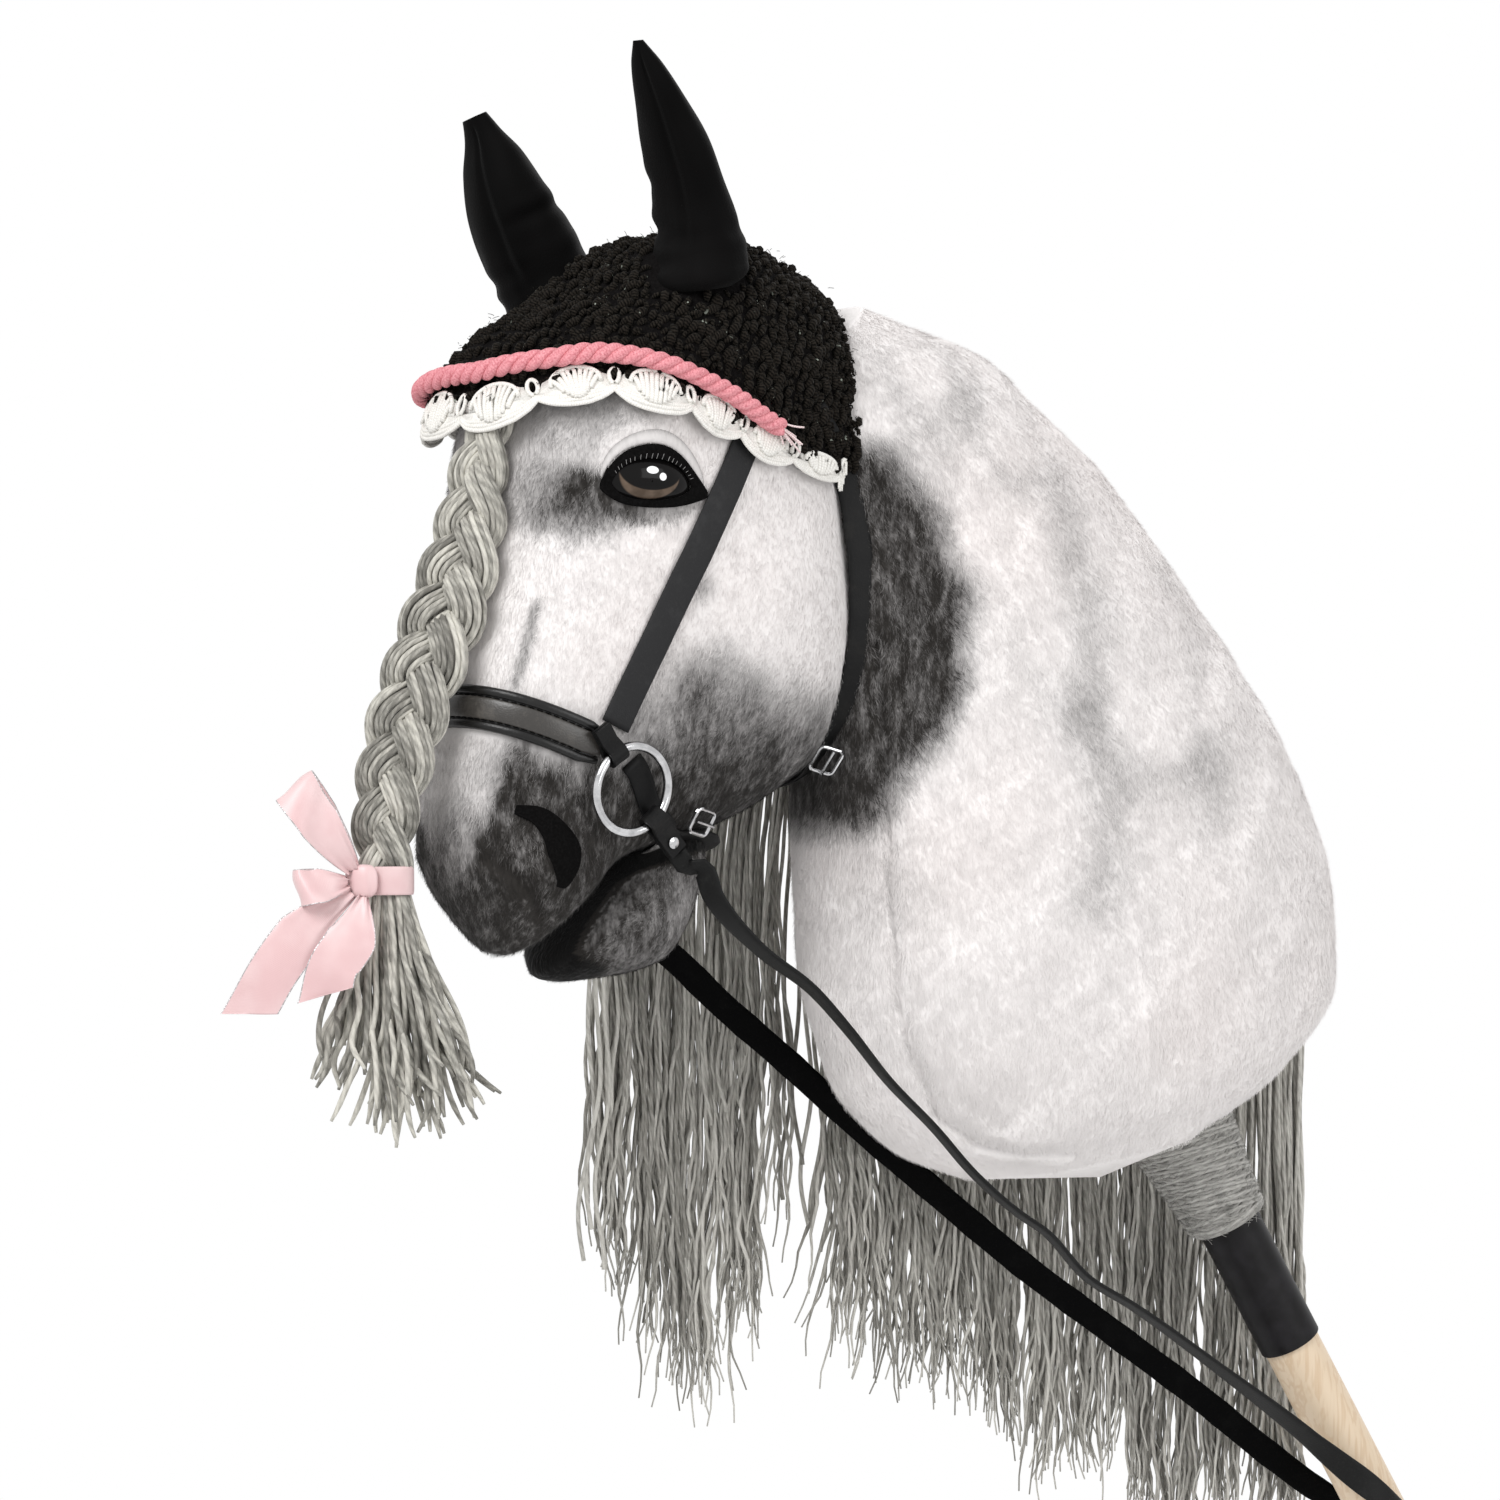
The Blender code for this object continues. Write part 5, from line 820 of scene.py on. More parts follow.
@dataclass(frozen=True)
class Leather:
    """Bridle leather: fine grain, rubbed patches and a soft shine."""

    name: str
    colour: tuple = (0.006, 0.006, 0.0062)
    worn: tuple = (0.020, 0.019, 0.018)
    roughness: float = 0.46
    coat: float = 0.0
    shine: float = 0.12

    def make(self) -> bpy.types.Material:
        """Build the material."""
        net = Net(self.name)
        grain = net.cells(1500.0)
        pores = net.noise(900.0, 3.0, 0.6)
        rub = net.step(net.noise(70.0, 4.0, 0.65), 0.5, 0.75)
        colour = net.mix(rub * 0.6, self.colour, self.worn)
        colour = net.mix(net.step(pores, 0.5, 0.75) * 0.25, colour, self.worn)
        rough = net.math("ADD", rub * 0.12 + pores * 0.1, self.roughness - 0.05)
        normal = net.bumped(grain * 0.6 + pores * 0.4, 0.18 * MM, 0.5)
        return net.finish(Base_Color=colour, Roughness=rough, Normal=normal, Coat_Weight=self.coat,
                          Coat_Roughness=0.25, Specular_IOR_Level=self.shine)


@dataclass(frozen=True)
class Chrome:
    """Polished plated wire with faint hairline scratches."""

    name: str = "chrome_wire"

    def make(self) -> bpy.types.Material:
        """Build the material."""
        net = Net(self.name)
        smear = net.noise(180.0, 3.0, 0.6)
        scratch = net.noise(900.0, 2.0, 0.7, (1.0, 6.0, 1.0))
        colour = net.mix(net.step(smear, 0.35, 0.75), (0.46, 0.46, 0.47), (0.66, 0.66, 0.67))
        return net.finish(Base_Color=colour, Metallic=1.0, Roughness=smear * 0.12 + 0.07,
                          Normal=net.bumped(scratch, 0.05 * MM, 0.25))


@dataclass(frozen=True)
class EyeGloss:
    """Domed glossy eye: black, a brown iris below, and two painted lights."""

    name: str = "glossy_eye"

    def make(self) -> bpy.types.Material:
        """Build the material; the UV is the place on the eye, 0.5 at its middle."""
        net = Net(self.name)
        x, y = net.uv()
        ball = (((x - 0.51) * 1.4) ** 2.0 + (y - 0.61) ** 2.0) ** 0.5
        pupil = (((x - 0.50) * 1.25) ** 2.0 + (y - 0.76) ** 2.0) ** 0.5
        iris = net.step(pupil, 0.455, 0.48) * net.step(0.0 - ball, -0.50, -0.47)
        streak = net.noise(160.0, 2.0, 0.6)
        brown = net.mix(net.step(streak, 0.3, 0.8), (0.075, 0.052, 0.036), (0.145, 0.105, 0.078))
        colour = net.mix(iris, (0.0055, 0.005, 0.005), brown)
        lights = None
        for at, wide, tall in (((0.50, 0.66), 0.069, 0.066), ((0.375, 0.555), 0.042, 0.070)):
            away = (((x - at[0]) / wide) ** 2.0 + ((y - at[1]) / tall) ** 2.0) ** 0.5
            spot = net.step(0.0 - away, -1.08, -0.92)
            lights = spot if lights is None else lights + spot
        colour = net.mix(lights.clipped(), colour, (0.95, 0.95, 0.95))
        return net.finish(Base_Color=colour, Roughness=0.10, Specular_IOR_Level=0.12)


@dataclass(frozen=True)
class Pine:
    """Sanded pine dowel: pale rings along the stick and darker late wood."""

    name: str = "pine_dowel"

    def make(self) -> bpy.types.Material:
        """Build the material; the grain runs along the stick's own length."""
        net = Net(self.name)
        turn, _ = net.uv()
        lean = (0.0, STICK_LEAN, NECK_YAW)
        grain = net.noise(58.0, 4.0, 0.62, (1.0, 1.0, 0.05), lean)
        fine = net.noise(700.0, 2.0, 0.6, (1.0, 1.0, 0.03), lean)
        ring = (grain * 9.0 + turn * 2.0).wave()
        colour = net.mix(net.step(ring, 0.35, 1.0), (0.66, 0.53, 0.385), (0.60, 0.455, 0.31))
        colour = net.mix(net.step(fine, 0.5, 0.8) * 0.25, colour, (0.50, 0.35, 0.20))
        return net.finish(Base_Color=colour, Roughness=0.48, Normal=net.bumped(fine * 0.6 + ring * 0.4, 0.12 * MM, 0.4),
                          Coat_Weight=0.15, Coat_Roughness=0.35)


@dataclass(frozen=True)
class Sleeve:
    """Black shrunk sleeve, satin, with faint rings."""

    name: str = "black_sleeve"

    def make(self) -> bpy.types.Material:
        """Build the material."""
        net = Net(self.name)
        haze = net.noise(90.0, 3.0, 0.6)
        rings = net.noise(260.0, 2.0, 0.5, (1.0, 1.0, 0.2))
        colour = net.mix(net.step(haze, 0.35, 0.8), (0.006, 0.0055, 0.006), (0.013, 0.012, 0.014))
        return net.finish(Base_Color=colour, Roughness=haze * 0.15 + 0.36, Normal=net.bumped(rings, 0.2 * MM, 0.35),
                          Specular_IOR_Level=0.15)


@dataclass(frozen=True)
class Backing:
    """Plain pale floor, a little uneven."""

    name: str = "floor_paper"

    def make(self) -> bpy.types.Material:
        """Build the material."""
        net = Net(self.name)
        soft = net.noise(6.0, 2.0)
        colour = net.mix(net.step(soft, 0.3, 0.8), (0.86, 0.86, 0.86), (0.89, 0.89, 0.89))
        return net.finish(Base_Color=colour, Roughness=0.9)


class Finishes:
    """The materials by name, each made once."""

    def __init__(self) -> None:
        """Make every finish of the object."""
        kinds = (
            Plush(), Plush(name="plush_hair", hair=True), Felt("black_felt"), StretchCloth(),
            CrochetCotton("black_crochet", (0.0007, 0.0006, 0.0005), (0.024, 0.020, 0.016), 0.9, slant=0.3),
            CrochetCotton("white_crochet", (0.70, 0.68, 0.64), (0.90, 0.885, 0.85), slant=0.2),
            CrochetCotton("pink_rope", (0.55, 0.17, 0.20), (0.86, 0.40, 0.43), slant=0.08),
            CrochetCotton("pink_fray", (0.80, 0.60, 0.60), (0.93, 0.82, 0.81)),
            Felt("black_ground", (0.004, 0.0035, 0.0035)),
            Yarn("grey_yarn", (0.20, 0.192, 0.172), (0.60, 0.585, 0.54)),
            Yarn("braid_yarn", (0.15, 0.144, 0.128), (0.66, 0.64, 0.575)),
            Yarn("winding_yarn", (0.20, 0.195, 0.182), (0.46, 0.45, 0.425)),
            Satin(), Satin("ribbon_plain", glitter=False), Leather("bridle_leather"),
            Leather("padded_leather", (0.004, 0.0038, 0.0037), (0.016, 0.015, 0.014), 0.3, 0.1, 0.3),
            Leather("cheek_leather", (0.022, 0.022, 0.023), (0.042, 0.042, 0.043), 0.62),
            Leather("satin_leather", (0.030, 0.027, 0.024), (0.105, 0.093, 0.080), 0.34, 0.15, 0.5),
            Leather("rein_leather", (0.008, 0.008, 0.008), (0.024, 0.025, 0.023), 0.5),
            # The off rein is the same leather as the near one, painted darker and duller as the shade of the far side.
            Leather("off_rein_painted_shade_leather", (0.0016, 0.0016, 0.0017), (0.005, 0.005, 0.005), 0.7, 0.0, 0.03),
            Felt("stitch_thread", (0.0012, 0.0012, 0.0012)), Felt("lash_thread", (0.24, 0.235, 0.23)),
            Chrome(), EyeGloss(), Pine(), Sleeve(), Backing())
        self.made = {kind.name: kind.make() for kind in kinds}

    def give(self, obj: Piece, name: str) -> Piece:
        """Put one finish on a piece."""
        obj.data.materials.clear()
        obj.data.materials.append(self.made[name])
        return obj


finishes: Optional[Finishes] = None


def dress(obj: Piece, finish: str, replaces: Sequence[str] = (), body: str = "horse") -> Piece:
    """Give a new piece its finish, its body and the CAD nodes that it stands for.

    Args:
        obj: the piece.
        finish: the material's name.
        replaces: CAD nodes that it stands for.
        body: the CAD body that it rides on; an empty name leaves it to blend.

    Returns:
        The piece.
    """
    finishes.give(obj, finish)
    if body:
        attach(obj, body)
    if replaces:
        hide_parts(*replaces)
    log.info("%s: %d faces", obj.name, len(obj.data.polygons))
    return obj


# Charts on skins, straps and loose pile.
def ripple(places: Array, wavelength: float, seed: int, waves: int = 9) -> Array:
    """Gentle undulation about 0: the mean of sines that run in random directions."""
    rng = np.random.default_rng(seed)
    reach = wavelength * rng.uniform(0.7, 1.5, waves)
    heading = unit(rng.normal(size=(waves, 3))) * (2.0 * math.pi / reach)[:, None]
    return np.sin(places @ heading.T + rng.uniform(0.0, 2.0 * math.pi, waves)).mean(-1) * math.sqrt(waves)


class SkinPath:
    """A line on a skin, with a flat chart beside it: metres along the line and metres across it."""

    def __init__(self, skin: Skin, u: Array, theta: Array, du: float = 0.6 * MM) -> None:
        """Measure the line's frames.

        Args:
            skin: the surface's formula.
            u: parameter along the surface at each point of the line.
            theta: parameter round it.
            du: half step of the differences.
        """
        here, along, around, normal = skin_frame(skin, u, theta, du)
        tangent = unit(np.gradient(here, axis=0))
        across = unit(np.cross(normal, tangent))
        e, f, g = ((along * along).sum(-1), (along * around).sum(-1), (around * around).sum(-1))
        first, second = (across * along).sum(-1), (across * around).sum(-1)
        grid = e * g - f * f
        self.skin, self.du = skin, du
        self.run = run_along(here)
        self.columns = (np.asarray(u, float), np.asarray(theta, float),
                        (g * first - f * second) / grid, (e * second - f * first) / grid)

    @property
    def length(self) -> float:
        """Length of the line."""
        return float(self.run[-1])

    def at(self, x: Array, y: Array, lift: Numbers = 0.0) -> Array:
        """World points x along the line, y across it and lifted off the skin."""
        x, y, lift = np.broadcast_arrays(*(np.asarray(v, float) for v in (x, y, lift)))
        u, theta, du, dt = (np.interp(x, self.run, column) for column in self.columns)
        here, _, _, normal = skin_frame(self.skin, u + du * y, theta + dt * y, self.du)
        return here + normal * lift[..., None]


def round_profile(width: float, thickness: float, sides: int = 16, square: float = 0.45) -> tuple[Array, Array]:
    """Offsets across and lifts of a strap's section with rounded edges."""
    turn = once_round(sides)
    return (signed_power(np.cos(turn), square) * 0.5 * width,
            0.5 * thickness * (1.0 + signed_power(np.sin(turn), 0.75)))


def strap_on(name: str, path: SkinPath, width: Numbers, thickness: float, gap: float = LAID_GAP,
             rows: int = 90, sides: int = 16, off: Numbers = 0.0, square: float = 0.45,
             clear: Sequence[tuple[Array, Array]] = ()) -> Piece:
    """Strap laid along a line on a skin, optionally pushed clear of other bodies.

    Args:
        name: the piece's name.
        path: the line.
        width: of the strap, or its values at even steps.
        thickness: of the strap.
        gap: off the skin.
        rows: sections along it.
        sides: points round it.
        off: how far it lies across from the line.
        square: how square its edges are, 1 for an ellipse.
        clear: clouds of points and normals of bodies that it must pass over.

    Returns:
        The strap.
    """
    x = np.linspace(0.0, path.length, rows)
    width = np.interp(np.linspace(0, 1, rows), np.linspace(0, 1, np.size(width)), np.atleast_1d(width))
    across, lift = round_profile(1.0, thickness, sides, square)
    offsets = width[:, None] * across + np.asarray(off, float)
    rings = path.at(x[:, None], offsets, gap + lift)
    for cloud in clear:
        rings = rings + push_out(rings.mean(1), cloud, gap + 0.5 * thickness)[:, None]
    return ring_body(name, rings)


def push_out(points: Array, cloud: tuple[Array, Array], gap: float) -> Array:
    """Moves that bring points at least a gap outside a body, given as a cloud of surface points and normals."""
    places, normals = cloud
    nearest = np.array([np.argmin(((places - p) ** 2).sum(-1)) for p in points])
    depth = ((points - places[nearest]) * normals[nearest]).sum(-1)
    push = np.clip(gap - depth, 0.0, 15.0 * MM)
    for _ in range(12):
        push[1:-1] = np.maximum(push[1:-1], 0.5 * (push[:-2] + push[2:]) * 0.96)
    return normals[nearest] * push[:, None]


def cloud_of(skin: Skin, u: Array, theta: Array, du: float) -> tuple[Array, Array]:
    """Surface points and normals of a skin."""
    here, _, _, normal = skin_frame(skin, u[:, None], theta[None, :], du)
    return here.reshape(-1, 3), normal.reshape(-1, 3)


def sweep_strap(name: str, centres: Array, faces: Array, widths: Array, thickness: float, sides: int = 16,
                square: float = 0.45, closed: bool = False, values: bool = False) -> Piece:
    """Strap or ribbon swept along a line, its flat side turned by the face directions.

    Args:
        name: the piece's name.
        centres: the line's points.
        faces: direction that the flat side looks at each point.
        widths: width at each point.
        thickness: of the strap.
        sides: points round it.
        square: how square its edges are.
        closed: the line's end joins its start.
        values: keep the vertex number "edge", 0 in the middle and 1 at the edges.

    Returns:
        The strap.
    """
    tangents = unit(np.roll(centres, -1, 0) - np.roll(centres, 1, 0) if closed else np.gradient(centres, axis=0))
    flat = across_line(faces, tangents)
    across = np.cross(tangents, flat)
    turn = once_round(sides)
    x = signed_power(np.cos(turn), square)
    rings = (centres[:, None] + 0.5 * np.asarray(widths)[:, None, None] * x[:, None] * across[:, None]
             + 0.5 * thickness * signed_power(np.sin(turn), 0.8)[:, None] * flat[:, None])
    if closed:
        return loop_body(name, rings)
    return ring_body(name, rings, {"edge": np.tile(np.abs(x), (len(rings), 1))} if values else None)


def scatter(skin: Skin, u: Array, theta: Array, du: float, count: int, keep: Callable[[Array, Array], Array],
            rng: np.random.Generator) -> tuple[Array, Array]:
    """Random places on a skin, evenly by area, where the keep function allows them."""
    low_u, low_t = np.meshgrid(u[:-1], theta[:-1], indexing="ij")
    size_u, size_t = np.meshgrid(np.diff(u), np.diff(theta), indexing="ij")
    middle_u, middle_t = low_u + 0.5 * size_u, low_t + 0.5 * size_t
    _, along, around, _ = skin_frame(skin, middle_u, middle_t, du)
    area = np.linalg.norm(np.cross(along, around), axis=-1) * size_u * size_t
    weight = (area * keep(middle_u, middle_t)).ravel()
    picks = rng.choice(weight.size, count, p=weight / weight.sum())
    jitter = rng.random((2, count))
    return (low_u.ravel()[picks] + size_u.ravel()[picks] * jitter[0],
            low_t.ravel()[picks] + size_t.ravel()[picks] * jitter[1])


def pile(name: str, roots: Array, normals: Array, grain: Array, coat: Array, rng: np.random.Generator,
         length: float = 4.2 * MM, width: float = 0.5 * MM, rise: float = 0.32) -> Piece:
    """Short hairs that lean along the grain: one thin triangle each, shaded like the skin under them.

    Args:
        name: the piece's name.
        roots: where they stand.
        normals: of the skin there.
        grain: the way that they lean.
        coat: the coat's shade there.
        rng: the random numbers.
        length: of a hair.
        width: of its foot.
        rise: how much it stands up.

    Returns:
        The pile.
    """
    count = len(roots)
    grain = across_line(grain, normals)
    side = np.cross(normals, grain)
    swing = rng.normal(0.0, 0.34, count) + ripple(roots, 16.0 * MM, 5) * 0.2
    heading = grain * np.cos(swing)[:, None] + side * np.sin(swing)[:, None]
    across = side * np.cos(swing)[:, None] - grain * np.sin(swing)[:, None]
    heading = unit(heading + normals * (rise * rng.uniform(0.5, 1.5, count))[:, None])
    reach = (length * rng.uniform(0.55, 1.25, count))[:, None]
    foot = roots - normals * 0.5 * MM
    half = across * (0.5 * width)
    verts = np.stack([foot - half, foot + half, foot + heading * reach], 1).reshape(-1, 3)
    faces = np.arange(3 * count).reshape(-1, 3)[:, ::-1]
    corners = np.tile(np.array([[0.5, 1.0], [1.0, 0.0], [0.0, 0.0]]), (count, 1, 1))
    shown = unit(normals + across * ((0.05 + 0.11 * coat) * rng.normal(0.0, 1.0, count))[:, None] + heading * 0.05)
    tone = np.repeat(rng.random(count), 3)
    return put_mesh(name, verts, [Grid(faces, corners)], {"coat": np.repeat(coat, 3), "tone": tone},
                    closed=False, normals=np.repeat(shown, 3, axis=0))


# The coat's shades, 0 white to 1 charcoal, measured in millimetres on the head and in the neck's plane; mostly the
# plush's print, with some painted shade and highlight.
def spot(x: Array, y: Array, place: tuple[float, float], size: tuple[float, float]) -> Array:
    """Soft oval spot."""
    return np.exp(-(((x - place[0]) / size[0]) ** 2 + ((y - place[1]) / size[1]) ** 2))


def away_from(x: Array, y: Array, chain: Sequence[tuple[float, float]]) -> Array:
    """Distance to a chain of points."""
    chain = np.array(chain, float)
    best = np.full(np.shape(x), 1e9)
    for (ax, ay), (bx, by) in zip(chain[:-1], chain[1:]):
        dx, dy = bx - ax, by - ay
        t = np.clip(((x - ax) * dx + (y - ay) * dy) / (dx * dx + dy * dy), 0.0, 1.0)
        best = np.minimum(best, np.hypot(x - ax - t * dx, y - ay - t * dy))
    return best


# Dark spots of the head's coat (place along, rise, width, height, depth in mm): most are the plush's print, the
# forehead row is painted shadow of the braid.
HEAD_PRINT_AND_SHADOW_SPOTS = (
    (125, -1, 7, 4, 0.5), (163, -16, 15, 12, 0.7), (152, 9, 10, 5, 0.2), (186, -33, 22, 26, 0.76),
    (159, -42, 13, 15, 0.5), (167, -74, 18, 20, 0.74), (201, -72, 26, 26, 0.92), (184, 4, 10, 8, 0.4),
    (150, -92, 14, 12, 0.55), (115, 70, 9, 6, 0.68), (107, 65, 9, 7, 0.72), (119, 60, 7, 10, 0.66),
    # Painted shadow of the braid on the forehead, down to the noseband.
    (70, 64, 7, 14, 0.36), (84, 70, 10, 5, 0.42), (62, 76, 9, 9, 0.45), (80, 82, 16, 6, 0.4), (110, 80, 20, 5, 0.3),
    (222, 50, 12, 5, 0.25))
EYE_PLACE, EYE_AHEAD = (93.8, 42.5), (100.3, 61.0)
NOSTRIL_GROOVE = ((250, 46), (262, 36.8), (269.7, 21), (276.8, 6.3))
NECK_DARK = ((-262, 438), (-249, 420), (-238, 392), (-238, 362), (-249, 338), (-270, 310), (-292, 318), (-270, 345),
             (-262, 385), (-272, 420))
NECK_SEAM = ((-256, 372), (-252.3, 328.8), (-249.3, 257.2), (-245.2, 211.4), (-237.7, 190.3), (-224.4, 163.9),
             (-205.1, 151.2), (-185.0, 147.7), (-160, 146))
NECK_GREYS = (
    (((-222, 486), (-196, 452), (-170, 442), (-163, 392), (-162, 340), (-157, 292), (-160, 262)), 18, 0.27),
    (((-118, 400), (-104, 372), (-97, 322), (-106, 292)), 17, 0.17), (((-162, 345), (-128, 312), (-106, 318)), 14, 0.2),
    (((-205, 392), (-190, 346)), 18, 0.12), (((-262, 505), (-235, 462), (-230, 440)), 16, 0.2),
    (((-262, 300), (-252, 262)), 20, 0.2))
NECK_DAPPLES = ((-231, 489, 9), (-190, 464, 13), (-142, 420, 14), (-133, 344, 18), (-125, 386, 11), (-158, 470, 9),
                (-182, 372, 9), (-98, 345, 8))


def beside_eye(s: Array, d: Array) -> tuple[Array, Array]:
    """Places along and above the eye's long axis (mm)."""
    s, d = s - EYE_PLACE[0], d - EYE_PLACE[1]
    return 0.33 * s + 0.94 * d, 0.33 * d - 0.94 * s


def head_coat(s: Array, d: Array, l: Array) -> Array:
    """Shade of the head's plush: dark muzzle, chin line, cheek and the eye's surroundings, with painted shadow of the
    braid on the forehead, painted shade in the nostril's seam and a painted highlight on the nostril's lobe.
    """
    s, d, l = (np.asarray(v) / MM for v in (s, d, l))
    wobble = 4.0 * np.sin(0.21 * s + 0.13 * d) + 3.0 * np.sin(0.31 * d - 0.17 * l)
    side = rise_step(-14.0, 0.0, np.abs(l) - 0.9 * (d - 10.0))
    front_nose = 0.22 * rise_step(196.0, 226.0, s) + 0.78 * rise_step(232.0, 276.0, s + wobble)
    side_nose = rise_step(180.0, 224.0, s - 0.3 * (d - 10.0) + wobble)
    clear = 1.0 - 0.97 * (front_nose * (1.0 - side) + side_nose * side)
    for x, y, wide, tall, depth in HEAD_PRINT_AND_SHADOW_SPOTS:
        clear = clear * (1.0 - depth * spot(s + 0.4 * wobble, d, (x, y), (wide * 1.25, tall * 1.25)) * np.where(
            np.abs(l) > 12.0, 1.0, 0.3))
    fall = smooth_curve(np.array(HEAD_STATIONS)[:, 0], np.array(HEAD_STATIONS)[:, 2], s)
    under = (1.0 - rise_step(4.0, 26.0, d - fall)) * rise_step(135.0, 170.0, s)
    clear = clear * (1.0 - 0.75 * under)
    stripe = np.exp(-((d - 62.0 + 0.15 * (s - 157.0)) / 2.0) ** 2) * rise_step(150.0, 160.0, s) * (
        1.0 - rise_step(188.0, 200.0, s)) * (np.abs(l) > 20.0)
    mouth = (1.0 - rise_step(4.0, 9.0, d - fall)) * rise_step(212.0, 222.0, s) * (1.0 - rise_step(286.0, 292.0, s))
    x, y = beside_eye(s, d)
    away = np.hypot(x / 24.0, y / 14.0)
    below = np.exp(-(np.maximum(away - 1.0, 0.0) / (0.30 + 0.16 * rise_step(-6.0, 20.0, x))) ** 2)
    below = below * (1.0 - rise_step(-3.0, 5.0, y - 0.25 * np.maximum(x - 12.0, 0.0)))
    clear = clear * (1.0 - below * (0.52 + 0.4 * rise_step(-14.0, 12.0, x)) * (np.abs(l) > 20.0))
    # Painted shade in the crease along the nostril's seam, and a painted highlight on the lobe beside the nostril.
    groove = np.exp(-(away_from(s, d, NOSTRIL_GROOVE) / 2.0) ** 2) * (np.abs(l) > 15.0)
    lobe = spot(s, d, (256, 31), (8, 6)) * (np.abs(l) > 20.0)
    return 1.0 - clear * (1.0 - 0.55 * stripe) + 0.8 * mouth + 0.16 * groove - 0.1 * lobe


def neck_coat(a: Array, z: Array, l: Array) -> Array:
    """Shade of the neck's plush: a dark throat, grey bands and pale dapples, and painted shade along the front seam."""
    a, z = np.asarray(a) / MM, np.asarray(z) / MM
    wobble = 3.0 * np.sin(0.11 * a + 0.07 * z) + 2.5 * np.sin(0.16 * z - 0.08 * a) + 1.5 * np.sin(0.4 * a + 0.33 * z)
    clear = 1.0 - 0.95 * (1.0 - rise_step(9.0, 30.0, away_from(a, z, NECK_DARK) + 0.4 * wobble))
    # Painted shade in the crease along the front seam.
    clear = clear * (1.0 - 0.16 * np.exp(-(away_from(a, z, NECK_SEAM) / 1.7) ** 2) * (np.abs(l) > 20.0 * MM))
    greys = np.ones_like(a)
    for chain, reach, depth in NECK_GREYS:
        greys = greys * (1.0 - depth * np.exp(-(np.maximum(away_from(a, z, chain) + 0.6 * wobble, 0.0) / reach) ** 2))
    pale = np.zeros_like(a)
    for x, y, reach in NECK_DAPPLES:
        pale = np.maximum(pale, np.exp(-(np.hypot(a - x, z - y) / (1.25 * reach)) ** 4))
    greys = 1.0 - (1.0 - greys) * (1.0 - 0.85 * pale)
    return 1.0 - clear * greys


def inside_head(points: Array, margin: float) -> Array:
    """Whether points lie in the head or its bonnet, by its sections."""
    s, d, l = head_coords(points)
    table = np.array(HEAD_STATIONS, float) * MM
    rise, fall, half = (smooth_curve(table[:, 0], table[:, k], np.clip(s, HEAD_TOP, HEAD_END)) for k in (1, 2, 3))
    tall = np.where(d > 0.0, rise, -fall) + margin
    return ((np.abs(d) / tall) ** 2.7 + (np.abs(l) / (half + margin)) ** 2.7 < 1.0) & (s > HEAD_TOP) & (s < HEAD_END)


@dataclass(frozen=True)
class Studio:
    """Camera at the photograph's place, soft lights, a pale floor, and white beyond it.

    Attributes:
        camera_at: the camera's place, level and looking along +Y.
        lens: focal length on a 36 mm sensor, in mm.
        floor_height: below the stick's end.
        floor_reach: the floor's half size; it ends below the photograph's frame.
        sky: strength of the soft light from all round.
    """

    camera_at: tuple = (-0.275553675, -2.451, 0.324451125)
    lens: float = 128.0
    floor_height: float = -0.385
    floor_reach: float = 1.1
    sky: float = 0.70

    def build(self) -> None:
        """Make the camera, the lamps, the world and the floor."""
        camera = bpy.data.cameras.new("camera")
        camera.lens, camera.sensor_width = self.lens, 36.0
        holder = bpy.data.objects.new("camera", camera)
        holder.location = self.camera_at
        holder.rotation_euler = (0.5 * math.pi, 0.0, 0.0)
        bpy.context.scene.collection.objects.link(holder)
        bpy.context.scene.camera = holder
        bpy.context.scene.view_settings.view_transform = "Standard"
        for name, at, size, power in (("key", (-1.5, -2.1, 1.9), 1.3, 48.0), ("fill", (1.7, -2.0, 0.7), 1.6, 22.0),
                                      ("rim", (0.9, 1.6, 1.8), 1.2, 24.0)):
            self.lamp(name, Vector(at), size, power)
        self.world()
        self.floor()

    def lamp(self, name: str, at: Vector, size: float, power: float) -> None:
        """One soft square lamp that looks at the object's middle."""
        light = bpy.data.lights.new(name, "AREA")
        light.size, light.energy = size, power
        obj = bpy.data.objects.new(name, light)
        obj.location = at
        obj.rotation_euler = (Vector((-0.25, -0.05, 0.3)) - at).to_track_quat("-Z", "Y").to_euler()
        bpy.context.scene.collection.objects.link(obj)

    def world(self) -> None:
        """White where it is seen, mirrored or looked through, and softer as light."""
        world = bpy.data.worlds.new("studio")
        bpy.context.scene.world = world
        world.use_nodes = True
        tree = world.node_tree
        back = tree.nodes["Background"]
        back.inputs["Color"].default_value = (1.0, 1.0, 1.0, 1.0)
        ray = tree.nodes.new("ShaderNodeLightPath")
        seen = None
        for label in ("Is Camera Ray", "Is Glossy Ray", "Is Transmission Ray"):
            if seen is None:
                seen = ray.outputs[label]
                continue
            larger = tree.nodes.new("ShaderNodeMath")
            larger.operation = "MAXIMUM"
            tree.links.new(seen, larger.inputs[0])
            tree.links.new(ray.outputs[label], larger.inputs[1])
            seen = larger.outputs[0]
        strength = tree.nodes.new("ShaderNodeMapRange")
        strength.inputs["To Min"].default_value = self.sky
        tree.links.new(seen, strength.inputs["Value"])
        tree.links.new(strength.outputs[0], back.inputs["Strength"])

    def floor(self) -> None:
        """Thin pale floor."""
        turn = once_round(96)
        circle = np.stack([np.cos(turn), np.sin(turn), 0.0 * turn], -1) * self.floor_reach
        rings = np.stack([circle + [-0.15, 0.0, self.floor_height], circle + [-0.15, 0.0, self.floor_height - 0.01]])
        floor = ring_body("floor", rings)
        finishes.give(floor, "floor_paper")


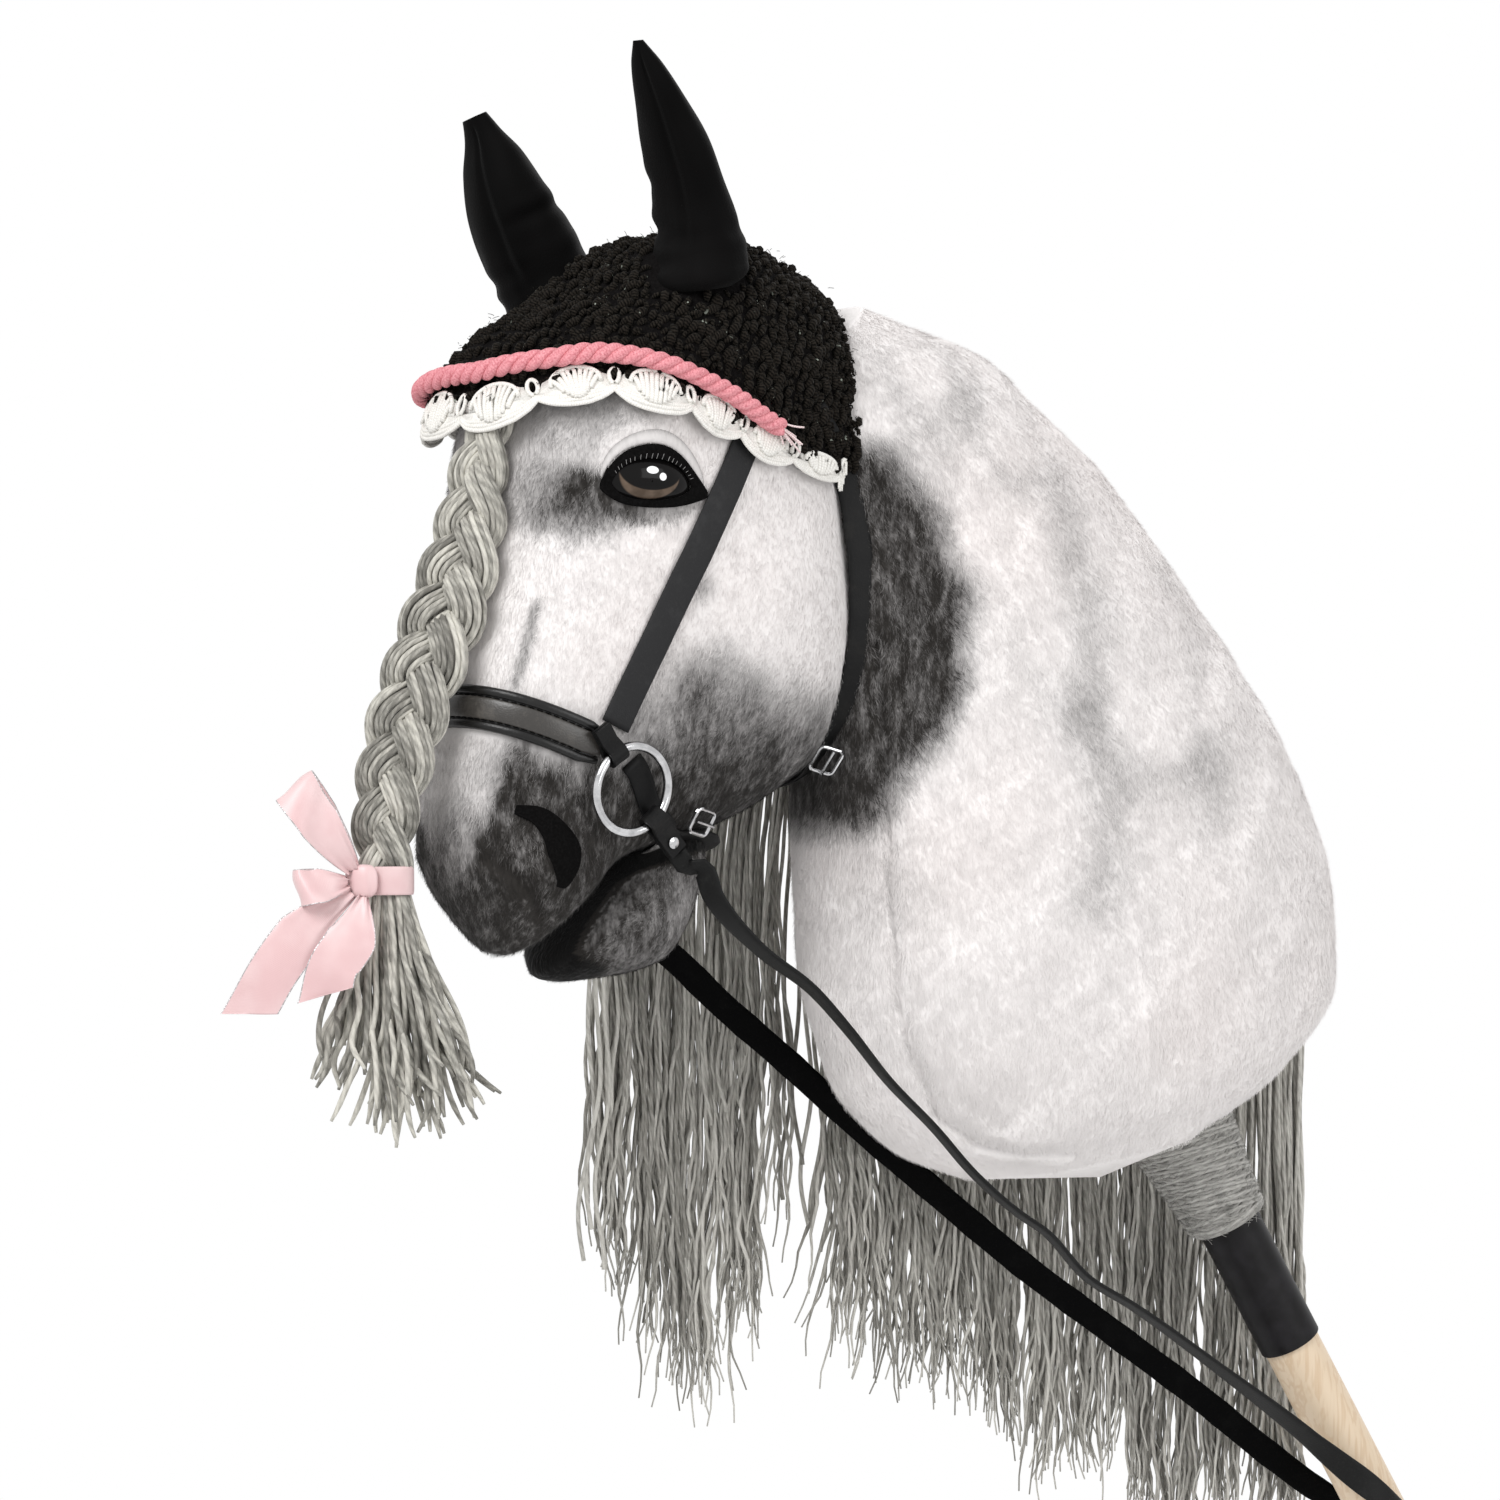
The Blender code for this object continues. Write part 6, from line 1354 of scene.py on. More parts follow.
# Middle and outward axis of each ring in the CAD model.
RINGS = {Side.NEAR: ((-0.32496, -0.21129, 0.30795), (0.59653, -0.79036, -0.13957)),
         Side.OFF: ((-0.39209, -0.13129, 0.30795), (-0.67476, 0.72472, -0.13957))}
NEAR_REIN_ROUTE = (
    (-297, -190, 275), (-291, -188, 262), (-272, -181, 240), (-249, -172, 222), (-234, -165, 205),
    (-216, -156, 182), (-196, -146, 161), (-178, -136, 140), (-158, -125, 122), (-147, -118, 114),
    (-127, -103, 92), (-106, -88, 78), (-64, -56, 46), (-30, -32, 19), (-5, -23, -2), (13, -20, -16),
    (26, -18, -26), (36, -12, -32), (39.6, -4.6, -35.2))
OFF_REIN_ROUTE = (
    (-347, -92, 256), (-313, -84, 235), (-289, -78, 212), (-258, -62, 184),
    (-227, -46, 155), (-194, -30, 126), (-152, -16, 90), (-110, -6, 58), (-68, 3, 26), (-34, 12, -2),
    (-8, 22, -21), (14, 27, -31), (29, 24, -36), (37, 16, -38), (39.5, 7, -37), (39.8, -1, -36))


@dataclass(frozen=True)
class Rein:
    """One rein: a flat strap from its folded end at the ring to the buckle behind the stick.

    Attributes:
        side: of the horse.
        leaves: where it leaves the folded end (mm).
        out: the direction in which it leaves.
        route: the points that it passes (mm).
        twists: how far its flat side is turned along it (degrees).
        finish: its leather.
        length: its real length.
    """

    side: Side
    leaves: tuple
    out: tuple
    route: tuple
    twists: tuple
    finish: str
    length: float

    def build(self) -> Piece:
        first = np.array(self.leaves) * MM
        out = unit(np.array(self.out))
        start = first + out * np.array([0.0, 5.0 * MM, 9.0 * MM])[:, None]
        points = smooth_route(np.concatenate([start, np.array(self.route) * MM]), 200)
        reach = np.linspace(0.0, 1.0, len(points))
        twist = np.radians(smooth_curve(np.linspace(0.0, 1.0, len(self.twists)), self.twists, reach))
        facing = np.tile([0.0, -1.0, 0.0], (len(points), 1))
        beginning = np.clip(1.0 - reach * 9.0, 0.0, 1.0)[:, None]
        facing = unit(facing * (1.0 - beginning) + self.side.value * np.array(RINGS[self.side][1]) * beginning)
        finish = np.clip((reach - 0.84) / 0.12, 0.0, 1.0)[:, None]
        facing = unit(facing * (1.0 - finish) + np.array([self.side.value, 0.0, 0.2 * self.side.value]) * finish)
        tangents = unit(np.gradient(points, axis=0))
        flat = across_line(facing, tangents)
        faces = flat * np.cos(twist)[:, None] + np.cross(tangents, flat) * np.sin(twist)[:, None]
        run = reach * self.length
        widths = 9.0 * MM + 3.0 * MM * np.clip(run / (35.0 * MM), 0.0, 1.0)
        if self.side is Side.OFF:
            widths = widths + 0.5 * MM * np.sin(run / (2.6 * MM) * math.pi) ** 8
        strap = sweep_strap(f"{self.side.word}_rein_strap", points, faces, widths, 2.4 * MM, 14)
        dress(strap, self.finish, [f"{self.side.word}_rein"], "")
        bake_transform(strap)
        return strap


class Body:
    """The stuffed head, chin and neck with their pile.

    Attributes:
        head_hairs: of the head's pile.
        jaw_hairs: of the chin's.
        neck_hairs: of each of the neck's two piles.
    """

    head_hairs: int = 186000
    jaw_hairs: int = 32000
    neck_hairs: int = 180000

    def __init__(self, seed: int = 11) -> None:
        """Seed the pile's random numbers."""
        self.rng = np.random.default_rng(seed)

    @staticmethod
    def skin_body(name: str, skin: Skin, u: Array, columns: int, ends: tuple[Array, Array], coat: Callable,
                  wave: float, seed: int, seam: Optional[Callable] = None) -> Piece:
        """Fine closed body of a skin, with its stuffing's gentle undulation and its coat's shade."""
        theta = once_round(columns)
        here, _, _, normal = skin_frame(skin, u[:, None], theta[None], 0.4 * (u[2] - u[1]))
        here = Body.swollen(here, normal, wave, seed, seam)
        verts = np.concatenate([here.reshape(-1, 3), np.stack(ends)])
        shade = coat(here)
        held = np.concatenate([shade.ravel(), [shade[0].mean(), shade[-1].mean()]])
        rows = len(u)
        return put_mesh(name, verts, [tube_grid(1, rows, columns), cap_grid(1, rows, columns)],
                        {"coat": held, "tone": np.full(len(held), 0.5)})

    @staticmethod
    def swollen(places: Array, normals: Array, wave: float, seed: int, seam: Optional[Callable] = None) -> Array:
        """Places on a skin after the stuffing's undulation and the seams' pull."""
        lift = wave * ripple(places, 36.0 * MM, seed) + 0.3 * wave * ripple(places, 11.0 * MM, seed + 1)
        if seam is not None:
            lift = lift - seam(places)
        return places + normals * lift[..., None]

    def build(self) -> None:
        """Make head, chin, neck and their pile."""
        self.head()
        self.jaw()
        self.neck()

    def head(self) -> None:
        """Head without its chin, piled below the bonnet."""
        turn = np.linspace(0.0, math.pi, 190)[1:-1]
        u = HEAD_TOP + (HEAD_END - HEAD_TOP) * (0.72 * np.linspace(0, 1, 190)[1:-1] + 0.14 * (1.0 - np.cos(turn)))

        def coat(points: Array) -> Array:
            """Coat by head coordinates."""
            return head_coat(*head_coords(points))

        def groove(points: Array) -> Array:
            """Depth of the seam below the nostril."""
            s, d, l = (v / MM for v in head_coords(points))
            return 1.5 * MM * bump(away_from(s, d, NOSTRIL_GROOVE), 2.2) * (np.abs(l) > 12.0)

        ends = (head_world(HEAD_TOP, POLL_POLE_RISE, 0.0), head_world(HEAD_END, MUZZLE_POLE_RISE, 0.0))
        skin = self.skin_body("head_plush", head_points, u, 176, ends, coat, 0.32 * MM, 21, groove)
        dress(skin, "plush", ["head"])
        theta = np.linspace(-0.5 * math.pi, 1.5 * math.pi, 150)

        def keep(s: Array, t: Array) -> Array:
            """Below the bonnet, off the nostrils and the eyes, and not under the noseband."""
            side = np.minimum(np.abs(np.mod(t + math.pi, 2 * math.pi) - math.pi),
                              np.abs(np.mod(t, 2 * math.pi) - math.pi))
            _, d, _ = head_surface(s, t)
            x, y = beside_eye(s / MM, d / MM)
            eye = (x / 21.0) ** 2 + (y / 12.0) ** 2 < 1.0
            nose = np.hypot(s - 252 * MM, d - 17 * MM) < 7 * MM
            band = (np.abs(s - 204 * MM) < 9 * MM) & (np.sin(t) > 0.2)
            return ((s > hem_place(np.mod(t + 0.5 * math.pi, 2 * math.pi) - 0.5 * math.pi) - 3 * MM)
                    & ~eye & ~(nose & (side < 1.2)) & ~band) * 1.0

        place = np.linspace(8 * MM, HEAD_END - 1.5 * MM, 190)
        s, t = scatter(head_points, place, theta, 0.6 * MM, self.head_hairs, keep, self.rng)
        roots, along, _, normal = skin_frame(head_points, s, t, 0.6 * MM)
        roots = self.swollen(roots, normal, 0.32 * MM, 21, groove)
        hair = pile("head_pile", roots, normal, along, coat(roots), self.rng)
        dress(hair, "plush_hair")

    def jaw(self) -> None:
        """Chin with the lower lip, charcoal all over."""
        u = JAW_START + (JAW_END - JAW_START) * np.sin(0.5 * math.pi * np.linspace(0.0, 1.0, 70)[:-1])
        low = float(jaw_surface(np.array(JAW_END), np.array(0.0))[1])
        ends = (jaw_points(np.full(8, JAW_START), once_round(8)).mean(0),
                head_world(JAW_END, low, 0.0))

        def coat(points: Array) -> Array:
            """Charcoal, a little paler under the chin's side."""
            s, d, _ = (v / MM for v in head_coords(points))
            lining = sum(inside_head(points, reach * MM) for reach in (11.0, 12.5, 14.0)) / 3.0
            lip = rise_step(278.0, 285.0, s) * rise_step(-46.0, -40.0, d)
            return 0.86 - 0.16 * spot(s, d, (246, -62), (12, 9)) + 0.8 * np.maximum(lining, lip)

        skin = self.skin_body("jaw_plush", jaw_points, u, 110, ends, coat, 0.3 * MM, 31)
        dress(skin, "plush", ["lower_jaw"])
        theta = np.linspace(0.0, 2.0 * math.pi, 90)
        place = np.linspace(JAW_START + 6 * MM, JAW_END - 2 * MM, 60)

        def keep(s: Array, t: Array) -> Array:
            """Not inside the mouth."""
            return (np.sin(t) < 0.55) * 1.0

        s, t = scatter(jaw_points, place, theta, 0.5 * MM, self.jaw_hairs, keep, self.rng)
        roots, along, _, normal = skin_frame(jaw_points, s, t, 0.5 * MM)
        roots = self.swollen(roots, normal, 0.3 * MM, 31)
        hair = pile("jaw_pile", roots, normal, along, coat(roots), self.rng, 3.4 * MM)
        dress(hair, "plush_hair")

    def neck(self) -> None:
        """Neck with its front seam, piled where the head does not cover it."""
        u = np.linspace(0.0, 1.0, 230)[1:-1]
        first, last = (neck_world(a * MM, z * MM, 0.0) for a, z in (NECK_POLE_START, NECK_POLE_END))

        def flat(points: Array) -> tuple[Array, Array, Array]:
            """Neck coordinates."""
            return points @ NECK_BACK, points[..., 2], points @ NECK_NEAR

        def coat(points: Array) -> Array:
            """Coat by neck coordinates."""
            return neck_coat(*flat(points))

        def seam(points: Array) -> Array:
            """Depth of the front panel's sewn seam on both sides, and a slight swelling beside it as a negative depth.
            """
            a, z, l = flat(points)
            away = away_from(a / MM, z / MM, NECK_SEAM)
            return 2.4 * MM * np.exp(-(away / 1.6) ** 2) * (np.abs(l) > 20 * MM) - 0.5 * MM * np.exp(
                -((away - 5.5) / 3.0) ** 2)

        skin = self.skin_body("neck_plush", neck_points, u, 210, (first, last), coat, 0.5 * MM, 41, seam)
        dress(skin, "plush", ["neck"])
        theta = np.linspace(0.0, 2.0 * math.pi, 180)
        place = np.linspace(0.004, 0.995, 230)

        def keep(v: Array, t: Array) -> Array:
            """Outside the head and the bonnet; denser on the side that is seen close."""
            points = neck_points(v, t)
            return (~inside_head(points, -4.0 * MM)) * (1.0 + 0.9 * (np.sin(t) > -0.15))

        for name in ("neck_pile", "neck_pile_fine"):
            v, t = scatter(neck_points, place, theta, 0.002, self.neck_hairs, keep, self.rng)
            roots, _, _, normal = skin_frame(neck_points, v, t, 0.002)
            roots = self.swollen(roots, normal, 0.5 * MM, 41, seam)
            grain = np.tile(-UP * 0.9 + NECK_BACK * 0.25, (self.neck_hairs, 1))
            hair = pile(name, roots, normal, grain, coat(roots), self.rng, 4.4 * MM)
            dress(hair, "plush_hair")


@dataclass(frozen=True)
class SkinPatch:
    """Small flat chart of the head's skin round one place.

    Attributes:
        s: place along the head.
        theta: angle round it.
        along: unit direction of the chart's first coordinate.
        across: unit direction of its second.
        normal: of the skin at the middle.
        turn: the 2 by 2 matrix from chart metres to (s, theta).
    """

    s: float
    theta: float
    along: Array
    across: Array
    normal: Array
    turn: Array

    @classmethod
    def between(cls, place: tuple[float, float], ahead: tuple[float, float], side: Side) -> "SkinPatch":
        """Chart at one (s, d) place whose first axis points to another."""
        s = np.array([place[0], ahead[0]]) * MM
        theta = theta_at(s, np.array([place[1], ahead[1]]) * MM, side)
        here, du, dt, normal = skin_frame(head_points, s, theta, 0.6 * MM)
        along = here[1] - here[0]
        along = unit(along - normal[0] * (along @ normal[0]))
        across = np.cross(normal[0], along)
        if across @ HEAD_DOWN > 0.0:
            across = -across
        turn = np.linalg.inv(np.array([[du[0] @ along, dt[0] @ along], [du[0] @ across, dt[0] @ across]]))
        return cls(float(s[0]), float(theta[0]), along, across, normal[0], turn)

    def place(self, x: Array, y: Array, lift: Numbers = 0.0) -> Array:
        """World points of chart coordinates."""
        x, y = np.broadcast_arrays(np.asarray(x, float), np.asarray(y, float))
        s = self.s + self.turn[0, 0] * x + self.turn[0, 1] * y
        theta = self.theta + self.turn[1, 0] * x + self.turn[1, 1] * y
        return head_skin(s, theta, lift)


@dataclass(frozen=True)
class Face:
    """Eye, rim, lashes, lid, nostril and lip tab of one side of the face.

    Attributes:
        side: of the horse.
        half_length: of the glossy eye.
        half_height: of it.
    """

    side: Side
    half_length: float = 19.6 * MM
    half_height: float = 11.6 * MM

    def build(self) -> None:
        """Make the pieces of this side."""
        patch = SkinPatch.between(EYE_PLACE, EYE_AHEAD, self.side)
        self.eye(patch)
        self.rim(patch)
        self.lid(patch)
        self.nostril()
        self.lip_tab()

    def arched(self, x: Array, y: Array) -> tuple[Array, Array]:
        """Almond's places with its corners lowered."""
        return x, y + 3.2 * MM * (0.5 - (x / (self.half_length * 1.15)) ** 2)

    def eye(self, patch: SkinPatch) -> None:
        """Domed eye: half an ellipsoid whose UV is its flat outline."""
        radius = np.linspace(0.0, 1.0, 30)[1:]
        turn = once_round(72)
        x, y = radius[:, None] * np.cos(turn), radius[:, None] * np.sin(turn)
        x = x * (1.0 + 0.10 * radius[:, None] ** 4)
        middle = patch.place(0.0, 0.0, -4.6 * MM)
        height = 9.5 * MM * np.sqrt(np.clip(1.0 - radius ** 2, 0.0, 1.0))
        far, high = self.arched(x * self.half_length, y * self.half_height)
        rings = (middle + far[..., None] * patch.along + high[..., None] * patch.across
                 + height[:, None, None] * patch.normal)
        back = middle - patch.normal * 3.0 * MM
        verts = np.concatenate([rings.reshape(-1, 3), [middle + patch.normal * 9.5 * MM, back]])
        sides = len(turn)
        grids = [tube_grid(1, len(radius), sides), cap_grid(1, len(radius), sides)]
        flat = np.concatenate([np.stack([0.5 + 0.5 * x, 0.5 + 0.5 * y], -1).reshape(-1, 2), [[0.5, 0.5], [0.5, -0.5]]])
        grids = [Grid(g.faces, flat[g.faces]) for g in grids]
        word = self.side.word
        dress(put_mesh(f"{word}_glass_eye", verts, grids), "glossy_eye", [f"{word}_eye"])

    def rim(self, patch: SkinPatch) -> None:
        """Black felt almond round the eye, broad above, and the fine pale lashes on it."""
        turn = once_round(120)
        up, ends = np.clip(np.sin(turn), 0.0, 1.0), np.abs(np.cos(turn)) ** 7
        width = (3.3 + 2.2 * up + 3.4 * ends) * MM
        section = once_round(14)
        share = 0.5 + 0.5 * signed_power(np.cos(section), 0.8)
        lift = 0.5 * MM + 1.0 * MM * (1.0 + signed_power(np.sin(section), 0.8))
        reach = width[:, None] * share - 2.3 * MM - 0.4 * MM * up[:, None] * (1.0 - share)
        x = (self.half_length * 1.02 + reach) * np.cos(turn)[:, None]
        y = (self.half_height + reach) * np.sin(turn)[:, None] * (1.0 - 0.42 * ends[:, None])
        lift = lift + 2.4 * MM * np.clip(1.0 - share, 0.0, 1.0) * up[:, None]
        rings = patch.place(*self.arched(x, y), np.broadcast_to(lift, x.shape))
        word = self.side.word
        dress(loop_body(f"{word}_felt_rim", rings), "black_felt", [f"{word}_eye_rim"])
        rng = np.random.default_rng(7)
        at = np.radians(np.linspace(160.0, 24.0, 19) + rng.normal(0.0, 0.8, 19))[:, None]
        grow = np.linspace(0.0, 1.0, 6) * rng.uniform(0.3, 0.42, (19, 1))
        over = np.clip(np.sin(at), 0.0, 1.0)
        spread = at + 0.16 * grow * (0.5 + np.cos(at))
        far = (3.3 + 2.2 * over) * MM * grow - 2.3 * MM - 0.4 * MM * over * (1.0 - grow)
        x, y = self.arched((self.half_length * 1.02 + far) * np.cos(spread), (self.half_height + far) * np.sin(spread))
        paths = patch.place(x, y, 2.55 * MM + 2.4 * MM * (1.0 - grow) * over)
        lashes = strands(f"{word}_lashes", paths, 0.10 * MM, 5, HEAD_NEAR)
        dress(lashes, "lash_thread")

    def lid(self, patch: SkinPatch) -> None:
        """Plush fold above the eye; the crease behind it is painted shade, a darker coat along the fold's outer edge.
        """
        turn = np.radians(np.linspace(8.0, 172.0, 60))
        swell = np.sin(np.linspace(0.0, math.pi, 60)) ** 0.6
        section = once_round(18)
        reach = 3.2 * MM + 6.4 * MM * (0.5 + 0.5 * np.cos(section)) * swell[:, None]
        x = (self.half_length + reach) * np.cos(turn)[:, None]
        y = (self.half_height + reach) * np.sin(turn)[:, None]
        lift = 1.0 * MM * (1.0 + np.sin(section)) * swell[:, None] - 0.4 * MM
        rings = patch.place(*self.arched(x, y), lift)
        # Painted shade of the crease: the coat darkens towards the fold's outer edge.
        shade = np.tile(0.24 + 0.36 * (0.5 + 0.5 * np.cos(section)) ** 4, (60, 1))
        word = self.side.word
        lid = ring_body(f"{word}_lid_fold", rings, {"coat": shade, "tone": np.full(shade.shape, 0.5)})
        dress(lid, "plush", [f"{word}_eyelid"])

    def nostril(self) -> None:
        """Black felt comma that curls round the nostril."""
        route = ((241, 38.5, 4), (240.5, 30, 7.5), (245.5, 20.5, 12.5), (253, 14.5, 17), (259.5, 11.5, 13),
                 (264, 10.5, 4.5))
        felt = self.sewn_on("nostril_felt", smooth_route(route, 40), 0.2 * MM, 60)
        dress(felt, "black_felt", [f"{self.side.word}_nostril"])

    def lip_tab(self) -> None:
        """Grey plush tab beside the mouth's corner."""
        tab = self.sewn_on("lip_corner", smooth_route([(222, -38, 7), (228, -45, 12), (236, -52, 9)], 24), 0.8 * MM, 40)
        coat_layer(tab, 0.86)
        dress(tab, "plush", [f"{self.side.word}_lip_tab"])

    def sewn_on(self, name: str, route: Array, gap: float, rows: int) -> Piece:
        """Flat piece on the head along a route of places, rises and widths (mm)."""
        s = route[:, 0] * MM
        path = SkinPath(head_points, s, theta_at(s, route[:, 1] * MM, self.side))
        return strap_on(f"{self.side.word}_{name}", path, route[:, 2] * MM, 1.6 * MM, gap, rows, square=0.8)


def coat_layer(obj: Piece, shade: float) -> None:
    """Give every vertex of a piece one shade of coat."""
    for label, value in (("coat", shade), ("tone", 0.5)):
        layer = obj.data.attributes.new(label, "FLOAT", "POINT")
        layer.data.foreach_set("value", np.full(len(obj.data.vertices), value, np.float32))


@dataclass(frozen=True)
class Ear:
    """Stuffed ear in its cover of black stretch cloth.

    Attributes:
        side: of the horse.
        base: its foot on the head (along, rise, out).
        length: of the ear.
        forward: lean to the front.
        spread: lean to the side.
        bend: how far its tip bends forward.
        stations: share of the length, half width and half thickness (mm).
        seam_turn: angle round the ear of the sewn fold.
        belly: how far its middle bulges forward.
        flare: how far its foot bulges forward.
        notches: share of the length, angle round and depth (mm) of the cloth's tucks.
    """

    side: Side
    base: tuple
    length: float
    forward: float
    spread: float
    bend: float
    stations: tuple
    seam_turn: float
    belly: float
    flare: float
    notches: tuple

    def axes(self) -> tuple[Array, Array, Array, Array]:
        """Foot, upward, wide and deep directions."""
        foot = head_world(self.base[0], self.base[1], self.side.value * self.base[2])
        up = unit(-HEAD_DOWN + HEAD_RISE * self.forward + HEAD_NEAR * self.side.value * self.spread)
        wide = unit(HEAD_NEAR - up * (HEAD_NEAR @ up))
        return foot - up * 14.0 * MM, up, wide, np.cross(up, wide)

    def middle(self, share: Array) -> Array:
        """Points of the ear's bent axis."""
        foot, up, _, _ = self.axes()
        share = np.asarray(share, float)[..., None]
        return foot + up * (self.length * share) + HEAD_RISE * self.forth(share)

    def forth(self, share: Array) -> Array:
        """How far the axis lies in front of its straight line."""
        return self.bend * share ** 2 + self.belly * np.sin(math.pi * share) ** 2 + self.flare * bump(share, 0.15)

    def holds(self, points: Array, margin: float) -> Array:
        """Whether points lie in the ear's foot."""
        foot, up, wide, deep = self.axes()
        table = np.array(self.stations, float)
        rel = points - foot
        height = rel @ up / self.length
        share = np.clip(height, 0.0, 1.0)
        half, thick = (smooth_curve(table[:, 0], table[:, k], share) * MM + margin for k in (1, 2))
        bent = rel - HEAD_RISE * self.forth(share)[..., None]
        return ((bent @ wide / half) ** 2 + (bent @ deep / thick) ** 2 < 1.0) & (height > 0.04)

    def build(self) -> None:
        """Loft the cover through fine rings, with a sewn fold, gathers at its foot and a blunt tip."""
        _, up, wide, deep = self.axes()
        table = np.array(self.stations, float)
        share = 0.05 + 0.95 * np.sin(np.linspace(0.0, 0.5 * math.pi, 110))
        turn = once_round(120)
        half, thick = (smooth_curve(table[:, 0], table[:, k], share)[:, None] * MM for k in (1, 2))
        gap = np.mod(turn - self.seam_turn + math.pi, 2.0 * math.pi) - math.pi
        fold = 1.3 * MM * np.exp(-(gap / 0.10) ** 2) - 1.1 * MM * np.exp(-((gap + 0.22) / 0.09) ** 2)
        window = (rise_step(0.16, 0.4, share) * (1.0 - rise_step(0.9, 0.99, share)))[:, None]
        axis = self.middle(share)
        rings = (axis[:, None] + half[..., None] * np.cos(turn)[:, None] * wide
                 + thick[..., None] * np.sin(turn)[:, None] * deep)
        out = unit(rings - axis[:, None])
        stretch = rings - (rings @ up)[..., None] * up * 0.55
        gather = ripple(stretch, 17.0 * MM, 51 + self.side.value) * (0.5 + 1.3 * (1.0 - share[:, None]) ** 2) * MM
        crease = ripple(rings @ np.stack([wide, deep, 3.4 * up], -1), 30.0 * MM, 61) * 0.7 * MM * bump(
            share - 0.24, 0.12)[:, None]
        for at, angle, depth in self.notches:
            near = np.mod(turn - math.radians(angle) + math.pi, 2.0 * math.pi) - math.pi
            tuck = bump(share - at, 0.03) - 0.6 * bump(share - at - 0.06, 0.035)
            crease = crease - depth * MM * tuck[:, None] * bump(near, 0.9)
        lift = (fold * window + gather * 0.55 + crease) * (1.0 - rise_step(0.93, 1.0, share))[:, None]
        rings = rings + out * lift[..., None]
        word = self.side.word
        cover = ring_body(f"{word}_ear_cloth", rings)
        dress(cover, "stretch_cloth", [f"{word}_ear", f"{word}_ear_cover"])


NEAR_EAR = Ear(Side.NEAR, (-5.0 * MM, 36.0 * MM, 40.0 * MM), 104.0 * MM, 0.62, 0.04, 25.0 * MM,
               ((0.0, 15, 10), (0.06, 22, 15), (0.10, 25.5, 18), (0.14, 26.5, 19), (0.18, 25.5, 18), (0.25, 23, 16.2),
                (0.33, 21.5, 15), (0.49, 20, 13.2), (0.62, 18.5, 12), (0.78, 14.5, 9.2), (0.92, 8, 5.5),
                (1.0, 2.4, 2.0)), math.radians(-52.0),
               -3.0 * MM, 10.0 * MM, ((0.34, 190.0, 2.0), (0.52, 185.0, 1.2)))
OFF_EAR = Ear(Side.OFF, (6.0 * MM, 42.0 * MM, 46.0 * MM), 104.0 * MM, 0.98, 0.26, 2.0 * MM,
              ((0.0, 25, 18), (0.12, 26, 19), (0.22, 26, 19.5), (0.36, 25, 19), (0.57, 23, 17), (0.78, 17, 12),
               (0.92, 10.5, 6.5), (1.0, 7.2, 4.6)), math.radians(-60.0), 5.5 * MM, 0.0,
              ((0.5, 0.0, 1.8), (0.3, 10.0, 1.0)))


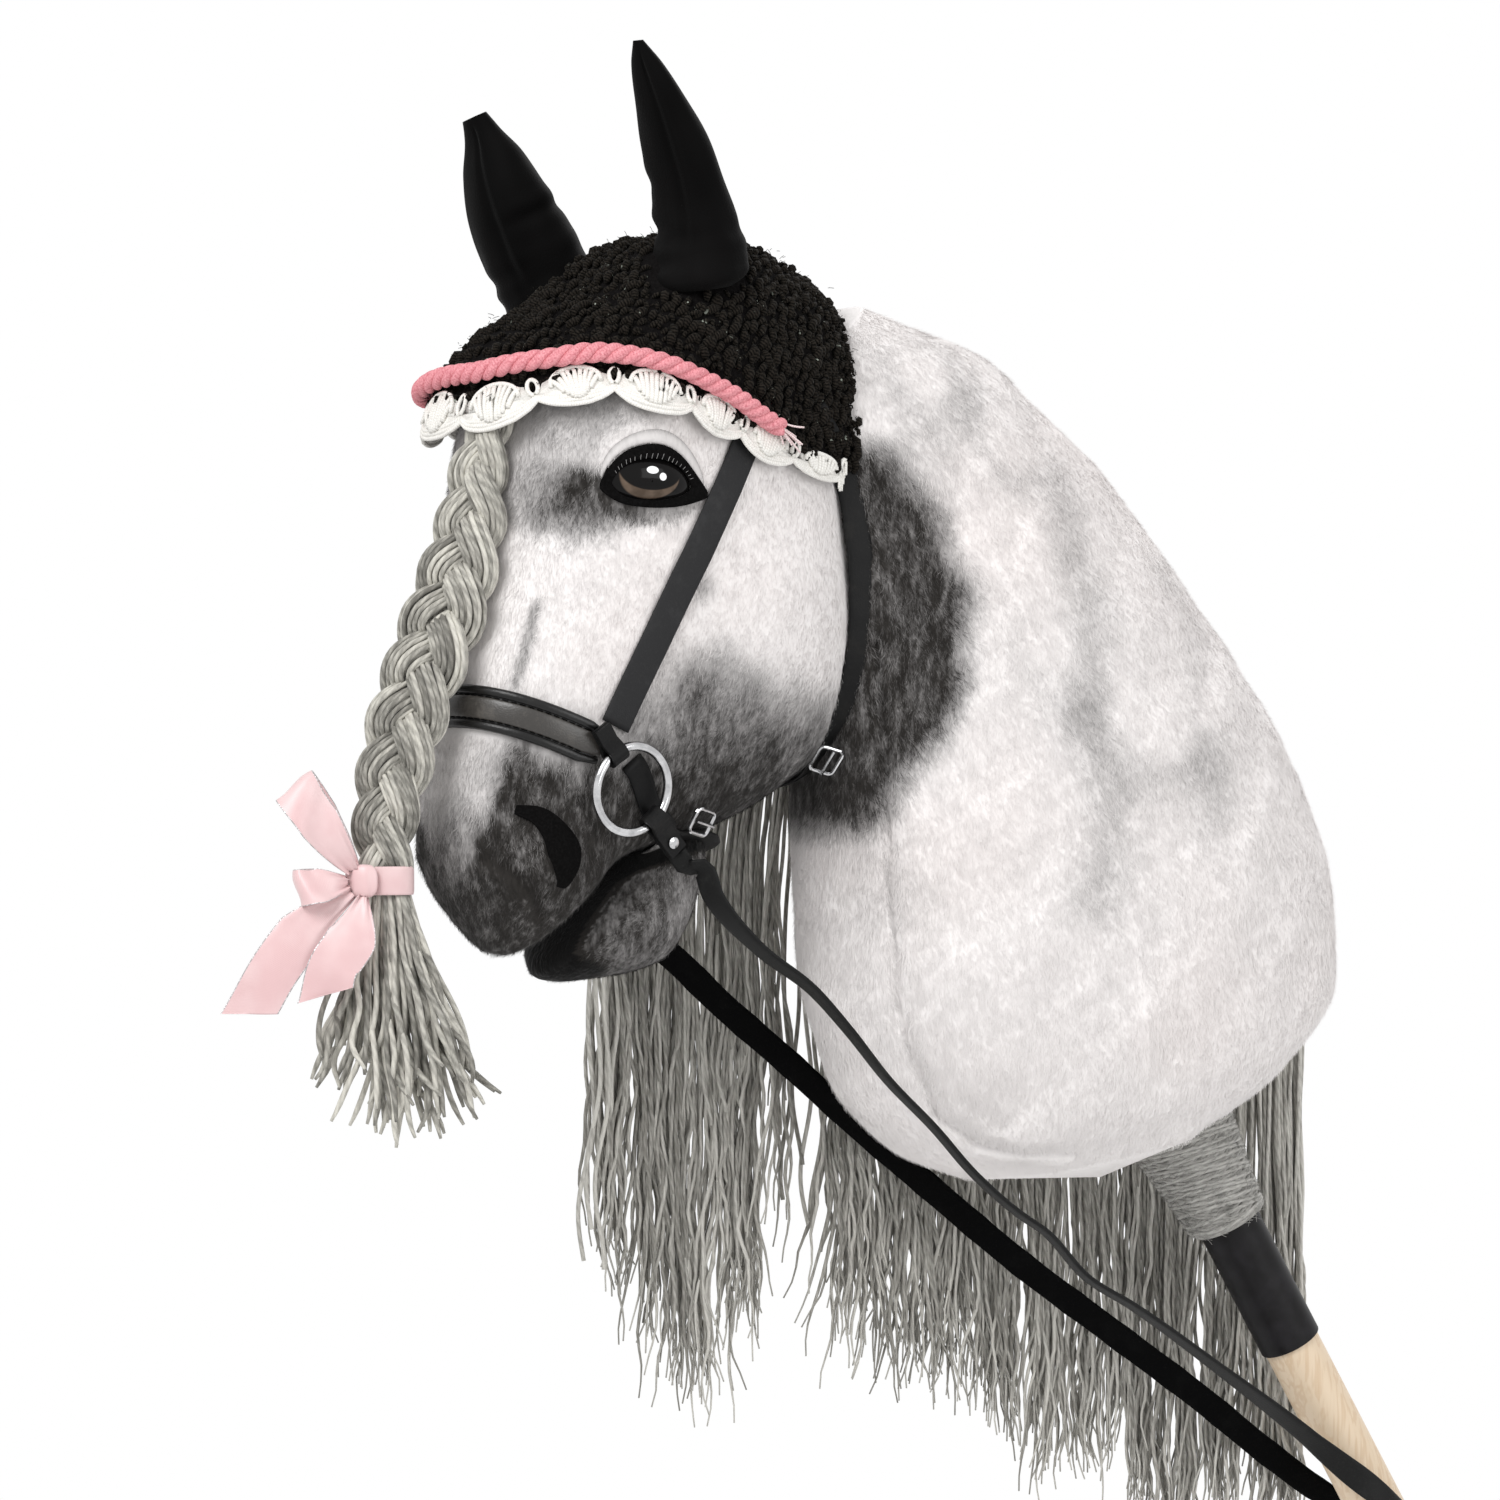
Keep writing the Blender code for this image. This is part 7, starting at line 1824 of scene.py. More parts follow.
class Bonnet:
    """Black crocheted ear bonnet with its lace edge and its pink rope.

    Attributes:
        rows: of stitches from crown to hem.
        columns_step: from stitch to stitch.
        scallops: shells of the lace.
        hairs: that stand off the yarn.
    """

    rows: int = 19
    columns_step: float = 5.8 * MM
    scallops: int = 12
    hairs: int = 3600

    def __init__(self) -> None:
        """Measure the hem."""
        turn = np.linspace(math.radians(-27.0), math.radians(207.0), 500)
        self.hem = SkinPath(head_points, hem_place(turn), turn)
        self.rng = np.random.default_rng(3)

    def build(self) -> None:
        """Make the ground, the stitches, the lace and the rope."""
        self.ground()
        self.stitches()
        self.lace()
        self.rope()

    @staticmethod
    def ground() -> None:
        """Closed dark shell under the stitches, from the crown to just below the hem."""
        turn = np.linspace(-0.5 * math.pi, 1.5 * math.pi, 160, endpoint=False)
        start = HEAD_TOP + 1.2 * MM
        share = np.linspace(0.0, 1.0, 60)[:, None] ** 1.15
        s = start + share * (hem_place(turn)[None] + 2.5 * MM - start)
        lift = bonnet_lift(s, turn[None])
        outer = head_skin(s, turn[None], lift + 1.6 * MM)
        inner = head_skin(s, turn[None], lift)
        rings = np.concatenate([outer, inner[::-1]])
        dress(ring_body("bonnet_ground", rings), "black_ground", ["ear_bonnet"])

    def stitches(self) -> None:
        """Crochet stitches: two fat leaning lobes each, in rows round the head, every other row shifted."""
        dense = np.linspace(-0.5 * math.pi, 1.5 * math.pi, 721)
        start = HEAD_TOP + 1.2 * MM
        centres = []
        for i in range(self.rows):
            share = ((i + 0.4) / self.rows) ** 1.15
            s = start + share * (hem_place(dense) + 3.0 * MM - start)
            here = head_skin(s, dense, bonnet_lift(s, dense) + 1.6 * MM)
            run = run_along(here)
            count = max(6, int(run[-1] / self.columns_step))
            at = (np.arange(count) + 0.5 * (i % 2)) * run[-1] / count
            theta = np.interp(np.mod(at, run[-1]), run, dense)
            centres.append(np.stack([start + share * (hem_place(theta) + 3.0 * MM - start), theta,
                                     np.full(count, run[-1] / count)], -1))
        s, theta, wide = np.concatenate(centres).T
        here, along, around, normal = skin_frame(head_points, s, theta, 0.6 * MM)
        keep = ~(NEAR_EAR.holds(here, 1.0 * MM) | OFF_EAR.holds(here, 1.0 * MM))
        s, theta, wide, here, along, around, normal = (v[keep] for v in (s, theta, wide, here, along, around, normal))
        across, down = unit(around), unit(along)
        here = here + normal * bonnet_lift(s, theta)[:, None]
        count = len(s)
        lobe = np.array([-1.0, 1.0])
        step = np.linspace(-1.0, 1.0, 4)
        size = self.rng.uniform(0.6, 1.3, (count, 2, 1)) * (self.rng.random((count, 2, 1)) > 0.06)
        size = np.maximum(size, 0.25)
        x = lobe[None, :, None] * (0.34 - 0.13 * step[None, None]) * wide[:, None, None] + self.rng.normal(
            0.0, 0.5 * MM, (count, 2, 1)) + self.rng.normal(0.0, 0.8 * MM, (count, 2, 1)) * step
        y = step[None, None] * 2.6 * MM * size + self.rng.normal(0.0, 0.7 * MM, (count, 2, 1))
        z = 1.1 * MM + 1.7 * MM * (1.0 - step[None, None] ** 2) + self.rng.normal(0.0, 0.6 * MM, (count, 2, 1))
        paths = (here[:, None, None] + x[..., None] * across[:, None, None] + y[..., None] * down[:, None, None]
                 + z[..., None] * normal[:, None, None]).reshape(-1, 4, 3)
        radius = (np.array([0.9, 1.6, 1.65, 0.9]) * MM)[None] * size.reshape(-1, 1)
        toward = np.repeat(across, 2, axis=0)[:, None]
        yarn = strands("bonnet_stitches", paths, radius, 6, toward, {"tone": self.rng.random(2 * count)})
        dress(yarn, "black_crochet")
        pick = self.rng.integers(0, count, self.hairs)
        grow = np.linspace(0.0, 1.0, 4)
        foot = here[pick] + normal[pick] * 2.2 * MM + self.rng.normal(0.0, 1.6 * MM, (self.hairs, 3))
        lean = unit(normal[pick] * self.rng.uniform(0.1, 0.9, (self.hairs, 1))
                    + self.rng.normal(0.0, 0.6, (self.hairs, 3)))
        reach = self.rng.uniform(1.2, 2.9, (self.hairs, 1, 1)) * MM
        hairs = foot[:, None] + lean[:, None] * reach * grow[:, None] + down[pick][:, None] * reach * 0.4 * (
            grow[:, None] ** 2)
        dress(strands("bonnet_fuzz", hairs, 0.13 * MM, 3, unit(np.cross(lean, [0.3, 0.5, 0.8]))[:, None]),
              "black_crochet")

    def edge(self, x: Array, y: Array, lift: Numbers) -> Array:
        """World points beside the hem: y is down the head from it."""
        x, y, lift = np.broadcast_arrays(np.asarray(x, float), np.asarray(y, float), np.asarray(lift, float))
        theta = np.interp(x, self.hem.run, self.hem.columns[1])
        swell = bonnet_lift(hem_place(theta) + y, theta)
        sign = 1.0 if self.hem.columns[2][250] > 0.0 else -1.0
        return self.hem.at(x, sign * y, swell + lift)

    def lace(self) -> None:
        """White shells: nested cords below, ribs that fan up to a hump, and a small open loop between."""
        unit_length = self.hem.length / self.scallops
        cords, ribs, fills = [], [], []
        step = np.linspace(-1.0, 1.0, 15)
        grow = np.linspace(0.0, 1.0, 7)
        rng = np.random.default_rng(17)
        for k in range(self.scallops):
            last = k in (0, self.scallops - 1)
            size = 0.62 if last else rng.uniform(0.93, 1.05)
            middle = (k + 0.5) * unit_length
            half = 0.5 * unit_length
            top = 3.6 * MM
            for depth, reach in ((8.6, 1.08), (6.9, 1.05), (5.2, 1.0)):
                y = top + 1.6 * MM + (depth * size * MM - 1.6 * MM) * np.clip(1.0 - step ** 2, 0.0, 1.0) ** 0.75
                cords.append(self.edge(middle + reach * half * step, y, 2.3 * MM + rng.normal(0, 0.15 * MM, 15)))
            count = 9
            spread = np.linspace(-1.0, 1.0, count)
            hump = 7.2 * MM * size * np.sqrt(np.clip(1.0 - (0.86 * spread) ** 2, 0.0, 1.0))
            for t, rise in zip(spread, hump):
                low = top + 6.6 * MM * size * (1.0 - 0.55 * t * t)
                x = middle + half * (0.34 * t + 0.26 * t * grow ** 1.3) + rng.normal(0, 0.2 * MM)
                y = low + (top - rise - low) * grow
                ribs.append(self.edge(x, y, (2.7 + 1.1 * np.sin(math.pi * np.clip(grow * 0.8 + 0.1, 0, 1))) * MM))
            turn = np.linspace(math.pi, 0.0, 15)
            cords.append(self.edge(middle + half * 0.62 * np.cos(turn), top - (7.6 * MM * size) * np.sin(turn) ** 0.8,
                                   3.6 * MM))
            angle = np.linspace(0.0, 1.9 * math.pi, 15)
            cords.append(self.edge(middle - half + 1.9 * MM * np.sin(angle) + 0.6 * MM,
                                   top + 1.2 * MM - 3.4 * MM * (1.0 - np.cos(angle)), 3.2 * MM))
            flat = once_round(28)
            wide = np.cos(flat)
            tall = np.where(np.sin(flat) > 0.0, 7.4 * size * np.sin(flat), 6.8 * size * np.sin(flat) * (
                np.abs(wide) < 0.80)) * MM
            rings = np.stack([self.edge(middle + half * wide * 1.04 * r, top + 1.0 * MM + tall * r, 2.5 * MM + lift)
                              for lift, r in ((0.4 * MM, 0.55), (0.4 * MM, 1.0), (-0.5 * MM, 1.0), (-0.5 * MM, 0.55))])
            fills.append(rings)
        lace = strands("lace_ribs", np.array(ribs), 1.12 * MM, 8, HEAD_DOWN + 0.3 * HEAD_NEAR)
        dress(lace, "white_crochet")
        cords = strands("lace_cords", np.array(cords), 0.98 * MM, 8, HEAD_RISE * 0.4 + UP)
        dress(cords, "white_crochet")
        rows = np.concatenate([f.reshape(-1, 3) for f in fills])
        poles = np.concatenate([np.stack([f[0].mean(0), f[-1].mean(0)]) for f in fills])
        ground = put_mesh("lace_ground", np.concatenate([rows, poles]),
                          [tube_grid(self.scallops, 4, 28), cap_grid(self.scallops, 4, 28)])
        dress(ground, "white_crochet", ["bonnet_lace"])
        tuft = self.edge(np.array(2.0 * MM) + rng.normal(0, 1.2 * MM, (7, 1)) + np.zeros(6),
                         np.linspace(2.0, 10.0, 6) * MM * rng.uniform(0.7, 1.3, (7, 1)), 3.0 * MM)
        dress(strands("lace_tuft", tuft, 0.5 * MM, 6, HEAD_NEAR), "white_crochet")

    @staticmethod
    def rope() -> None:
        """Three twisted cords over the bonnet's front, and their frayed ends."""
        angles = (-1, 10, 26, 41, 55, 70, 80, 92, 108, 122, 136, 152, 170, 182)
        places = (49, 47, 49, 52, 56, 64, 69, 74, 75, 73, 67, 57, 49, 48)
        turn = np.radians(np.linspace(angles[0], angles[-1], 420))
        place = smooth_curve(np.radians(angles), np.array(places) * MM, turn)
        path = SkinPath(head_points, place, turn)
        x = np.linspace(0.0, path.length, 420)
        swell = bonnet_lift(place, turn) + 3.0 * MM + 0.45 * MM + 4.3 * MM
        phase = 2.0 * math.pi * (x / (16.0 * MM) + np.arange(3)[:, None] / 3.0)
        offset = 2.05 * MM
        paths = path.at(np.broadcast_to(x, phase.shape), -offset * np.cos(phase), swell + offset * np.sin(phase))
        rope = strands("bonnet_cord", paths, 2.28 * MM, 12, HEAD_RISE + 0.5 * UP)
        dress(rope, "pink_rope", ["bonnet_rope"])
        rng = np.random.default_rng(5)
        grow = np.linspace(0.0, 1.0, 8)
        ends = []
        for end, inner in ((0, 12), (-1, -13)):
            foot = paths[:, end].mean(0)
            heading = unit(foot - paths[:, inner].mean(0))
            for _ in range(16):
                spread = rng.normal(0.0, 1.0, 3)
                ends.append(foot - heading * 2.0 * MM + spread * 0.9 * MM
                            + (heading * rng.uniform(7.0, 13.0) * MM) * grow[:, None]
                            + (spread * 1.6 * MM - UP * 1.5 * MM) * grow[:, None] ** 2)
        frays = strands("cord_fray", np.array(ends), 0.42 * MM, 6, np.array([0.3, 1.0, 0.2]))
        dress(frays, "pink_fray")


class Bridle:
    """Straps, padded noseband, stitching, rings and buckles."""

    cheek_route: tuple = ((50, 1.5), (62, 3), (80, 5.5), (104, 8.8), (145, 13), (180, 14), (193, 14))
    throat_route: tuple = ((30, -23), (39, -38), (48, -56), (60, -70), (72, -79), (100, -90), (124, -99), (152, -108))
    chin_route: tuple = ((203, -1), (211.5, -14), (220.5, -36), (230, -58), (238, -74))

    def build(self) -> None:
        """Make every strap; the folded ends and buckles keep their CAD shape."""
        turn = once_round(110)
        self.neck_cloud = cloud_of(neck_points, np.linspace(0.02, 0.98, 150), turn, 0.002)
        self.head_cloud = cloud_of(head_points, np.linspace(0.0, 285.0, 130) * MM, turn, 0.6 * MM)
        self.jaw_cloud = cloud_of(jaw_points, np.linspace(196.0, 288.0, 60) * MM, turn, 0.5 * MM)
        for side in Side:
            self.cheek(side)
            self.ring(side)
        self.throat()
        self.noseband()
        self.chin()
        self.keep_cad()

    def cheek(self, side: Side) -> None:
        """Plain cheek strap from under the bonnet to the ring."""
        route = smooth_route(np.array(self.cheek_route, float), 60) * MM
        theta = theta_at(route[:, 0], route[:, 1], side)
        here, _, _, normal = skin_frame(head_points, route[:, 0], theta, 0.6 * MM)
        word = side.word
        strap = self.taut(f"{word}_cheek_leather", here, normal, 14.5 * MM, [self.head_cloud], 9)
        dress(strap, "cheek_leather", [f"{word}_cheek_strap"])

    @staticmethod
    def taut(name: str, centres: Array, faces: Array, width: float, clouds: Sequence, rounds: int) -> Piece:
        """Strap pulled taut: its line and its facing are evened out, then it is pushed clear of the bodies."""
        for _ in range(rounds):
            for values in (centres, faces):
                for _ in range(8):
                    values[1:-1] = 0.5 * values[1:-1] + 0.25 * (values[:-2] + values[2:])
        for cloud in clouds:
            centres = centres + push_out(centres, cloud, 1.6 * MM)
        return sweep_strap(name, centres, unit(faces), np.full(len(centres), width), 2.2 * MM)

    def stitch_row(self, name: str, path: SkinPath, off: float, lift: float, start: float = 0.02,
                   end: float = 0.98, pitch: float = 3.4 * MM) -> None:
        """Row of short thread stitches along a strap."""
        count = int(path.length * (end - start) / pitch)
        x = path.length * start + np.arange(count)[:, None] * pitch + np.linspace(0.0, 0.68 * pitch, 5)
        arch = 0.22 * MM * np.array([0.0, 0.8, 1.0, 0.8, 0.0])
        paths = path.at(x, off, lift - 0.1 * MM + arch)
        dress(strands(name, paths, 0.24 * MM, 5, UP + 0.4 * HEAD_NEAR), "stitch_thread")

    @staticmethod
    def under(route: Sequence, below: Sequence, turn: float, count: int) -> tuple[Array, Array]:
        """Places and angles of a strap down the near side, under the head and up the off side.

        Args:
            route: places and rises on the near side (mm).
            below: its three places under the head (mm).
            turn: angle from each of them to the next (degrees).
            count: of its points.

        Returns:
            The place along the head and the angle round it, at even steps.
        """
        side = np.array(route, float) * MM
        near = theta_at(side[:, 0], side[:, 1], Side.NEAR)
        s = np.concatenate([side[:, 0], np.array(below) * MM, side[::-1, 0]])
        theta = np.concatenate([near, np.radians([turn - 90.0, -90.0, -90.0 - turn]), -math.pi - near[::-1]])
        radius = 0.1
        line = smooth_route(np.stack([s / radius, theta], -1), count)
        return line[:, 0] * radius, line[:, 1]

    def throat(self) -> None:
        """Throat latch from under the bonnet round the cheek and under the throat, clear of head and neck."""
        route = self.under(self.throat_route, (165.0, 168.0, 165.0), 12.0, 160)
        here, _, _, normal = skin_frame(head_points, *route, 0.6 * MM)
        out = here @ HEAD_NEAR - HEAD_POLL @ HEAD_NEAR
        beside = rise_step(22.0 * MM, 44.0 * MM, np.abs(out))[:, None]
        outward, right = np.array([0.35, -0.94, 0.0]), np.array([1.0, 0.0, 0.0])
        mirrored = [v - 2.0 * (v @ HEAD_NEAR) * HEAD_NEAR for v in (outward, right)]
        near_side = (out > 0.0)[:, None]
        faces = np.where(near_side, outward, mirrored[0]) * beside + normal * (1.0 - beside)
        shift = np.where(near_side, right, mirrored[1]) * beside * 5.5 * MM
        strap = self.taut("throat_leather", here + shift, faces, 12.0 * MM, [self.head_cloud, self.neck_cloud], 5)
        dress(strap, "bridle_leather", ["throat_latch"])

    def noseband(self) -> None:
        """Noseband: leather ground, a padded satin-grey middle, two rolled edges and two rows of stitches."""
        end = math.radians(9.5)
        turn = np.linspace(end, math.pi - end, 200)
        path = SkinPath(head_points, np.full(200, 204.0 * MM), turn)
        rows = 150
        taper = np.clip(0.72 + 2.8 * np.sin(np.linspace(end, math.pi - end, rows)) ** 2, 0.0, 1.0)
        band = strap_on("noseband_leather", path, 18.5 * MM * taper, 2.6 * MM, rows=rows, sides=20)
        dress(band, "padded_leather", ["noseband"])
        pad = strap_on("noseband_pad", path, 9.6 * MM * taper, 2.6 * MM, 1.7 * MM, rows, 20, square=0.8)
        dress(pad, "satin_leather")
        for k, off in enumerate((-7.2, 7.2)):
            roll = strap_on(f"noseband_roll_{k}", path, 3.9 * MM * taper, 2.9 * MM, 1.3 * MM, rows, 14,
                            off * MM * taper[:, None], 1.0)
            dress(roll, "padded_leather")
            self.stitch_row(f"noseband_stitches_{k}", path, math.copysign(4.9 * MM, off), 3.55 * MM, 0.06, 0.94)

    def chin(self) -> None:
        """Chin strap from the noseband's ends under the jaw."""
        path = SkinPath(head_points, *self.under(self.chin_route, (243.0, 245.0, 243.0), 10.0, 130))
        strap = strap_on("chin_leather", path, 11.0 * MM, 2.2 * MM, LAID_GAP, 120, clear=[self.jaw_cloud])
        dress(strap, "bridle_leather", ["chin_strap"])

    @staticmethod
    def ring(side: Side) -> None:
        """Polished ring of round wire."""
        centre, axis = (np.array(v) for v in RINGS[side])
        axis = unit(axis)
        first = unit(np.cross(axis, UP))
        small = once_round(18)
        out = swing(once_round(120), first, np.cross(axis, first))
        rings = (centre + out[:, None] * (18.4 * MM + 2.0 * MM * np.cos(small))[:, None]
                 + (2.0 * MM * np.sin(small))[:, None] * axis)
        word = side.word
        dress(loop_body(f"{word}_chrome_ring", rings), "chrome_wire", [f"{word}_ring"], f"{word}_bit_ring")

    @staticmethod
    def keep_cad() -> None:
        """Finishes of the small hard parts that keep their CAD shape."""
        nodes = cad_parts
        for name in ("throat_buckle_frame", "throat_buckle_prong", "chin_buckle_frame", "chin_buckle_prong",
                     "rein_buckle_frame", "rein_buckle_prong", "near_rivet", "off_rivet"):
            finishes.give(nodes[name], "chrome_wire")
        for name in ("near_ring_keeper", "off_ring_keeper", "headpiece", "near_rein_loop", "off_rein_loop"):
            finishes.give(nodes[name], "bridle_leather")


class Forelock:
    """Braided forelock of grey wool, its loose end and its ribbon bow."""

    route_mm: tuple = ((-381.4, -196.6, 471.6), (-385.5, -202.4, 457.4), (-389, -207, 442), (-392, -211, 421),
                       (-401, -216, 387), (-413, -221, 354), (-423, -223, 320), (-428, -224, 291), (-428, -224, 270))
    halves_mm: tuple = (9, 13, 16, 17.5, 17, 16.5, 14.5, 11)
    period: float = 66.0 * MM

    def __init__(self) -> None:
        """Work out the braid's frames."""
        self.rng = np.random.default_rng(23)
        self.route = smooth_route(np.array(self.route_mm) * MM, 260)
        self.reach = np.linspace(0.0, 1.0, 260)
        self.tangents = unit(np.gradient(self.route, axis=0))
        lean = np.clip((self.reach - 0.05) / 0.4, 0.0, 1.0)[:, None]
        facing = HEAD_RISE * (1.0 - lean) + np.array([-0.3, -0.95, 0.0]) * lean
        self.facing = across_line(facing, self.tangents)
        self.wide = np.cross(self.tangents, self.facing)

    def build(self) -> None:
        """Make braid, loose end and bow."""
        self.braid()
        self.tassel()
        self.bow()

    def braid(self) -> None:
        """Three strands that cross over one another, each a bundle of yarns."""
        run = run_along(self.route)
        half = smooth_curve(np.linspace(0.0, 1.0, len(self.halves_mm)), np.array(self.halves_mm) * MM, self.reach)
        bundle = [(math.cos(t), math.sin(t)) for t in once_round(18)]
        paths, tones, cores = [], [], []
        for k in range(3):
            phase = 2.0 * math.pi * (run / self.period + k / 3.0)
            x = half * 0.56 * np.sin(phase)
            z = half * 0.27 * np.sin(2.0 * phase) + 1.0 * MM
            core = self.route + x[:, None] * self.wide + z[:, None] * self.facing
            cores.append(core)
            direction = unit(np.gradient(core, axis=0))
            across = unit(np.cross(direction, self.facing))
            out = np.cross(across, direction)
            shade = self.rng.uniform(0.35, 0.65)
            for a, b in bundle:
                twist = run / (58.0 * MM) + self.rng.normal(0.0, 0.05)
                u = a * np.cos(twist) - b * np.sin(twist)
                v = a * np.sin(twist) + b * np.cos(twist)
                wave = 0.3 * MM * np.sin(run / (9.0 * MM) + self.rng.uniform(0.0, 6.3))
                paths.append(core + (u * half * 0.42 + wave)[:, None] * across
                             + (v * half * 0.30 + wave)[:, None] * out)
                tones.append(np.clip(shade + self.rng.normal(0, 0.25), 0, 1))
        braid = strands("forelock_yarn", np.array(paths)[:, ::2], 1.12 * MM, 7, self.facing[None, ::2],
                        {"tone": np.array(tones)})
        inside = strands("forelock_cores", np.array(cores)[:, ::2], 0.29 * half[::2], 14, self.facing[None, ::2],
                         {"tone": np.full(3, 0.3)})
        dress(inside, "braid_yarn", (), "")
        dress(braid, "braid_yarn", ["forelock_root", "forelock_braid"], "")
        for part in (braid, inside):
            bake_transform(part)

    def tassel(self) -> None:
        """Loose yarn ends below the bow, which spread, wave and end unevenly."""
        foot, wide, deep = self.route[-1], self.wide[-1], self.facing[-1]
        if wide[0] < 0.0:
            wide = -wide
        count = 105
        rng = self.rng
        spot_x, spot_z = rng.uniform(-1.0, 1.0, count), rng.uniform(-1.0, 1.0, count)
        grow = np.linspace(0.0, 1.0, 30)
        clump = np.round(spot_x * 4.0 + rng.normal(0.0, 0.3, count))
        lengths = rng.uniform(92.0, 122.0, 15)[(clump + 7).astype(int)]
        long = (lengths - rng.uniform(0.0, 22.0, count) ** 1.1) * MM * (1.0 - 0.14 * np.abs(spot_x))
        fan = (clump / 4.0 * 27.0 + rng.normal(0.0, 2.6, count)) * MM
        out = (spot_z * 13.0 + rng.normal(0.0, 3.0, count)) * MM
        wave = rng.uniform(1.4, 4.2, count) * MM
        phase, turns = rng.uniform(0, 6.28, count), rng.uniform(1.2, 3.0, count)
        start = foot + (spot_x * 7.5 * MM)[:, None] * wide + (spot_z * 3.0 * MM)[:, None] * deep + UP * 4.0 * MM
        sway = (wave[:, None] * np.sin(turns[:, None] * 2 * math.pi * grow + phase[:, None]) * grow)
        curl = (rng.normal(0.0, 7.0, count) * MM)[:, None] * grow ** 5
        paths = (start[:, None] + (fan[:, None] * grow ** 1.25 + sway + curl)[..., None] * wide
                 + (out[:, None] * grow ** 1.2 + 0.6 * sway)[..., None] * deep
                 + ((long + 4.0 * MM)[:, None] * grow)[..., None] * np.array([0.055, 0.0, -1.0]))
        thin = 1.22 * MM * (1.0 - 0.45 * rise_step(0.93, 1.0, grow))
        ends = strands("tassel_yarn", paths, thin, 7, np.array([0.2, 1.0, 0.1]), {"tone": rng.random(count)})
        dress(ends, "braid_yarn", ["forelock_tassel"], "forelock")

    def bow(self) -> None:
        """Band round the braid, knot, two loops and two tails of satin ribbon."""
        foot, wide, deep = self.route[-1], self.wide[-1], self.facing[-1]
        half, flat, gap = 10.0 * MM, 0.52, 2.2 * MM
        turn = once_round(90)
        loop = (foot + wide * (np.cos(turn) * (half + gap))[:, None]
                + deep * (np.sin(turn) * (half * flat + gap + 0.6 * MM))[:, None])
        band = sweep_strap("wrap_ribbon", loop, unit(loop - foot), np.full(90, 12.0 * MM), 1.0 * MM, 16, closed=True)
        dress(band, "ribbon_plain", ["bow_wrap"], "forelock")
        hub = foot - wide * 6.0 * MM if wide[0] > 0 else foot + wide * 6.0 * MM
        front = half * flat + gap + 0.6 * MM
        hub = hub + deep * (front + 3.5 * MM)
        self.knot(hub, deep)
        face = np.array([0.0, -1.0, 0.0])
        for name, toward, length, depth, share in (
                ("large", (-0.55, -0.20, 0.81), 43.0 * MM, 8.0 * MM, 0.92),
                ("small", (-0.96, -0.28, -0.10), 21.0 * MM, 6.0 * MM, 0.74)):
            self.loop(name, hub, unit(np.array(toward)), face, length, depth, share)
        for name, route in (("long", ((-3.5, -2.2, -5.0), (-20, -7, -17), (-33, -9, -33), (-46, -6, -55))),
                            ("short", ((1.0, -2.6, -6.5), (-3.5, -9.8, -24), (-11, -11, -36), (-14, -10, -47)))):
            self.tail(name, hub, np.array(route) * MM, face)

    @staticmethod
    def knot(hub: Array, deep: Array) -> None:
        """Knot: a squashed ball with soft folds running down it."""
        v = np.linspace(0.0, math.pi, 40)[1:-1]
        turn = once_round(60)
        side = unit(np.cross(deep, UP))
        up = np.cross(side, deep)
        fold = 1.0 + 0.09 * np.sin(4.0 * turn + 1.0) * np.sin(v)[:, None]
        round_way = signed_power(np.sin(v), 0.5)[:, None]
        local = np.stack([round_way * signed_power(np.cos(turn), 0.7) * 6.6 * fold,
                          round_way * np.sin(turn) * 3.2 * fold,
                          np.broadcast_to(signed_power(np.cos(v), 0.7)[:, None] * 7.0, (38, 60))], -1) * MM
        rings = hub + local[..., :1] * side + local[..., 1:2] * deep + local[..., 2:] * up
        dress(ring_body("ribbon_knot", rings), "ribbon_plain", ["bow_knot"], "forelock")

    @staticmethod
    def loop(name: str, hub: Array, toward: Array, face: Array, length: float, depth: float, share: float) -> None:
        """Ribbon loop that leaves the knot pleated, opens, and comes back."""
        over = unit(np.cross(face, toward))
        opening = unit(np.cross(toward, over))
        start = hub + toward * 6.0 * MM
        turn = np.linspace(-0.97 * math.pi, 0.97 * math.pi, 120)
        along = 0.5 * (1.0 + np.cos(turn))
        out = np.sin(turn) * np.sqrt(along) * depth + 0.55 * MM * np.sign(turn)
        centres = start + toward * (along * length)[:, None] + opening * out[:, None]
        tangents = unit(np.gradient(centres, axis=0))
        widths = 21.0 * MM * share * (0.32 + 0.68 * np.clip(along * 1.7, 0.0, 1.0) ** 0.8)
        section = once_round(36)
        x = signed_power(np.cos(section), 0.6)
        flat_side = unit(np.cross(over, tangents))
        twist = (0.62 * share * np.sin(turn) * np.sqrt(along))[:, None]
        over = over * np.cos(twist) + flat_side * np.sin(twist)
        normal = unit(np.cross(over, tangents))
        pleat = 1.5 * MM * np.exp(-along / 0.22)[:, None] * np.sin(3.0 * math.pi * x)
        soft = 1.0 * MM * np.sin(2.3 * x + 9.0 * along[:, None]) * along[:, None]
        rings = (centres[:, None] + (0.5 * widths[:, None] * x)[..., None] * over[:, None]
                 + (0.33 * MM * np.sin(section) + pleat + soft)[..., None] * normal[:, None])
        ribbon = ring_body(f"ribbon_loop_{name}", rings, {"edge": np.tile(np.abs(x), (120, 1))})
        dress(ribbon, "ribbon_satin", [f"bow_loop_{name}"], "forelock")

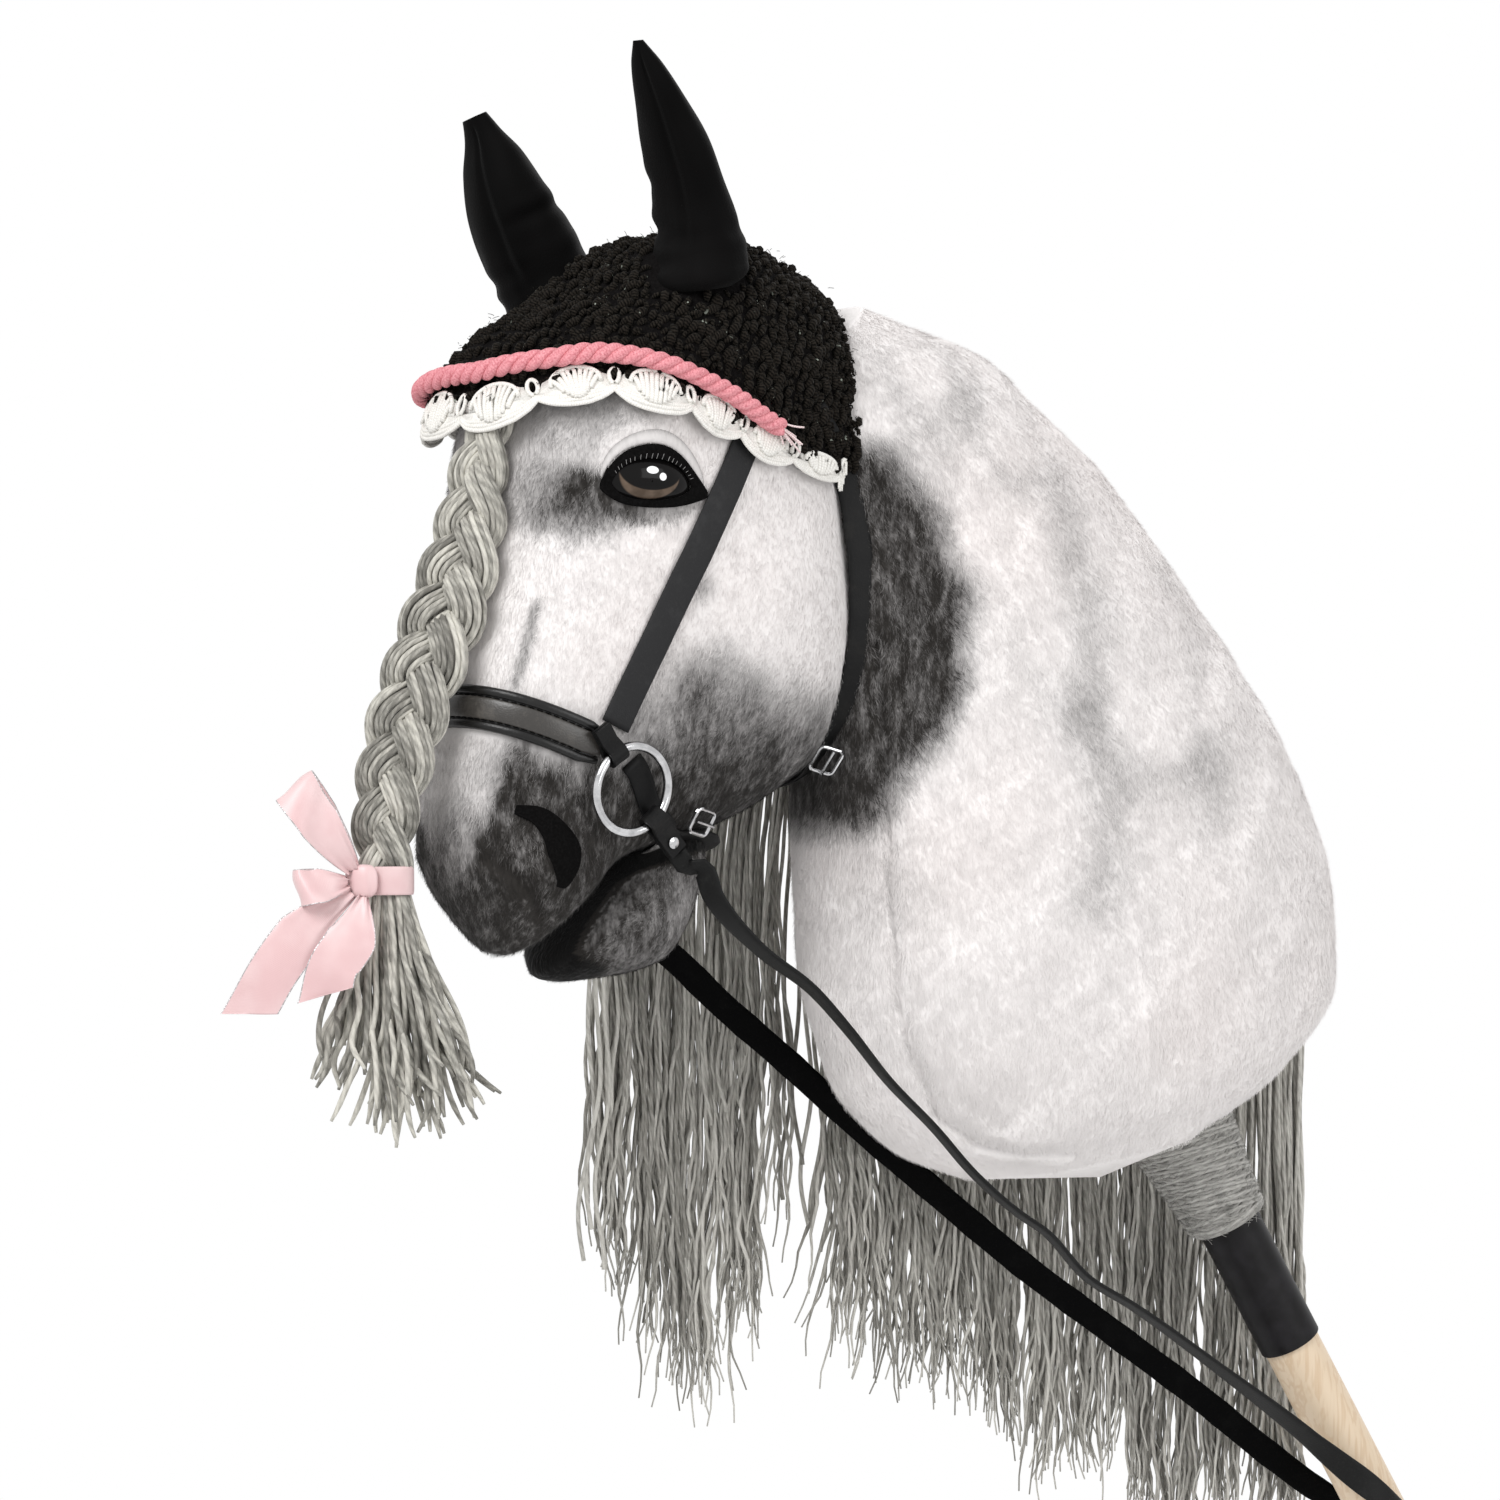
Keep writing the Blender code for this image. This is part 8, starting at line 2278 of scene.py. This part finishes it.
    @staticmethod
    def tail(name: str, hub: Array, route: Array, face: Array) -> None:
        """Ribbon tail with a wavy fall and a slanting cut."""
        points = smooth_route(route, 90)
        reach = np.linspace(0.0, 1.0, 90)
        tangents = unit(np.gradient(points, axis=0))
        flat = across_line(face, tangents)
        across = np.cross(tangents, flat)
        width = 21.0 * MM * np.clip(0.22 + 1.9 * reach, 0.0, 1.0)
        section = once_round(36)
        x = signed_power(np.cos(section), 0.6)
        pleat = 1.3 * MM * np.exp(-reach / 0.2)[:, None] * np.sin(3.0 * math.pi * x)
        soft = 1.3 * MM * np.sin(2.6 * x + 5.5 * reach[:, None] + len(name)) * reach[:, None]
        slant = (0.30 * width[-1] * x)[None] * rise_step(0.55, 1.0, reach)[:, None]
        rings = (hub + points[:, None] + (0.5 * width[:, None] * x)[..., None] * across[:, None]
                 + (0.33 * MM * np.sin(section) + pleat + soft)[..., None] * flat[:, None]
                 + slant[..., None] * tangents[:, None])
        ribbon = ring_body(f"ribbon_tail_{name}", rings, {"edge": np.tile(np.abs(x), (90, 1))})
        dress(ribbon, "ribbon_satin", [f"bow_tail_{name}"], "forelock")


@dataclass(frozen=True)
class Lock:
    """One lock of the mane: yarns from the crest to a ragged hem.

    Attributes:
        name: the CAD node that it stands for.
        columns: places along the neck's plane (mm).
        hems: height of the lock's end at these places (mm).
        tops: where its ends lie on the crest (mm).
        density: yarns to a millimetre.
        curl: how much the ends curl (mm).
    """

    name: str
    columns: tuple
    hems: tuple
    tops: tuple
    density: float
    curl: float


LOCKS = (
    Lock("mane_poll", (-338, -318, -298, -280, -262), (112, 70, 30, 55, 118), (-256, -234), 1.5, 3.0),
    Lock("mane_throat", (-230, -205, -180, -158), (78, 52, 36, 45), (-230, -158), 1.55, 7.0),
    Lock("mane_crest", (-156, -135, -112, -92), (40, 14, -10, 4), (-156, -92), 1.5, 3.0),
    Lock("mane_middle", (-90, -70, -50, -32), (2, -26, -40, -22), (-90, -32), 1.5, 2.0),
    Lock("mane_withers", (-30, -21, -13, -5), (-18, -42, -30, 6), (-30, -5), 1.7, 1.5))


class Mane:
    """Yarn mane that falls over the crest to the off side and hangs plumb from its widest place."""

    def __init__(self) -> None:
        """Measure how far the bodies reach to the off side at each place of the neck's plane."""
        self.cell = 4.0 * MM
        self.low = np.array([-0.37, 0.08])
        self.reach = np.zeros((110, 125))
        turn = once_round(260)
        neck = neck_points(np.linspace(0.0, 1.0, 260)[:, None], turn)
        s = np.linspace(HEAD_TOP + 1 * MM, 120 * MM, 120)[:, None]
        head = head_skin(s, turn[None], bonnet_lift(s, turn[None]) + 3.5 * MM)
        for points in (neck.reshape(-1, 3), head.reshape(-1, 3)):
            a, z, l = points @ NECK_BACK, points[:, 2], points @ NECK_NEAR
            np.minimum.at(self.reach, self.cells(a, z), l)
        self.rng = np.random.default_rng(77)

    def depth(self, a: Array, z: Array) -> Array:
        """The bodies' reach at places, 0 where there is none."""
        return self.reach[self.cells(a, z)]

    def cells(self, a: Array, z: Array) -> tuple[Array, ...]:
        """Cells of the map at places."""
        return tuple(np.clip(((v - low) / self.cell).astype(int), 0, size - 1)
                     for v, low, size in zip((a, z), self.low, self.reach.shape))

    def build(self) -> None:
        """Make every lock."""
        crest = np.array(NECK_STATIONS, float)[:7]
        for lock in LOCKS:
            self.lock(lock, crest[:, 2], crest[:, 3])

    def lock(self, lock: Lock, crest_a: Array, crest_z: Array) -> None:
        """Yarns of one lock; each starts on the crest, sweeps to its place and hangs."""
        rng = self.rng
        columns = np.array(lock.columns, float)
        width = columns[-1] - columns[0]
        count = int(width * lock.density * 1.6)
        share = np.sort(rng.random(count))
        low = columns[0] + width * share
        top = lock.tops[0] + (lock.tops[1] - lock.tops[0]) * share
        clump = 9.0 * np.sin(low / 2.3) * np.sin(low / 7.1)
        hem = smooth_curve(columns, lock.hems, low) + rng.normal(0.0, 9.0, count) + clump
        hem = np.where(rng.random(count) < 0.14, hem + rng.uniform(10.0, 60.0, count), hem)
        high = np.minimum(500.0, np.interp(top, crest_a, crest_z) - rng.uniform(2.0, 10.0, count))
        rows = 66
        z = high[:, None] + (hem - high)[:, None] * np.linspace(0.0, 1.0, rows) ** 1.05
        sweep = rise_step(250.0, 480.0, z)
        a = low[:, None] + (top - low)[:, None] * sweep
        reach = self.depth(np.minimum(a, crest_a[-1] - 4.0) * MM, z * MM)
        reach = np.minimum(np.minimum.accumulate(reach, axis=1), -30.0 * MM)
        kernel = np.ones(7) / 7.0
        padded = np.concatenate([np.repeat(reach[:, :1], 3, 1), reach, np.repeat(reach[:, -1:], 3, 1)], 1)
        reach = np.minimum(np.stack([np.convolve(r, kernel, "valid") for r in padded]), reach + 1.0 * MM)
        layer = rng.uniform(1.8, 9.5, count) * MM
        hang = rise_step(0.35, 1.0, np.linspace(0.0, 1.0, rows))
        turns, phase = rng.uniform(60.0, 130.0, count)[:, None], rng.uniform(0, 6.28, (count, 2))
        wave = rng.uniform(0.8, 3.0, count)[:, None] * (0.25 + 0.75 * hang)
        tip = np.linspace(0.0, 1.0, rows) ** 7 * rng.normal(0.0, 1.5 * lock.curl, count)[:, None]
        crimp = rng.uniform(0.4, 1.5, count)[:, None] * hang * np.sin(
            2 * math.pi * z / rng.uniform(24.0, 46.0, count)[:, None] + phase[:, 1:])
        drift = rng.normal(0.0, 3.4, count)[:, None] * hang
        wisp = np.round(low / 8.0 + rng.normal(0.0, 0.25, count))
        gather = (wisp * 8.0 + 2.0 * np.sin(wisp * 2.3) - low)[:, None] * 0.8 * np.linspace(0.0, 1.0, rows) ** 3
        sway = 2.4 * np.sin(z / 23.0 + (wisp * 1.7)[:, None]) * hang
        a = a + wave * np.sin(2 * math.pi * z / turns + phase[:, :1]) + tip + drift + gather + sway + crimp
        a = np.minimum(a, -4.2)
        l = reach / MM - (layer / MM)[:, None] - 0.8 * wave * (1.0 + np.cos(2 * math.pi * z / turns + phase[:, 1:]))
        l = l + 3.0 * hang * rng.normal(0.0, 0.5, count)[:, None]
        paths = neck_world(a * MM, z * MM, l * MM)
        thin = 0.95 * MM * (1.0 - 0.6 * rise_step(0.9, 1.0, np.linspace(0.0, 1.0, rows)))
        yarn = strands(f"{lock.name}_yarn", paths, thin, 5, NECK_BACK + 0.1 * NECK_NEAR, {"tone": rng.random(count)})
        dress(yarn, "grey_yarn", [lock.name])
        if lock.name == "mane_poll":
            self.strays()

    def strays(self) -> None:
        """A few lone yarns beside the locks."""
        rng = self.rng
        low = np.array([-345.0, -342.0, -338.0, -257.0, -251.0, -246.0, -241.0, -236.0, -232.0])
        hem = np.array([96.0, 110.0, 92.0, 150.0, 120.0, 136.0, 108.0, 112.0, 96.0])
        share = np.linspace(0.0, 1.0, 60)
        high = np.concatenate([np.full(3, 300.0), np.full(6, 330.0)])
        z = high[:, None] + (hem - high)[:, None] * share
        phase = rng.uniform(0, 6.28, (9, 1))
        a = low[:, None] + 2.4 * np.sin(2 * math.pi * z / 90.0 + phase) - 5.0 * share ** 3 * (low < -300)[:, None]
        l = -70.0 - 3.0 * np.cos(2 * math.pi * z / 70.0 + phase)
        yarn = strands("mane_strays", neck_world(a * MM, z * MM, l * MM), 1.0 * MM, 6, NECK_BACK,
                       {"tone": rng.random(9)})
        dress(yarn, "grey_yarn")


@dataclass(frozen=True)
class Stick:
    """Pine stick with its sleeve and the yarn wound crosswise over the neck's mouth.

    Attributes:
        radius: of the stick.
        below: its length below the grip.
        above: its length above it, inside the neck.
        sleeve_from: where the sleeve starts above the grip.
        sleeve_length: of the sleeve.
        cone_length: of the wound cone.
    """

    radius: float = 13.0 * MM
    below: float = 420.0 * MM
    above: float = 400.0 * MM
    sleeve_from: float = 62.0 * MM
    sleeve_length: float = 64.5 * MM
    cone_length: float = 62.0 * MM

    def build(self) -> None:
        """Make stick, sleeve and winding."""
        bevel = 1.5 * MM
        foot = -self.below
        profile = [(0.4 * self.radius, foot), (self.radius - bevel, foot)]
        profile += [(self.radius - bevel + bevel * math.sin(t), foot + bevel - bevel * math.cos(t))
                    for t in np.linspace(0.1, 0.5 * math.pi, 6)]
        profile += [(self.radius, h) for h in np.linspace(foot + 2.0 * bevel, self.above, 40)]
        stick = turned_body("pine_stick", np.zeros(3), STICK_UP, profile)
        dress(stick, "pine_dowel", ["stick"])
        bore, outer, lip = self.radius + 0.3 * MM, self.radius + 1.4 * MM, 0.5 * MM
        low, high = self.sleeve_from, self.sleeve_from + self.sleeve_length
        wall = [(bore, low), (outer - lip, low), (outer - 0.3 * lip, low + 0.3 * lip), (outer, low + lip)]
        wall += [(outer, h) for h in np.linspace(low + 2 * lip, high - 2 * lip, 20)]
        wall += [(outer, high - lip), (outer - 0.3 * lip, high - 0.3 * lip), (outer - lip, high), (bore, high)]
        axis = unit(STICK_UP)
        first = unit(np.cross(axis, [0.0, 1.0, 0.0]))
        circle = swing(once_round(72), first, np.cross(axis, first))
        table = np.array(wall)
        rings = table[:, 1][:, None, None] * axis + table[:, 0][:, None, None] * circle
        dress(loop_body("sleeve_shell", rings.transpose(1, 0, 2)), "black_sleeve", ["stick_sleeve"])
        self.winding(high + 0.3 * MM, axis, first)

    def cone(self, height: Array) -> Array:
        """Radius of the wound cone at a height over its lower end."""
        share = np.clip(np.asarray(height, float) / self.cone_length, 0.0, 1.0)
        return (14.5 + 9.5 * share ** 1.5) * MM

    def winding(self, foot: float, axis: Array, first: Array) -> None:
        """Core, wound yarn in crossing layers, and its fuzz."""
        second = np.cross(axis, first)
        rng = np.random.default_rng(9)
        height = np.linspace(0.2 * MM, self.cone_length, 30)
        profile = [(float(self.cone(h)) + 2.3 * MM, float(h)) for h in height]
        core = turned_body("winding_core", axis * foot, axis, profile)
        coat_layer(core, 0.5)
        dress(core, "winding_yarn", ["neck_cuff"])
        paths = []
        for layer in range(7):
            turns = 19
            t = np.linspace(0.0, 1.0, turns * 20)
            angle = 2.0 * math.pi * turns * t + layer
            slope = (4.5 + 4.0 * rng.random()) * MM * (1 if layer % 2 else -1)
            edge = np.clip(np.minimum(t, 1.0 - t) * 7.0, 0.15, 1.0)
            h = 2.4 * MM + (self.cone_length - 8.0 * MM) * t + edge * slope * np.sin(angle + layer * 1.7)
            h = h + 0.7 * MM * np.sin(2.3 * angle + layer)
            h = np.clip(h, 1.0 * MM, None)
            radius = self.cone(h) + (2.2 + 0.28 * layer) * MM + 0.25 * MM * np.sin(7.0 * angle)
            paths.append(axis * foot + h[:, None] * axis + radius[:, None] * swing(angle, first, second))
        yarn = strands("wound_yarn", np.array(paths), 0.92 * MM, 6, axis, {"tone": rng.uniform(0.35, 0.75, 7)})
        dress(yarn, "winding_yarn", ["yarn_winding"])
        count = 3200
        h, angle = rng.uniform(1.0 * MM, self.cone_length - 4 * MM, count), rng.uniform(0, 2 * math.pi, count)
        out = swing(angle, first, second)
        root = axis * foot + h[:, None] * axis + (self.cone(h) + 3.3 * MM)[:, None] * out
        grow = np.linspace(0.0, 1.0, 4)
        lean = rng.normal(0.0, 0.45, count)[:, None]
        heading = unit(np.cross(axis, out) * rng.choice([-1.0, 1.0], count)[:, None] + axis * lean + out * 0.28)
        curl = axis * rng.normal(0.0, 1.0, count)[:, None] * MM
        reach = rng.uniform(3.0, 6.5, count)[:, None, None] * MM
        paths = root[:, None] + heading[:, None] * (grow[:, None] * reach) + curl[:, None] * (grow ** 2)[:, None]
        fuzz = strands("winding_fuzz", paths, 0.10 * MM, 3, out[:, None], {"tone": rng.random(count)})
        dress(fuzz, "winding_yarn")


def main() -> None:
    """Build the studio, the reins and then every other piece."""
    global finishes
    logging.basicConfig(level=logging.INFO, format="%(message)s")
    finishes = Finishes()
    Studio().build()
    Rein(Side.NEAR, (-306.8, -192.8, 281.1), (0.488, 0.495, -0.719), NEAR_REIN_ROUTE, (45, 68, 76, 76, 70, 48, 10),
         "rein_leather", 0.516).build()
    # The off rein gets the darker leather copy: painted shade of the far side.
    Rein(Side.OFF, (-370.7, -116.6, 281.1), (0.573, 0.395, -0.719), OFF_REIN_ROUTE, (0, 5, 10, 5, 0, 5, 0),
         "off_rein_painted_shade_leather", 0.567).build()
    Body().build()
    for side in Side:
        Face(side).build()
    for ear in (NEAR_EAR, OFF_EAR):
        ear.build()
    Bonnet().build()
    Bridle().build()
    Forelock().build()
    Mane().build()
    Stick().build()


if __name__ == "__main__":
    main()
